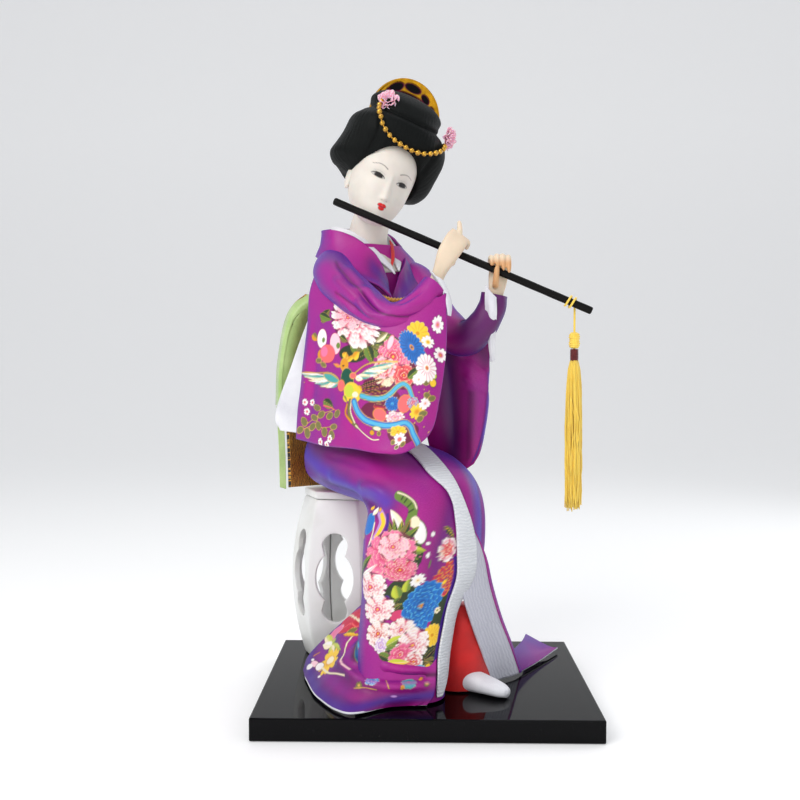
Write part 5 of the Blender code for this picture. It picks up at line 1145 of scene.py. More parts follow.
def make_stage():
    """World light, camera, four lamps and a swept floor."""
    world = bpy.data.worlds.new("studio")
    bpy.context.scene.world = world
    world.use_nodes = True
    background = world.node_tree.nodes["Background"]
    background.inputs["Color"].default_value = (0.93, 0.95, 1.0, 1)
    background.inputs["Strength"].default_value = SKY_STRENGTH
    view = bpy.data.cameras.new("photo_camera")
    view.lens, view.sensor_width = CAMERA_LENS, 36.0
    view.clip_start = 0.01
    camera = bpy.data.objects.new("photo_camera", view)
    camera.location = CAMERA_AT
    camera.rotation_euler = [math.radians(a) for a in CAMERA_TURN]
    bpy.context.scene.collection.objects.link(camera)
    bpy.context.scene.camera = camera
    for name, size, energy, place_at, aim in LAMPS:
        lamp = bpy.data.lights.new(name, "AREA")
        lamp.shape, lamp.size, lamp.energy = "SQUARE", size, energy
        lamp.color = (1.0, 0.985, 0.96) if name == "key" else (0.96, 0.98, 1.0)
        made = bpy.data.objects.new(name, lamp)
        made.location = place_at
        ahead = np.array(aim) - np.array(place_at)
        flat = math.hypot(ahead[0], ahead[1])
        made.rotation_euler = (math.pi / 2 + math.atan2(ahead[2], flat), 0, math.atan2(-ahead[0], ahead[1]))
        bpy.context.scene.collection.objects.link(made)
    profile = [(-3.0, 0.0), (1.1, 0.0)]
    turns = np.linspace(0.1, math.pi / 2, 14)
    profile += [(1.1 + 0.7 * math.sin(a), 0.7 - 0.7 * math.cos(a)) for a in turns]
    profile += [(1.8, 4.0)]
    mesh = bpy.data.meshes.new("backdrop")
    points = [(x, y, z - 0.0002) for y, z in profile for x in (-4.0, 4.0)]
    mesh.from_pydata(points, [], quads_of(len(profile), 2).tolist())
    mesh.shade_smooth()
    floor = bpy.data.objects.new("backdrop", mesh)
    finish = start("backdrop", Base_Color=(0.88, 0.88, 0.875), Roughness=0.65,
                   Emission_Color=(1.0, 1.0, 1.0), Emission_Strength=0.16)[0]
    mesh.materials.append(finish)
    bpy.context.scene.collection.objects.link(floor)
    scene = bpy.context.scene
    scene.view_settings.view_transform = "Standard"
    scene.view_settings.look = "None"
    scene.render.film_transparent = False


# Board and stool: CUTOUT_HEIGHT is the middle of the staves' cutouts, and HALF_STAVE half a
# stave's width at the seat

CUTOUT_HEIGHT = 45.0
SEAT_RADIUS, BARREL_SWELL = 21.0, 7.2
HALF_STAVE = 11.5
STAVE_POINTS = 176


def make_board():
    """The board keeps its solid shape and takes the lacquer."""
    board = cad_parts["base_board"].data
    board.materials.clear()
    board.materials.append(make_lacquer())


def barrel_radius(height):
    """The barrel's radius at a height, a parabola that is widest half way up."""
    share = 2 * np.asarray(height, float) / STAVE_HEIGHT - 1
    return SEAT_RADIUS + BARREL_SWELL * (1 - share**2)


def cutout_outline(count):
    """Outline of a tall oval between two circles, as a radius about their middle at each angle."""
    angle = np.arange(count) * 2 * math.pi / count
    c, s = np.abs(np.cos(angle)), np.abs(np.sin(angle))
    oval = 1 / np.sqrt((c / 9.8) ** 2 + (s / 13.3) ** 2)
    reached = 16.2 * c < 6.5
    circle = np.where(reached, 16.2 * s + np.sqrt(np.clip(6.5**2 - (16.2 * c) ** 2, 0, None)), 0)
    radius = np.maximum(oval, circle)
    return np.stack([radius * np.cos(angle), radius * np.sin(angle)], 1)


def make_stave(index, finish):
    """A bowed flat-fronted stave: rings run from the pierced outline out to its four edges."""
    inner = cutout_outline(STAVE_POINTS)
    half_turn = math.pi / 6
    angle = np.arctan2(inner[:, 1], inner[:, 0])
    top = np.where(inner[:, 1] > 0, STAVE_HEIGHT - CUTOUT_HEIGHT, CUTOUT_HEIGHT - 0.3)
    reach = 1 / np.maximum(np.abs(np.cos(angle)) / HALF_STAVE, np.abs(np.sin(angle)) / top)
    outer = np.stack([reach * np.cos(angle), reach * np.sin(angle)], 1)
    steps = np.concatenate([[0, 0.02, 0.06], np.linspace(0.14, 0.94, 9), [0.98, 1.0]])
    turn = math.radians(STOOL_TURN + index * 60.0)
    ahead = np.array([math.cos(turn), math.sin(turn), 0.0])
    beside, up = np.array([-ahead[1], ahead[0], 0.0]), np.array([0, 0, 1.0])
    rings = []
    for depth, order in ((0.0, steps), (STAVE_WALL, steps[::-1])):
        for t in order:
            flat = inner + (outer - inner) * t
            height = (CUTOUT_HEIGHT + flat[:, 1]).clip(0.3, STAVE_HEIGHT)
            corner = barrel_radius(height)
            edge = corner * math.sin(half_turn) - 0.15 - depth * math.tan(half_turn)
            across = flat[:, 0] * (1 + t**2 * (edge / HALF_STAVE - 1))
            rounding = 0.35 * (np.exp(-t / 0.03) + np.exp(-(1 - t) / 0.03)) * (1 if depth == 0 else -1)
            face = corner * math.cos(half_turn) - depth - rounding
            rings.append(ahead * face[:, None] + beside * across[:, None] + up * height[:, None] + ORIGIN)
    rings = np.array(rings)
    rings = np.concatenate([rings, rings[:1]])
    u, v = cloth_of(rings, True)
    return add_piece(f"stave_{index + 1}", rings.reshape(-1, 3), quads_of(*rings.shape[:2], True), finish,
                     "white_paint", [f"stool_stave_{index + 1}"], **cloth_data(u, v))


def make_seat(finish):
    """The flat hexagonal seat with eased edges."""
    angle = np.radians(STOOL_TURN + 30 + np.repeat(np.arange(6) * 60, 2)) + np.tile([-0.03, 0.03], 6)
    rings = []
    for z, inset in ((0.2, 0.6), (0.4, 0.1), (0.8, 0), (3.0, 0), (3.6, 0.2), (3.9, 0.5), (4.0, 1.0)):
        r = SEAT_RADIUS - inset
        rings.append(np.stack([r * np.cos(angle), r * np.sin(angle), np.full(12, 84.3 + z)], 1) + ORIGIN)
    made = add_tube("seat", np.array(rings), finish, "white_paint", ["stool_seat"])
    made.data.set_sharp_from_angle(angle=0.6)


# Head


HEAD_SECTIONS = np.array([
    (-24.6, 2.5, -13.5, -8.0), (-23.4, 6.0, -16.2, -3.0), (-20.5, 9.0, -17.6, 4.0),
    (-16.5, 11.6, -17.7, 9.0),
    (-11.0, 13.8, -17.5, 13.0), (-4.0, 15.2, -17.2, 16.5), (4.0, 15.8, -17.8, 19.0),
    (12.0, 15.2, -16.4, 19.0),
    (18.0, 11.6, -11.4, 15.0), (21.6, 5.0, -3.5, 8.0),
])
NECK = ((15.0, -25.0, 196.0), (13.6, -24.4, 205.0), (13.4, -24.8, 214.0), (15.5, -27, 224), (20, -30, 236))
NECK_RADII = ((17.0,), (13.4,), (10.2,), (9.3,), (9.2,))
HAIR_SECTIONS = np.array([
    (-6.5, 18.5, 1.0, 19.0), (-4.6, 23.4, -5.0, 22.0), (0.5, 26.4, -11.0, 24.0), (8.0, 26.8, -16.0, 24.5),
    (16.0, 26.6, -20.4, 24.0), (22.0, 24.6, -20.6, 22.5), (26.5, 20.0, -19.0, 20.0),
    (30.0, 17.4, -17.4, 17.5),
    (34.5, 17.8, -14.6, 16.0), (38.2, 14.0, -10.0, 12.5), (40.4, 6.5, -4.0, 6.5),
])


def section_rings(sections, rows, angle, power):
    """Rings of a head-like form: half-width, front and back at each height, read along a curve."""
    read = spread(sections, rows)
    c, s = np.cos(angle), np.sin(angle)
    c, s = np.sign(c) * np.abs(c) ** (2 / power), np.sign(s) * np.abs(s) ** (2 / power)
    middle, depth = (read[:, 2] + read[:, 3]) / 2, (read[:, 3] - read[:, 2]) / 2
    rings = np.zeros((rows, len(angle), 3))
    rings[..., 0] = read[:, 1, None] * s
    rings[..., 1] = middle[:, None] + depth[:, None] * c
    rings[..., 2] = read[:, 0, None]
    return rings


EYE_AT, LIPS_AT = (6.4, -2.8), -16.0
BROW_AND_NOSE_SHADE = linear((120, 106, 100))


def mound(x, z, at_x, at_z, wide, tall):
    """A bell of two directions round a point."""
    return np.exp(-(((x - at_x) / wide) ** 2) - ((z - at_z) / tall) ** 2)


def paint_face(x, z):
    """The painted features, and painted shade at the nostrils, from the face's own across and up
    coordinates.
    """
    face = Canvas(x, z)
    for side in (-1, 1):
        face.lay(0.16 * mound(x, z, side * EYE_AT[0], -1.8, 3.8, 1.9), linear((150, 120, 120)))
        stroke(face, [(side * a, b) for a, b in ((3.4, 1.4), (5.6, 2.4), (8.0, 2.6), (10.4, 1.9))], 0.4,
               BROW_AND_NOSE_SHADE, 0, 0.6)
        tilt = math.radians(7 * side)
        du, dv = x - side * EYE_AT[0], z - EYE_AT[1]
        u, v = du * math.cos(tilt) + dv * math.sin(tilt), dv * math.cos(tilt) - du * math.sin(tilt)
        t = np.clip(1 - (u / 3.3) ** 2, 0, 1)
        almond = np.where(t > 0, np.where(v > 0, v - 1.25 * t**0.75, -v - 0.8 * t), 1)
        face.lay(inside(almond, 0.12), linear((196, 190, 184)))
        iris = np.hypot((u - 0.2) / 2.05, v / 1.6) - 1
        face.lay(inside(np.maximum(almond, iris), 0.12), linear((18, 12, 11)), 0.3)
        lid = np.abs(v - 1.25 * t**0.75) - 0.14 - 0.24 * t
        face.lay(inside(np.where(np.abs(u) < 3.3, lid, 1), 0.12), linear((20, 14, 14)))
        face.lay(0.4 * inside(np.where(np.abs(u) < 3.0, np.abs(v + 0.9 * t) - 0.12, 1), 0.1),
                 linear((96, 62, 58)))
        face.lay(0.28 * inside(np.where(np.abs(u) < 2.9, np.abs(v - 1.0 - 1.3 * t**0.6) - 0.12, 1), 0.16),
                 linear((96, 78, 74)))
        spot(face, (side * 1.05, LIPS_AT + 0.8), 1.25, 0.8, -20 * side, "lips")
        # Painted shade at the nostrils, under the nose.
        face.lay(0.3 * inside(np.hypot((x - side * 1.25) / 0.5, (z + 12.9) / 0.3) - 1, 0.3), BROW_AND_NOSE_SHADE)
    spot(face, (0, LIPS_AT - 0.65), 1.6, 1.15, 0, "lips")
    parting = ((-2.1, 0.15), (-0.9, 0.05), (0, -0.15), (0.9, 0.05), (2.1, 0.15))
    stroke(face, [(a, LIPS_AT + b) for a, b in parting], 0.26, "wine")
    face.gold = np.maximum(face.gold, 0.7 * inside(np.hypot(x / 2.8, (z - LIPS_AT) / 2.4) - 1))
    return face.result()


def make_head(skin):
    """Head with its painted face and moulded features, neck and ears."""
    t = np.linspace(-1, 1, 196, endpoint=False)
    angle = math.pi + math.pi * np.sign(t) * np.abs(t) ** 1.5
    rings = section_rings(HEAD_SECTIONS, 220, angle, 2.15)
    x, y, z = rings[..., 0], rings[..., 1], rings[..., 2]
    front = smoothstep(-2, -9, y)
    aside = np.abs(x)
    slim = aside / (1.2 + 1.0 * np.clip((-z - 3) / 9, 0, 1))
    nose = np.exp(-(slim**2)) * smoothstep(-14.2, -11.6, z) * np.clip((1.5 - z) / 13, 0, 1) ** 1.2
    lips = 0.8 * mound(x, z, 0, LIPS_AT, 2.3, 1.6) - 0.3 * mound(x, z, 0, LIPS_AT, 2.2, 0.35)
    socket = -0.8 * mound(aside, z, EYE_AT[0], -2.0, 3.6, 2.4)
    lid = 0.45 * mound(aside, z, EYE_AT[0], -2.9, 3.0, 1.4)
    cheek = 0.6 * mound(aside, z, 8.0, -9.5, 4.5, 4.5)
    chin = 0.6 * mound(x, z, 0, -22.0, 4.0, 2.0)
    rings[..., 1] -= front * (1.7 * nose + lips + socket + lid + cheek + chin)
    colour, gold = paint_face(x, z)
    colour[..., 3] *= front
    neck = tube(spread(place(NECK), 26), spread(NECK_RADII, 26)[:, 0], 44)
    grids = [(head_place(rings), True, True), (neck, True, True)]
    values = [colour, np.zeros(neck.shape[:2] + (4,))]
    golds = [gold, np.zeros(neck.shape[:2])]
    for side in (-1, 1):
        s = np.linspace(0, 1, 24)
        size = np.sin(math.pi * np.clip(0.06 + 0.9 * s, 0, 1)) ** 0.5
        around = np.arange(28) * 2 * math.pi / 28
        ear = np.array([
            np.array([side * (13.0 + 3.0 * a), 0.5 + 2.4 * a, -5.6 - 0.8 * a])
            + np.outer(np.cos(around), (0.8 * b, 2.8 * b, 0))
            + np.outer(np.sin(around), (0, 1.0 * b, 6.2 * b))
            for a, b in zip(s, size)
        ])
        grids.append((head_place(ear), True, True))
        values.append(np.zeros(ear.shape[:2] + (4,)))
        golds.append(np.zeros(ear.shape[:2]))
    vertices, faces = join_grids(grids)
    flat = np.concatenate([v.reshape(-1, 4) for v in values])
    golds = np.concatenate([g.ravel() for g in golds])
    local = np.zeros((len(vertices), 3))
    local[: x.size] = np.stack([x, z, y], -1).reshape(-1, 3)
    return add_piece("head_skin", vertices, faces, skin, "pale_skin", ["head"], Print=flat, Gold=golds,
                     Cloth=local)


def make_hair(finish):
    """Wig: combed waves on a swelling form, tucked in behind the face's oval opening."""
    t = np.linspace(-1, 1, 240, endpoint=False)
    angle = math.pi + math.pi * np.sign(t) * np.abs(t) ** 1.15
    rings = section_rings(HAIR_SECTIONS, 132, angle, 2.4)
    x, y, z = rings[..., 0].copy(), rings[..., 1], rings[..., 2].copy()
    outer = smoothstep(-9, -20, x)
    rings[..., 0] *= 1 - 0.1 * (x < 0) * np.exp(-(((z - 15) / 9) ** 2))
    rings[..., 2] += 3.6 * outer * smoothstep(8, -6, z)
    groove = np.exp(-(((z - 28.6 - 2.2 * np.cos(angle)[None]) / 1.1) ** 2))
    rings[..., :2] *= (1 - 0.07 * groove)[..., None]
    part = np.exp(-(((np.abs(x) - 13.5 - 0.12 * z) / 1.6) ** 2)) * smoothstep(26, 20, z) * (y < 0)
    rings[..., 1] += 1.3 * part
    combed = 0.12 * ripple(np.arctan2(x, y + 2) * 22, z * 0.12, 1.6, 3)
    rings += normals_of(rings, True) * combed[..., None]
    opening = np.sqrt((x / np.where(x > 0, 16.6, 14.8)) ** 2 + ((z + 6.5) / 19.8) ** 2)
    tuck = smoothstep(1.05, 0.93, opening) * (y < 0)
    rings[..., 1] += tuck * (4 - y) * 0.9
    u, v = np.broadcast_to(np.arctan2(x, -y) * 22, x.shape), z
    vertices, faces = join_grids([(head_place(rings), True, True)])
    return add_piece("wig", vertices, faces, finish, "black_hair", ["hair"], **cloth_data(u, v))


COMB_FIELDS = (
    ((-9.4, 11.0), 4.2, 2.0, 44), ((-1.0, 14.2), 4.2, 1.9, 0), ((-2.0, 10.0), 5.2, 1.0, 4),
    ((6.9, 12.0), 2.6, 1.5, -32), ((12.0, 7.2), 3.0, 1.9, -62), ((7.6, 8.4), 3.6, 1.0, -36),
    ((-11.8, 6.0), 1.6, 3.0, 18),
)


def make_comb(gilt):
    """Half-moon comb: an arched plate with a raised rim and thinned fields painted dark as its piercings,
    for the black hair and the shade seen through them.
    """
    x0, y0, z0 = 2.0, 7.0, 32.5
    a = np.radians(np.linspace(-10, 190, 140))
    r = np.linspace(0, 1, 34)
    outer = np.stack([18.3 * np.cos(a), 18.3 * np.sin(a)], 1)
    inner = np.stack([11.5 * np.cos(a), -2 + 9.2 * np.sin(a)], 1)
    flat = inner[None] + (outer - inner)[None] * r[:, None, None]
    far_rim, near_rim = np.exp(-(((r - 0.96) / 0.06) ** 2)), np.exp(-(((r - 0.04) / 0.06) ** 2))
    rim = np.maximum(far_rim, near_rim)[:, None] * np.ones_like(a)
    canvas = Canvas(flat[..., 0], flat[..., 1])
    # Painted dark fields: the black hair and the shade in the piercings, with a wine rim.
    each(canvas, spot, ("black", "wine"), *COMB_FIELDS)
    colour = canvas.result()[0]
    front = 0.9 + 0.35 * rim - 0.45 * colour[..., 3]
    sheets = []
    for side in (-1, 1):
        points = np.stack([x0 + flat[..., 0], y0 + side * front, z0 + flat[..., 1]], -1)
        sheets.append(head_place(points))
    grid = np.concatenate([sheets[0], sheets[1][::-1], sheets[0][:1]])
    both = np.concatenate([colour, colour[::-1], colour[:1]])
    u, v = np.moveaxis(np.concatenate([flat, flat[::-1], flat[:1]]), -1, 0)
    return add_piece("comb", grid.reshape(-1, 3), quads_of(*grid.shape[:2]), gilt, "gilt", ["hair_comb"],
                     **cloth_data(u, v, both, np.zeros_like(u)))


def hair_front(x, height):
    """How far forward the wig's surface lies at a place across and a height."""
    width, front, back = (np.interp(height, HAIR_SECTIONS[:, 0], HAIR_SECTIONS[:, k]) for k in (1, 2, 3))
    share = np.clip(1 - np.abs(x / width) ** 2.4, 0, 1) ** (1 / 2.4)
    return (front + back) / 2 - (back - front) / 2 * share


def ball(centre, radius, sides=16):
    """A sphere as a grid of rings, ends drawn in to points."""
    lift = np.linspace(-math.pi / 2, math.pi / 2, sides // 2 + 1)
    around = np.arange(sides) * 2 * math.pi / sides
    grid = np.stack([np.outer(np.cos(lift), np.cos(around)), np.outer(np.cos(lift), np.sin(around)),
                     np.outer(np.sin(lift), np.ones(sides))], -1)
    return centre + radius * grid


def make_chain(gilt):
    """The string of gold beads across the hair."""
    swag = np.array([
        (-16.0, 30.5), (-17.0, 27.5), (-16.8, 23.5), (-14.2, 18.6), (-9.4, 15.2), (-3.4, 13.8),
        (3.4, 13.4), (9.0, 14.4), (14.0, 16.8), (18.0, 20.0), (20.6, 24.2),
    ])
    flat = spread(swag, 400)
    points = np.stack([flat[:, 0], hair_front(flat[:, 0], flat[:, 1]) - 2.1, flat[:, 1]], 1)
    points = head_place(points)
    run = np.concatenate([[0], np.cumsum(np.linalg.norm(np.diff(points, axis=0), axis=1))])
    at = np.interp(np.linspace(0, run[-1], 20), run, np.arange(400))
    centres = curve_through(points, at)
    grids = [(ball(c, 1.22 if k % 3 else 1.32), True, True) for k, c in enumerate(centres)]
    grids.append((tube(points[::4], 0.32, 8), True, True))
    vertices, faces = join_grids(grids)
    add_piece("beads", vertices, faces, gilt, "gilt", ["bead_chain"], Cloth=np.zeros((len(vertices), 3)))


def make_flower(name, centre, facing, finish, node, seed, size):
    """Bunched crepe: three ruffled cups of petals, each rim waving more than the last."""
    facing = np.asarray(facing, float) / np.linalg.norm(facing)
    side = np.cross(facing, (0.2, 0.1, 1.0))
    side /= np.linalg.norm(side)
    other = np.cross(facing, side)
    angle = np.arange(90) * 2 * math.pi / 90
    grids = []
    for layer, (reach, rise, waves) in enumerate(((1.0, 1.2, 5), (0.78, 1.9, 6), (0.5, 2.4, 5))):
        t = np.linspace(0.04, 1, 16)[:, None]
        petal = np.abs(np.cos(waves * angle / 2 + layer + seed))[None]
        radius = size * reach * t * (0.74 + 0.26 * petal**0.6)
        height = -1.6 + rise * t**1.6 * size / 4
        height = height + 0.55 * t**2 * np.sin(7 * angle + seed + layer)[None]
        height = height + 0.25 * t * np.sin(11 * angle + layer)[None]
        points = radius[...,
                        None] * (np.cos(angle)[None, :, None] * side + np.sin(angle)[None, :, None] * other)
        grids.append((head_place(np.asarray(centre) + points + height[..., None] * facing), True, False))
    vertices, faces = join_grids(grids)
    made = add_piece(name, vertices, faces, finish, "pink_petal", [node],
                     Cloth=np.zeros((len(vertices), 3)))
    solid = made.modifiers.new("thickness", "SOLIDIFY")
    solid.thickness = 0.25 * MM


# Flute, cord and tassel

CORD_SHARE, CORD_TURNS, CORD_PITCH, CORD_WINDING = 0.935, 1.75, 2.2, 2.6
STRANDS, STRAND_POINTS, STRAND_SIDES = 230, 18, 5


def flute_point(share):
    """The point at a share of the flute's length."""
    low, high = place(FLUTE_LEFT), place(FLUTE_RIGHT)
    return low + (high - low) * share


def make_flute(finish):
    """The flute with its rounded ends."""
    shares = np.concatenate([[0, 0.0012, 0.003, 0.006], np.linspace(0.01, 0.99, 90),
                             [0.994, 0.997, 0.9988, 1.0]])
    rounded = [1.2, 1.5, 1.68, FLUTE_RADIUS]
    radii = np.interp(shares, [0, 0.0012, 0.003, 0.006, 0.994, 0.997, 0.9988, 1], rounded + rounded[::-1])
    radii = radii + 0.03 * np.sin(shares * 60)
    outer = tube([flute_point(s) for s in shares], radii, 48)
    bore = tube([flute_point(s) for s in (1.0, 0.97, 0.94, 0.935)], [0.8, 0.8, 0.8, 0.1], 48)
    grids = np.concatenate([outer, bore])
    u, v = cloth_of(grids, True)
    vertices, faces = join_grids([(grids, True, True)])
    add_piece("flute_tube", vertices, faces, finish, "black_flute", ["flute"], **cloth_data(u, v))


def cord_route():
    """A helix of nearly two turns round the flute, then straight down into the tassel."""
    centre = flute_point(CORD_SHARE)
    way = place(FLUTE_RIGHT) - place(FLUTE_LEFT)
    way /= np.linalg.norm(way)
    down = np.array([0, 0, -1.0]) - way * (np.array([0, 0, -1.0]) @ way)
    down /= np.linalg.norm(down)
    front = np.cross(down, way)
    t = np.linspace(0, 1, 40)
    angle = 2 * math.pi * CORD_TURNS * t
    turned = np.outer(np.cos(angle), down) + np.outer(np.sin(angle), front)
    helix = centre + np.outer((t - 1) * CORD_PITCH * CORD_TURNS, way) + CORD_WINDING * turned
    drop = [helix[-1] + np.array([0.1, 0, -z]) for z in (3.0, 6.0, 9.0, 13.0, 19.0, 25.0, 31.0, 37.0)]
    return np.concatenate([helix, drop])


def make_tassel(silk, maroon):
    """Hanging cord, knot, wound band and strands, each strand a thin tube."""
    route = cord_route()
    curve = bpy.data.curves.new("hanging_cord", "CURVE")
    curve.dimensions = "3D"
    curve.bevel_depth = CORD_RADIUS * MM
    curve.bevel_resolution = 4
    curve.use_fill_caps = True
    line = curve.splines.new("POLY")
    line.points.add(len(route) - 1)
    line.points.foreach_set("co", np.c_[route * MM, np.ones(len(route))].ravel())
    curve.materials.append(silk)
    cord = bpy.data.objects.new("hanging_cord", curve)
    bpy.context.scene.collection.objects.link(cord)
    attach(cord, "root")
    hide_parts("tassel_cord")
    axis = route[-1]
    top = np.array([axis[0], axis[1], route[43][2]])
    angle = np.arange(72) * 2 * math.pi / 72

    def wound(profile, twist, depth):
        """Turned form wound with thread: the radius ripples along a helix."""
        z, r = np.array(profile).T
        zs = np.linspace(z[0], z[-1], 60)
        rs = np.interp(zs, z[::-1], r[::-1]) if z[0] > z[-1] else np.interp(zs, z, r)
        wave = depth * np.sin(zs[:, None] * 2 * math.pi / twist + angle[None])
        radius = rs[:, None] + wave
        heights = np.repeat(top[2] + zs[:, None], len(angle), 1)
        return np.stack([top[0] + radius * np.cos(angle), top[1] + radius * np.sin(angle), heights], -1)

    r, h = 2.6, 7.5
    profile = [(0, r * 0.5), (-0.8, r * 0.9), (-h * 0.32, r), (-h * 0.5, r * 0.86), (-h * 0.68, r)]
    knot = wound(profile + [(-h * 0.9, r * 0.9), (-h, r * 0.6)], 1.1, 0.14)
    knot_piece = add_tube("knot", knot, silk, "yellow_silk", ["tassel_knot"])
    band = wound([(-h - 0.3, 1.8), (-h - 1.5, 1.9), (-h - 4.5, 1.9), (-h - 5.8, 1.8)], 0.62, 0.09)
    band_piece = add_tube("band", band, maroon, "maroon_thread", ["tassel_band"])
    chance = np.random.default_rng(7)
    strands, low = [], -h - 5.6
    for k in range(STRANDS):
        turn, share = chance.uniform(0, 2 * math.pi), math.sqrt(chance.uniform(0.02, 1))
        length = 69.0 * chance.uniform(0.93, 1.0) + (2.0 if k % 23 == 0 else 0)
        t = np.linspace(0, 1, STRAND_POINTS)
        reach = share * np.interp(t, [0, 0.05, 0.2, 0.5, 0.8, 1], [1.7, 2.6, 3.5, 4.0, 3.7, 3.3])
        sway = 0.7 * np.sin(t * chance.uniform(3, 9) + chance.uniform(0, 6))
        sway = (sway + 0.2 * np.sin(t * 23 + chance.uniform(0, 6))) * t
        stray = (2.6 if k % 31 == 3 else 0.0) * np.exp(-(((t - 0.45) / 0.14) ** 2))
        drift = turn + 0.5 * t
        across, depth = reach * np.cos(drift) + sway + stray, reach * np.sin(drift) + sway * 0.5
        path = np.stack([top[0] + across, top[1] + depth, top[2] + low - length * t], 1)
        strands.append((tube(path, 0.27, STRAND_SIDES), True, True))
    vertices, faces = join_grids(strands)
    sides = np.tile(np.arange(STRAND_SIDES), len(vertices) // STRAND_SIDES)
    u = sides + np.repeat(np.arange(STRANDS), len(vertices) // STRANDS) * 3.7
    skirt = add_piece("strands", vertices, faces, silk, "yellow_silk", ["tassel_skirt"],
                      Cloth=np.stack([u, (top[2] - vertices[:, 2]), np.zeros(len(u))], 1))


# Hands


def finger(path, radii, sides=18):
    """A tapered tube along a path, rounded at its tip."""
    path = spread(place(path), 26)
    radii = spread(np.asarray(radii, float).reshape(-1, 1), 26)[:, 0]
    t = np.linspace(0, 1, 26)
    radii = radii * np.sqrt(np.clip(1 - np.clip((t - 0.86) / 0.145, 0, 1) ** 2, 0.05, 1))
    return tube(path, radii, sides), True, True


def palm(points, axes):
    """Squared-up rings through points, each with its two half axes."""
    angle = np.arange(32) * 2 * math.pi / 32
    rings = [ring_points(p, a, b, angle, 2.4) for p, (a, b) in zip(points, axes)]
    return place(spread(np.array(rings), 30)), True, True


def make_hand(name, node, forms, finish):
    """One hand: its forms joined into one skin, with painted tan shade on the left hand's lower fingers."""
    vertices, faces = join_grids(forms)
    made = add_piece(name, vertices, faces, finish, "pale_skin", [node])
    settle(made, 0.32, 5)
    where = np.empty(len(made.data.vertices) * 3)
    made.data.vertices.foreach_get("co", where)
    x, y, z = where.reshape(-1, 3).T / MM - ORIGIN[:, None]
    # Painted shade: tan on the front and lower part of the left hand's fingers, below the finger tops.
    tan = 0.75 * smoothstep(-54.5, -57.5, y) * smoothstep(203.5, 200.0, z) * (x > 70)
    colour = np.concatenate([np.tile(linear((204, 140, 70)), (len(x), 1)), tan[:, None]],
                            1).astype(np.float32)
    made.data.attributes.new("Print", "FLOAT_COLOR", "POINT").data.foreach_set("color", colour.ravel())
    return made


def make_hands(skin):
    """Right hand at the flute's middle and left hand at its far part."""
    right = [
        palm([(45.0, -62.0, 186.0), (48.5, -61.5, 196.0), (52.0, -62.6, 203.5), (56.0, -63.2, 210.0),
              (58.2, -62.0, 213.5)],
             [((2.6, 0, -1.6), (0.4, 2.4, 0)), ((2.8, 0, -1.6), (0.4, 2.4, 0)),
              ((4.2, 0, -2.4), (0.5, 2.6, 0)),
              ((4.4, 0, -2.9), (0.5, 2.4, 0)), ((3.6, 0, -2.6), (0.5, 1.8, 0))]),
        finger([(57.5, -63.0, 211.5), (57.8, -62.4, 215.5), (57.5, -61.0, 219.5)], (1.45, 1.25, 1.0)),
        finger([(59.5, -62.6, 210.0), (61.5, -60.5, 209.5), (61.0, -56.6, 207.0)], (1.4, 1.3, 1.0)),
        finger([(57.0, -62.4, 213.0), (57.8, -59.4, 214.0), (56.6, -55.8, 211.5)], (1.4, 1.3, 1.0)),
        finger([(52.0, -61.5, 200.0), (54.5, -57.5, 200.5), (55.5, -54.6, 203.5)], (1.5, 1.4, 1.0)),
    ]
    make_hand("hand_right", "right_hand", right, skin)
    left = [
        palm([(72.5, -50.5, 174.0), (75.0, -52.0, 183.5), (76.0, -52.6, 190.5), (76.6, -52.4, 197.0),
              (77.0, -52.4, 202.0)],
             [((2.8, 0, 0.3), (0, 2.4, 0)), ((3.0, 0, 0.3), (0, 2.4, 0)), ((4.2, 0, 0.6), (0, 2.4, 0)),
              ((4.8, 0, 1.2), (0, 2.2, 0)), ((4.4, 0, 1.4), (0, 1.8, 0))]),
        finger([(75.0, -53.5, 190.0), (74.6, -59.0, 191.5), (74.8, -61.6, 196.0), (75.2, -61.0, 199.0)],
               (1.7, 1.5, 1.3, 1.0)),
    ]
    for k in range(4):
        x, z = 72.6 + 2.6 * k, 202.4 - 0.6 * abs(k - 1.5)
        share = (x - FLUTE_LEFT[0]) / (FLUTE_RIGHT[0] - FLUTE_LEFT[0])
        _, fy, fz = FLUTE_LEFT + share * (FLUTE_RIGHT - FLUTE_LEFT)
        bent = [(x, -52.6, z - 2.5), (x, -54.4, z + 1.4), (x + 0.2, -58.4, z + 0.9),
                (x + 0.3, fy - 2.3, fz + 0.8)]
        left.append(finger(bent, (1.45, 1.35, 1.25, 1.0)))
    make_hand("hand_left", "left_hand", left, skin)


# Clothes


TORSO_SECTIONS = np.array([
    (118.0, 6.0, -9.0, 24.0, 17.0), (128.0, 8.0, -12.0, 21.5, 15.5), (142.0, 10.5, -15.0, 20.0, 15.0),
    (160.0, 12.0, -18.0, 21.0, 15.5), (180.0, 14.0, -20.0, 23.5, 16.5), (196.0, 14.5, -21.5, 26.5, 15.5),
    (206.0, 14.0, -23.0, 24.5, 13.8), (212.0, 13.5, -24.0, 18.0, 12.5), (216.0, 13.2, -24.0, 13.2, 11.8),
])


def torso(heights, growth, columns):
    """Rings of the trunk at some heights, grown outwards by some millimetres."""
    read = np.stack([np.interp(heights, TORSO_SECTIONS[:, 0], TORSO_SECTIONS[:, k]) for k in range(5)], 1)
    across = np.array([math.cos(math.radians(30)), math.sin(math.radians(30)), 0.0])
    front = np.array([across[1], -across[0], 0.0])
    angle = np.arange(columns) * 2 * math.pi / columns
    grown = read[:, 3:] + growth
    return place(np.array([
        ring_points((x, y, z), across * w, front * d, angle, 2.3) for (z, x, y),
        (w, d) in zip(read[:, :3], grown)
    ]))


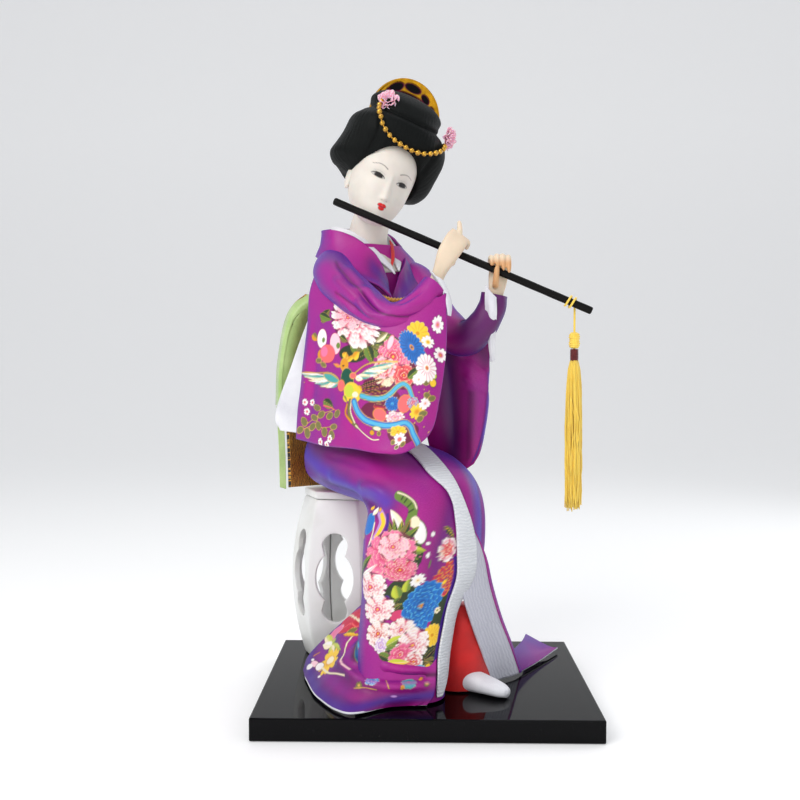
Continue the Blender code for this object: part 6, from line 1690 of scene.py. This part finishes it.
def make_trunk(silk, brocade):
    """Bodice and wound sash over the padded trunk."""
    heights = np.linspace(121.4, 212, 70)
    rings = torso(heights, 1.2 - 1.4 * smoothstep(196, 212, heights)[:, None], 100)
    u, v = cloth_of(rings, True)
    rings += normals_of(rings, True) * (0.35 * ripple(u, v * 0.4, 14, 5))[..., None]
    bodice = add_tube("bodice", rings, silk, "purple_silk", ["kimono_bodice"], plain_print, capped=False)
    wound = torso(np.linspace(134, 180, 46), 3.4, 120)
    u, v = cloth_of(wound, True)
    layers = 0.3 * np.sin(v * 2 * math.pi / 15.3)
    wound += normals_of(wound, True) * (layers + 0.15 * ripple(u, v, 12, 6))[..., None]
    sash = add_tube("sash", wound, brocade, "gold_brocade", ["obi_sash"], capped=False)


def band_grid(path, widths, lean, rows, columns):
    """A strip along a path, its width laid along the leaning direction."""
    middle = spread(path, rows)
    widths = np.interp(np.linspace(0, 1, rows), np.linspace(0, 1, len(widths)), widths)
    lean = spread(lean, rows)
    lean /= np.linalg.norm(lean, axis=1, keepdims=True)
    across = np.linspace(-1, 1, columns)[None, :, None] * (widths[:, None, None] / 2)
    return middle[:, None] + across * lean[:, None]


def outward_lean(path, centre, rise):
    """At each point of a path, a direction away from a centre and downwards."""
    away = np.asarray(path, float) - np.asarray(centre, float)
    away[:, 2] = 0
    away /= np.linalg.norm(away, axis=1, keepdims=True)
    away[:, 2] = -rise
    return away


UNDER_COLLAR = (
    (27.4, -39.8, 197.6), (23.4, -39.8, 201.6), (17.9, -38.9, 206.0), (10.6, -37.0, 211.4),
    (3.2, -33.3, 214.8), (-4.0, -28.0, 217.0),
    (-6.5, -20.0, 218.0), (-1.0, -11.0, 218.5), (11.0, -6.5, 218.8), (23.0, -10.0, 216.0),
    (28.5, -19.0, 211.0),
    (29.5, -28.0, 205.0), (29.2, -35.5, 199.6),
)
UNDER_WIDTHS = (5, 6, 7, 7, 7, 7, 7, 7, 7, 7, 6, 6, 5)
RED_COLLAR = ((25.5, -28.5, 213.5), (26.2, -31.5, 209.5), (26.4, -34.5, 205.5), (26.0, -37.0, 202.0))
OUTER_COLLAR = (
    (27.0, -46.0, 178.5), (25.0, -46.4, 189.4), (20.0, -46.2, 196.8), (13.0, -44.6, 201.6),
    (4.0, -41.4, 206.8), (-4.5, -35.5, 210.4),
    (-10.6, -24.0, 212.6), (-6.0, -10.5, 215.5), (10.0, -3.0, 216.5), (25.0, -6.5, 214.0),
    (34.0, -17.0, 206.0),
    (36.4, -29.0, 198.0), (33.0, -39.0, 189.5), (28.6, -43.4, 180.0),
)
OUTER_WIDTHS = (10, 16, 20, 21, 19, 16, 13, 13, 13, 13, 13, 14.5, 15, 12)
SASH_CORD = ((19.0, -49.5, 186.4), (25.0, -52.6, 184.0), (31.0, -51.6, 183.8), (36.0, -48.0, 185.4))


def make_collars(white, red, silk, gold):
    """White, red and purple collars and the sash's cord."""
    centre = (14.0, -24.0, 0)
    lean = outward_lean(UNDER_COLLAR, centre, 1.3)
    under = band_grid(place(UNDER_COLLAR) - 1.0 * lean, UNDER_WIDTHS, lean, 150, 14)
    add_sheet("collar_white", under, 0.9, white, "white_silk", ["under_collar"])
    slip = band_grid(place(RED_COLLAR), (3, 3.4, 3.2, 2), outward_lean(RED_COLLAR, centre, 1.3), 40, 8)
    add_sheet("collar_red", slip, 0.8, red, "red_silk", ["red_collar"])
    lean = outward_lean(OUTER_COLLAR, centre, 1.5)
    lean[5:8, :2] *= 0.35
    outer = band_grid(place(OUTER_COLLAR) - 0.5 * lean, OUTER_WIDTHS, lean, 170, 34)
    u, v = cloth_of(outer)
    bulge = 0.9 * np.sin(math.pi * np.clip(u / u.max(), 0, 1)) + 0.25 * ripple(u, v, 9, 9)
    outer += normals_of(outer) * bulge[..., None]
    add_sheet("collar_purple", outer, 1.3, silk, "purple_silk", ["kimono_collar"],
                      print_and_shade(COLLAR_SHADE))
    cord = tube(spread(place(SASH_CORD), 90), 1.0, 24)
    u, v = cloth_of(cord, True)
    cord += normals_of(cord, True) * (0.2 * np.sin(2 * math.pi * (v / 1.6 + u / u.max())))[..., None]
    add_tube("sash_cord", cord, gold, "gold_brocade")


def plain_print(u, v):
    """No print: zero cover all over."""
    return Canvas(u, v).result()


def far_arm_shade(u, v):
    """Plain silk with painted shade, darker towards the sleeve's mouth."""
    canvas = Canvas(u, v)
    canvas.lay(0.75 * smoothstep(46, 64, v), "dusk")
    return canvas.result()


RIGHT_ARM = (
    (4.0, -20.0, 203.0), (-1.5, -31.0, 200.0), (0.0, -45.0, 194.5), (8.9, -58.0, 185.5),
    (17.7, -66.0, 179.0), (25.1, -71.0, 175.5),
    (32.3, -71.0, 176.5), (39.6, -68.0, 181.8), (46.0, -64.5, 188.8),
)
RIGHT_ARM_RADII = (10.5, 10.6, 10.0, 8.7, 7.5, 6.4, 6.1, 6.1, 6.3)
RIGHT_ARM_FOLDS = (
    (6, 30, 8, 53, 2.0, -2.0), (8, 52, 17, 71, 1.8, -2.6), (2, 34, 2, 52, 3.6, 1.2),
    (2, 52, 10, 68, 3.2, 1.4),
    (13, 38, 14, 56, 2.6, 1.7), (14, 55, 22, 68, 2.4, 2.0), (20, 44, 21, 60, 1.8, -1.3),
    (24, 50, 27, 68, 2.0, 1.2),
    (17, 72, 29, 84, 2.0, -1.8), (28, 83, 37, 95, 1.8, -1.0), (10, 76, 24, 92, 3.0, 1.1),
    (34, 78, 42, 94, 2.4, 0.9),
    (6, 74, 10, 92, 2.0, -1.0), (70, 40, 68, 62, 3.0, 1.0), (64, 44, 62, 70, 2.4, -1.2),
)
ARM_ROUND = 75.0
ARM_COLUMNS = 112
POUCH_TOP_ROW = 51
POUCH = (
    ((-9.5, -34.0, 202), (-2.0, -47.0, 193), (12.0, -62.5, 183), (27.8, -70.9, 179), (41.9, -71.9, 180.8),
     (51.4, -67.9, 184.6)),
    ((-13.8, -38.0, 188), (0.0, -52.0, 182), (14.0, -64.0, 178), (28.0, -71.0, 178), (42.0, -72.0, 180),
     (51.5, -68.0, 184)),
    ((-15.0, -38.5, 170), (-1.0, -53.5, 170), (13.0, -66.0, 169), (27.0, -74.5, 168), (40.0, -76.0, 166),
     (51.6, -72.5, 163)),
    ((-17.5, -39.0, 148), (-2.5, -55.0, 147), (12.0, -69.0, 146), (26.0, -78.0, 145), (38.5, -80.5, 144),
     (49.5, -77.0, 143)),
    ((-19.6, -39.5, 128), (-4.5, -56.5, 125.5), (10.0, -71.0, 124), (24.0, -80.5, 122), (36.0, -83.0, 122),
     (46.0, -79.5, 127)),
    ((-20.2, -39.5, 117), (-5.2, -57.0, 115.2), (9.2, -71.5, 115), (22.0, -81.5, 114),
     (33.0, -84.0, 114.6), (42.0, -80.5, 121)),
)
POUCH_FOLDS = (
    (4, 6, 6, 62, 3.0, 0.7), (11, 20, 10, 66, 3.2, -0.6), (74, 10, 76, 60, 4.0, 0.8),
    (80, 14, 84, 56, 2.2, -0.6),
    (30, 52, 52, 66, 4.0, 0.5), (22, 40, 28, 66, 3.0, -0.4),
)
LEFT_POUCH_FOLDS = (
    (14, 6, 18, 60, 4.0, -2.2), (25, 8, 28, 62, 3.5, 1.6), (20, 10, 33, 20, 1.8, -1.2),
    (22, 20, 34, 30, 2.0, 0.9),
    (32, 26, 31, 66, 2.2, -0.8),
)


def make_right_sleeve(silk, white):
    """Near sleeve: the arm, the long hanging pouch and its lining."""
    rings = tube(spread(place(RIGHT_ARM), 170), spread([[r] for r in RIGHT_ARM_RADII], 170)[:, 0],
                 ARM_COLUMNS)
    rings = np.roll(rings, ARM_COLUMNS // 2, 1)
    u, v = cloth_of(rings, True)
    u *= ARM_ROUND / u.max()
    rings += normals_of(rings,
                        True) * (0.7 * ridge(u, v, RIGHT_ARM_FOLDS) + 0.3 * ripple(u, v, 13, 11))[..., None]
    arm = add_tube("arm_right", rings, silk, "purple_silk", (), print_and_shade(ARM_SHADE), False, (u, v))
    grid = surface(place(POUCH), 255, 225)
    u, v = cloth_of(grid)
    out, half = facing_out(grid), thinned(grid, 2.6)
    relief = ridge(u, v - v[POUCH_TOP_ROW], POUCH_FOLDS) + 0.3 * ripple(u, v, 22, 12)
    front, back = grid + out * (half + relief)[..., None], grid - out * (half - relief)[..., None]
    pouch = add_lined("pouch_right", front, back, 8, silk, "purple_silk", ["right_sleeve"],
                      print_and_shade(POUCH_PRINT), POUCH_TOP_ROW)
    lining = place([
        [(-14.0, -33.5, 178), (-8.0, -35.0, 178), (0.0, -44.0, 178)],
        [(-24.0, -30.0, 152), (-14.0, -33.5, 152), (-3.0, -46.5, 152)],
        [(-32.0, -28.5, 129), (-20.0, -33.5, 126), (-6.0, -48.0, 122)],
        [(-29.5, -29.0, 120.5), (-19.5, -34.0, 119.5), (-7.0, -49.0, 118)],
    ])
    inner = surface(lining, 60, 36)
    u, v = cloth_of(inner)
    inner += normals_of(inner) * (0.5 * ripple(u, v * 0.4, 10, 13))[..., None]
    add_sheet("lining_right", inner, 1.0, white, "white_silk", ["right_sleeve_lining"])


LEFT_ARM = (
    (28.0, -15.0, 199.0), (37.0, -19.5, 194.5), (45.0, -28.0, 181.0), (53.0, -38.0, 170.5),
    (61.0, -44.5, 166.0), (68.0, -48.5, 170.5), (73.3, -50.0, 179.5),
    (74.8, -50.3, 186.5),
)
LEFT_ARM_RADII = (7.5, 9.6, 10.2, 9.6, 8.6, 7.6, 6.8, 6.3)
LEFT_POUCH = (
    ((38.0, -30.0, 178), (50.0, -37.0, 172), (62.0, -42.5, 166), (73.5, -45.0, 172)),
    ((39.0, -30.0, 160), (50.0, -36.0, 156), (62.0, -40.5, 153), (73.0, -43.0, 153)),
    ((41.0, -28.5, 135), (51.0, -34.0, 133), (62.0, -38.0, 132), (72.5, -40.0, 132)),
    ((45.0, -27.0, 114), (52.5, -31.5, 110), (61.0, -35.0, 108), (69.5, -37.0, 112)),
    ((48.0, -26.5, 106), (53.5, -30.5, 102), (60.0, -33.5, 101), (66.5, -35.5, 105)),
)


def make_left_sleeve(silk):
    """Far sleeve: the arm and its hanging pouch."""
    rings = tube(spread(place(LEFT_ARM), 80), spread([[r] for r in LEFT_ARM_RADII], 80)[:, 0], 70)
    u, v = cloth_of(rings, True)
    rings += normals_of(rings, True) * (0.4 * ripple(u, v, 12, 21))[..., None]
    add_tube("arm_left", rings, silk, "purple_silk", (), far_arm_shade, capped=False)
    grid = surface(place(LEFT_POUCH), 90, 50)
    u, v = cloth_of(grid)
    grid += facing_out(grid) * (ridge(u, v, LEFT_POUCH_FOLDS) + 0.4 * ripple(u, v * 0.5, 18, 22))[..., None]
    add_sheet("pouch_left", grid, 2.6, silk, "purple_silk", ["left_sleeve"], print_and_shade(LEFT_SHADE))


def make_cuffs(white):
    """The two soft cuffs at the wrists."""
    right = surface(place([
        [(44.0, -64.5, 196.5), (46.5, -67.5, 194.0), (50.5, -66.5, 191.5)],
        [(48.5, -66.0, 188.0), (50.5, -68.5, 186.0), (53.5, -66.5, 184.5)],
        [(50.8, -68.6, 180.5), (52.0, -70.0, 180.0), (54.0, -68.6, 179.4)],
        [(51.8, -69.4, 176.0), (52.6, -70.2, 175.6), (53.6, -69.8, 175.4)],
    ]), 80, 24)
    left = surface(place([
        [(70.0, -57.5, 190.5), (72.2, -58.8, 187.5), (75.0, -58.8, 184.5)],
        [(70.0, -57.0, 183.0), (72.2, -58.2, 179.5), (75.4, -57.2, 177.0)],
        [(71.4, -52.0, 168.0), (73.0, -52.6, 167.0), (75.2, -51.6, 168.2)],
        [(73.3, -47.8, 155.0), (74.2, -48.2, 155.0), (75.5, -47.6, 155.6)],
    ]), 90, 24)
    for name, node, grid in (("cuff_right", "right_cuff", right), ("cuff_left", "left_cuff", left)):
        u, v = cloth_of(grid)
        grid = grid + normals_of(grid) * (0.4 * ripple(u * 2, v * 0.4, 7, 31))[..., None]
        add_sheet(name, grid, 0.5, white, "white_silk", [node])


LAP_TURN = 33.5
LAP_SECTIONS = (
    ((-3.0, 5.0, 103.5), 16.0, (0, 0, 9.0)), ((2.0, -4.0, 105.5), 25.0, (0, 0, 15.0)),
    ((9.0, -15.0, 105.0), 28.5, (0, 0, 15.5)),
    ((20.0, -33.0, 102.5), 29.0, (0, 0, 14.5)), ((34.0, -54.0, 100.0), 28.5, (1.5, -2.0, 13.5)),
    ((41.5, -65.0, 92.5), 28.5, (6.5, -9.0, 9.5)), ((42.5, -67.5, 80.0), 28.5, (8.0, -12.0, 3.0)),
    ((41.0, -66.5, 62.0), 28.0, (6.0, -12.5, 0)), ((35.0, -66.5, 44.0), 22.0, (4.5, -13.0, 0)),
    ((32.0, -66.5, 26.0), 20.5, (3.5, -13.5, 0)), ((31.0, -67.0, 12.0), 20.5, (3.0, -14.0, 0)),
    ((30.0, -67.5, 1.2), 21.5, (2.5, -15.0, 0)),
)
SKIRT_FOLDS = (
    (97, 16, 101, 50, 3.2, 1.2), (101, 48, 100, 80, 3.0, 2.0), (100, 78, 88, 100, 2.4, 1.6),
    (107, 44, 107, 84, 2.6, -1.6),
    (105, 84, 92, 105, 2.0, -1.2), (92, 40, 90, 84, 2.4, -0.8), (84, 30, 82, 80, 4.0, 0.8),
    (63, 96, 64, 160, 4.5, -0.9),
    (74, 90, 76, 130, 5.0, 0.7), (100, 106, 96, 150, 3.0, 0.7), (52, 84, 54, 120, 3.5, 0.8),
    (44, 90, 45, 125, 2.2, -0.8),
)
TRAIN_FOLDS = (
    (9, 34, 12, 57, 2.2, 1.8), (12, 56, 16, 84, 2.2, 1.8), (17, 40, 19, 62, 2.8, -2.6),
    (19, 60, 21, 86, 2.8, -2.6),
    (22, 26, 24, 52, 2.4, 1.8), (24, 50, 26, 86, 2.4, 1.8), (4, 14, 12, 34, 3.2, -2.4),
    (14, 4, 16, 30, 3.0, 1.2), (31, 20, 33, 60, 2.6, -0.6),
)
TRAIN = (
    ((12.0, -50.0, 38.0), (-7.0, -36.0, 17.5), (-15.0, -33.0, 8.0), (-17.5, -33.0, 1.2)),
    ((13.5, -58.0, 37.0), (-3.0, -48.0, 15.0), (-10.0, -48.0, 6.0), (-14.0, -50.0, 1.2)),
    ((17.0, -68.0, 35.0), (5.0, -66.0, 14.0), (-2.0, -70.0, 6.0), (-6.0, -74.0, 1.2)),
    ((24.0, -77.0, 30.0), (16.0, -80.0, 12.0), (11.0, -86.0, 5.0), (8.5, -93.0, 1.2)),
    ((33.0, -77.5, 26.0), (29.0, -82.5, 12.0), (28.0, -84.0, 5.0), (27.5, -83.0, 1.2)),
    ((47.5, -74.0, 24.0), (47.0, -78.5, 12.0), (46.0, -80.5, 5.0), (43.0, -81.5, 1.2)),
)


SKIRT_SPLIT, SKIRT_END, SEAM_ROW = 4.4, 11.0, 66


BACK_SHARES = (0.03, 0.3, 0.55, 0.75, 0.9, 0.97)


def lap_rings(angle, steps):
    """Squared-up rings of the skirt at steps along its sections, turning as it falls to the board."""
    widths = []
    for number, (centre, half, depth) in enumerate(LAP_SECTIONS):
        turn = math.radians(LAP_TURN if number < 6 else LAP_TURN - 5.5 * min(number - 5, 4))
        across = np.array([math.cos(turn), math.sin(turn), 0.0])
        widths.append(ring_points(centre, across * half, depth, angle, 2.7))
    return place(curve_through(np.array(widths), steps))


def make_skirt(silk, white):
    """Skirt in two parts that share one ring, and the train on the board."""
    angle = np.radians(np.concatenate([
        np.linspace(-90, -15, 14, endpoint=False), np.linspace(-15, 200, 188, endpoint=False),
        np.linspace(200, 270, 16, endpoint=False),
    ]))
    seam = SEAM_ROW
    steps = np.concatenate([np.linspace(0, SKIRT_SPLIT, seam, endpoint=False),
                            np.linspace(SKIRT_SPLIT, SKIRT_END, 270)])
    rings = lap_rings(angle, steps)
    u, v = cloth_of(rings, True)
    rings += normals_of(rings, True) * (ridge(u, v, SKIRT_FOLDS) + 0.35 * ripple(u, v, 20, 41))[..., None]
    shrunk = np.array(BACK_SHARES)[:, None, None]
    middle = rings[0].mean(0)
    back = middle + shrunk * (rings[0] - middle) + np.sqrt(1 - shrunk**2) * np.array([-3.5, 5.5, 0.0])
    first = len(BACK_SHARES)
    lead = np.broadcast_to(9 * shrunk[..., 0] - 9, u[:first].shape)
    on_cloth = np.concatenate([u[:first], u[: seam + 1]]), np.concatenate([lead, v[: seam + 1]])
    lap = add_tube("skirt_lap", np.concatenate([back, rings[: seam + 1]]), silk, "purple_silk",
                   ["kimono_skirt"], print_and_shade(SKIRT_SHEEN), False, on_cloth)
    front = add_tube("skirt_front", rings[seam:], silk, "purple_silk", (),
                     print_and_shade(SKIRT_SHEEN + SKIRT_PRINT + EDGE_PRINT), False, (u[seam:], v[seam:]))
    grid = surface(place(TRAIN), 150, 105)
    u, v = cloth_of(grid)
    grid += rising(grid) * (ridge(u, v, TRAIN_FOLDS) + 0.3 * ripple(u, v, 14, 42))[..., None]
    train = add_sheet("train", grid, 1.2, silk, "purple_silk", (),
                      print_and_shade(TRAIN_SHEEN + TRAIN_PRINT + TRAIN_SHADE))
    add_tube("hem_piping", tube(grid[:, -1] + [0, 0, 0.2], 0.5, 10), white, "white_silk")


def on_skirt(steps, degrees, stand_off):
    """Points over the skirt at given section steps and ring angles, read between a fine grid."""
    finer = 40
    grid = lap_rings(np.radians(np.arange(-90, 271)), np.linspace(0, SKIRT_END, int(SKIRT_END * finer) + 1))
    grid += normals_of(grid) * stand_off
    i, j = np.clip(steps * finer, 0, len(grid) - 1.001), np.clip(degrees + 90, 0, 359.999)
    i0, j0 = i.astype(int), j.astype(int)
    fi, fj = (i - i0)[..., None], (j - j0)[..., None]
    near = grid[i0, j0] * (1 - fj) + grid[i0, j0 + 1] * fj
    return near * (1 - fi) + (grid[i0 + 1, j0] * (1 - fj) + grid[i0 + 1, j0 + 1] * fj) * fi


EDGE = np.array([
    (3.6, 97, 78), (4.2, 94, 81), (4.8, 95, 82), (5.2, 90, 80), (5.6, 86, 75), (6.0, 84, 68),
    (6.5, 81, 59), (6.9, 77, 52),
    (7.3, 71, 42), (7.85, 62, 26), (8.4, 57, 19), (8.9, 56, 18), (9.6, 55, 22), (10.2, 54, 30),
    (10.8, 52, 42),
])
FLAP = (
    ((60.5, -73.2, 78.0), (64.5, -70.8, 78.0)), ((61.8, -72.8, 70.0), (68.0, -67.8, 70.5)),
    ((60.0, -72.0, 60.0), (71.0, -62.0, 62.0)),
    ((59.8, -70.0, 48.0), (74.0, -53.5, 49.0)), ((64.4, -63.9, 32.0), (79.0, -45.5, 32.0)),
    ((70.0, -57.5, 16.0), (85.0, -39.0, 16.0)),
    ((74.5, -51.5, 1.4), (90.0, -34.0, 1.4)),
)


def make_lining(white, lengthwise, silk):
    """The turned-out white edge, the ribbed flap with its trim, and the trailing corner."""
    steps, left, right = spread(EDGE, 170).T
    share = np.linspace(0, 1, 20)
    degrees = left[:, None] + (right - left)[:, None] * share
    laid = on_skirt(np.repeat(steps[:, None], 20, 1), degrees, 1.3)
    u, v = cloth_of(laid)
    laid += normals_of(laid) * (0.35 * ripple(u, v * 0.5, 12, 71))[..., None]
    add_sheet("edge_lining", laid, 1.0, white, "white_silk", ["lining_edge"])
    flap = surface(place(FLAP), 90, 40)
    u, v = cloth_of(flap)
    flap += normals_of(flap) * (0.8 * np.sin(u / u.max() * 2 * math.pi) * smoothstep(20, 90, v))[..., None]
    add_sheet("flap_lining", flap, 1.0, lengthwise, "white_silk", ["lining_flap"])
    trim = flap[:, 35:] + facing_out(flap)[:, 35:] * 0.55
    add_sheet("flap_trim", trim, 0.5, silk, "purple_silk", (), plain_print)
    tail = surface(place([
        [(85.4, -37.6, 12.5), (87.4, -35.6, 7.0), (90.0, -33.6, 1.6)],
        [(93.0, -12.0, 10.5), (99.0, -15.0, 5.4), (101.0, -17.0, 1.6)],
        [(97.0, 8.0, 8.0), (108.0, 0.0, 4.0), (113.5, 4.0, 2.2)],
    ]), 60, 34)
    add_sheet("corner", tail, 1.4, silk, "purple_silk", ["skirt_corner"], plain_print)
    for name, path in (("corner_piping", tail[:, -1]), ("corner_side_piping", tail[0])):
        add_tube(name, tube(path, 0.5, 10), white, "white_silk")


def make_underskirt(red, white):
    """The red underskirt, and the white foot below it."""
    angle = np.arange(70) * 2 * math.pi / 70
    rings = [ring_points((x, y, z), (w, w * 0.5, 0), (d * 0.4, -d, 0), angle) for z, x, y, w, d in (
        (0.8, 60.5, -47.0, 15.0, 13.5), (8.0, 60.3, -48.0, 14.0, 13.0), (22.0, 59.5, -51.0, 11.0, 10.5),
        (33.0, 60.0, -54.5, 8.0, 8.0), (41.0, 59.2, -57.0, 3.6, 4.4))]
    rings = place(spread(np.array(rings), 60))
    u, v = cloth_of(rings, True)
    rings += normals_of(rings, True) * (0.4 * ripple(u, v * 0.3, 14, 51))[..., None]
    add_tube("underskirt", rings, red, "red_silk", ["red_underskirt"])
    path = [(57.0, -55.5, 5.4), (64.0, -58.5, 5.2), (71.0, -62.8, 4.3), (77.0, -66.8, 3.3),
            (80.2, -68.8, 2.6)]
    sizes = ((5.0, 5.2), (5.6, 5.0), (5.8, 3.9), (5.2, 2.9), (3.0, 2.0))
    angle = np.arange(60) * 2 * math.pi / 60
    rings = [ring_points(p, (w * 0.55, w * 0.83, 0), (0, 0, h), angle, 2.3) for p,
             (w, h) in zip(path, sizes)]
    foot = place(spread(np.array(rings), 50))
    split = np.exp(-(((np.cos(angle) + 0.15) / 0.13) ** 2)) * (np.sin(angle) > 0)
    foot[..., 2] -= 1.5 * split * smoothstep(0.62, 0.9, np.linspace(0, 1, 50))[:, None]
    add_tube("foot", foot, white, "white_silk", ["tabi_foot"])


BOW_FOLDS = (
    (5, 0, 3, 56, 1.6, -1.1), (10, 2, 9, 50, 2.0, 1.1), (15, 6, 14, 56, 1.6, -1.0),
    (22, 0, 24, 56, 2.4, 0.9), (32, 0, 31, 56, 2.2, -1.0),
    (42, 0, 44, 56, 2.4, 0.9), (52, 4, 51, 56, 2.0, -0.9),
)


def make_bow(green, brocade):
    """The bow behind, with its piping, and the hanging tail with its green edge."""
    low = 132.0
    bow = surface(place([
        [(-17.0, -12.0, low + 55), (-7.0, -5.0, low + 57), (3.0, 1.0, low + 57), (19.0, 10.0, low + 53)],
        [(-27.0, -12.0, low + 45), (-12.0, -1.5, low + 47), (2.0, 5.5, low + 47), (25.0, 18.0, low + 44)],
        [(-32.0, -13.0, low + 22), (-15.0, -2.0, low + 23), (1.0, 6.5, low + 23), (27.0, 20.0, low + 22)],
        [(-33.0, -12.0, low), (-16.0, -2.5, low), (0.0, 6.0, low), (25.0, 19.0, low)],
    ]), 70, 70)
    u, v = cloth_of(bow)
    bow += normals_of(bow) * (0.5 * ripple(u, v * 0.5, 14, 61) + ridge(u, v, BOW_FOLDS))[..., None]
    loops = add_sheet("bow", bow, 7.0, green, "green_satin", ["obi_bow"])
    add_tube("bow_piping", tube(bow[:, 1] + normals_of(bow)[:, 1] * 3.4, 0.5, 10), brocade, "gold_brocade")
    top = low - 0.3
    tail = surface(place([
        [(-29.0, -11.5, top), (-15.5, -1.0, top), (0.0, 7.5, top)],
        [(-27.5, -14.0, 110.0), (-16.0, 0.5, 110.0), (-1.0, 11.0, 110.0)],
        [(-26.5, -17.0, 90.5), (-15.5, 0.0, 89.5), (-2.0, 10.5, 89.5)],
    ]), 55, 55)
    add_sheet("tail", tail, 1.8, brocade, "gold_brocade", ["obi_tail"])
    strip = surface(place([
        [(-33.8, -13.2, top), (-30.6, -12.2, top)], [(-32.4, -14.6, 110.0), (-29.2, -14.0, 110.0)],
        [(-31.6, -16.6, 90.5), (-28.4, -16.4, 89.5)],
    ]), 60, 14)
    u, v = cloth_of(strip)
    strip += normals_of(strip) * (0.4 * ripple(u, v, 9, 62))[..., None]
    add_sheet("tail_edge", strip, 1.2, green, "green_satin", ["obi_tail_lining"])


def main():
    """Makes all pieces."""
    make_stage()
    yellow = make_thread("yellow_silk", (255, 234, 110), (240, 184, 44))
    maroon = make_thread("maroon_thread", (120, 30, 30), (50, 6, 10))
    make_tassel(yellow, maroon)
    make_board()
    white = make_paint()
    for index in range(6):
        make_stave(index, white)
    make_seat(white)
    face, hands = make_skin("pale_face", (226, 218, 208)), make_skin("cream_hands", (228, 208, 182))
    make_head(face)
    make_hair(make_hair_finish())
    gilt = make_gilt("gilt", (222, 168, 52), 0.2)
    make_comb(make_gilt("gilt_comb", (208, 150, 22), 0.24, True))
    make_chain(gilt)
    petal = make_petal()
    make_flower("flower_left", (-13.8, -12.0, 32.0), (-0.6, -1.0, 0.3), petal, "hair_flower_left", 0.0, 5.4)
    make_flower("flower_right", (22.0, -10.5, 28.5), (0.75, -0.9, 0.1), petal, "hair_flower_right",
                1.7, 5.8)
    make_flute(make_flute_finish())
    make_hands(hands)
    silk = make_silk()
    plain_white = make_plain_cloth("white_silk", (236, 236, 240), (206, 206, 214))
    ribbed = make_ribbed("ribbed_lining", (236, 238, 240), (176, 180, 190), 1.5, math.pi / 2, 1.0)
    lengthwise = make_ribbed("ribbed_flap", (226, 226, 236), (160, 160, 178), 1.7, 0.0, 1.0)
    red = make_plain_cloth("red_silk", (226, 16, 14), (170, 6, 8))
    brocade = make_brocade()
    green = make_plain_cloth("green_satin", (184, 210, 138), (148, 182, 104), 0.32)
    make_trunk(silk, brocade)
    make_collars(plain_white, red, silk, make_thread("gold_thread", (238, 186, 80), (150, 90, 24)))
    make_right_sleeve(silk, plain_white)
    make_left_sleeve(silk)
    make_cuffs(plain_white)
    make_skirt(silk, plain_white)
    make_lining(ribbed, lengthwise, silk)
    make_underskirt(red, plain_white)
    make_bow(green, brocade)
    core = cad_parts["padded_core"].data
    core.materials.clear()
    core.materials.append(make_plain_cloth("padding", (205, 196, 180), (180, 170, 150), 0.8))


main()
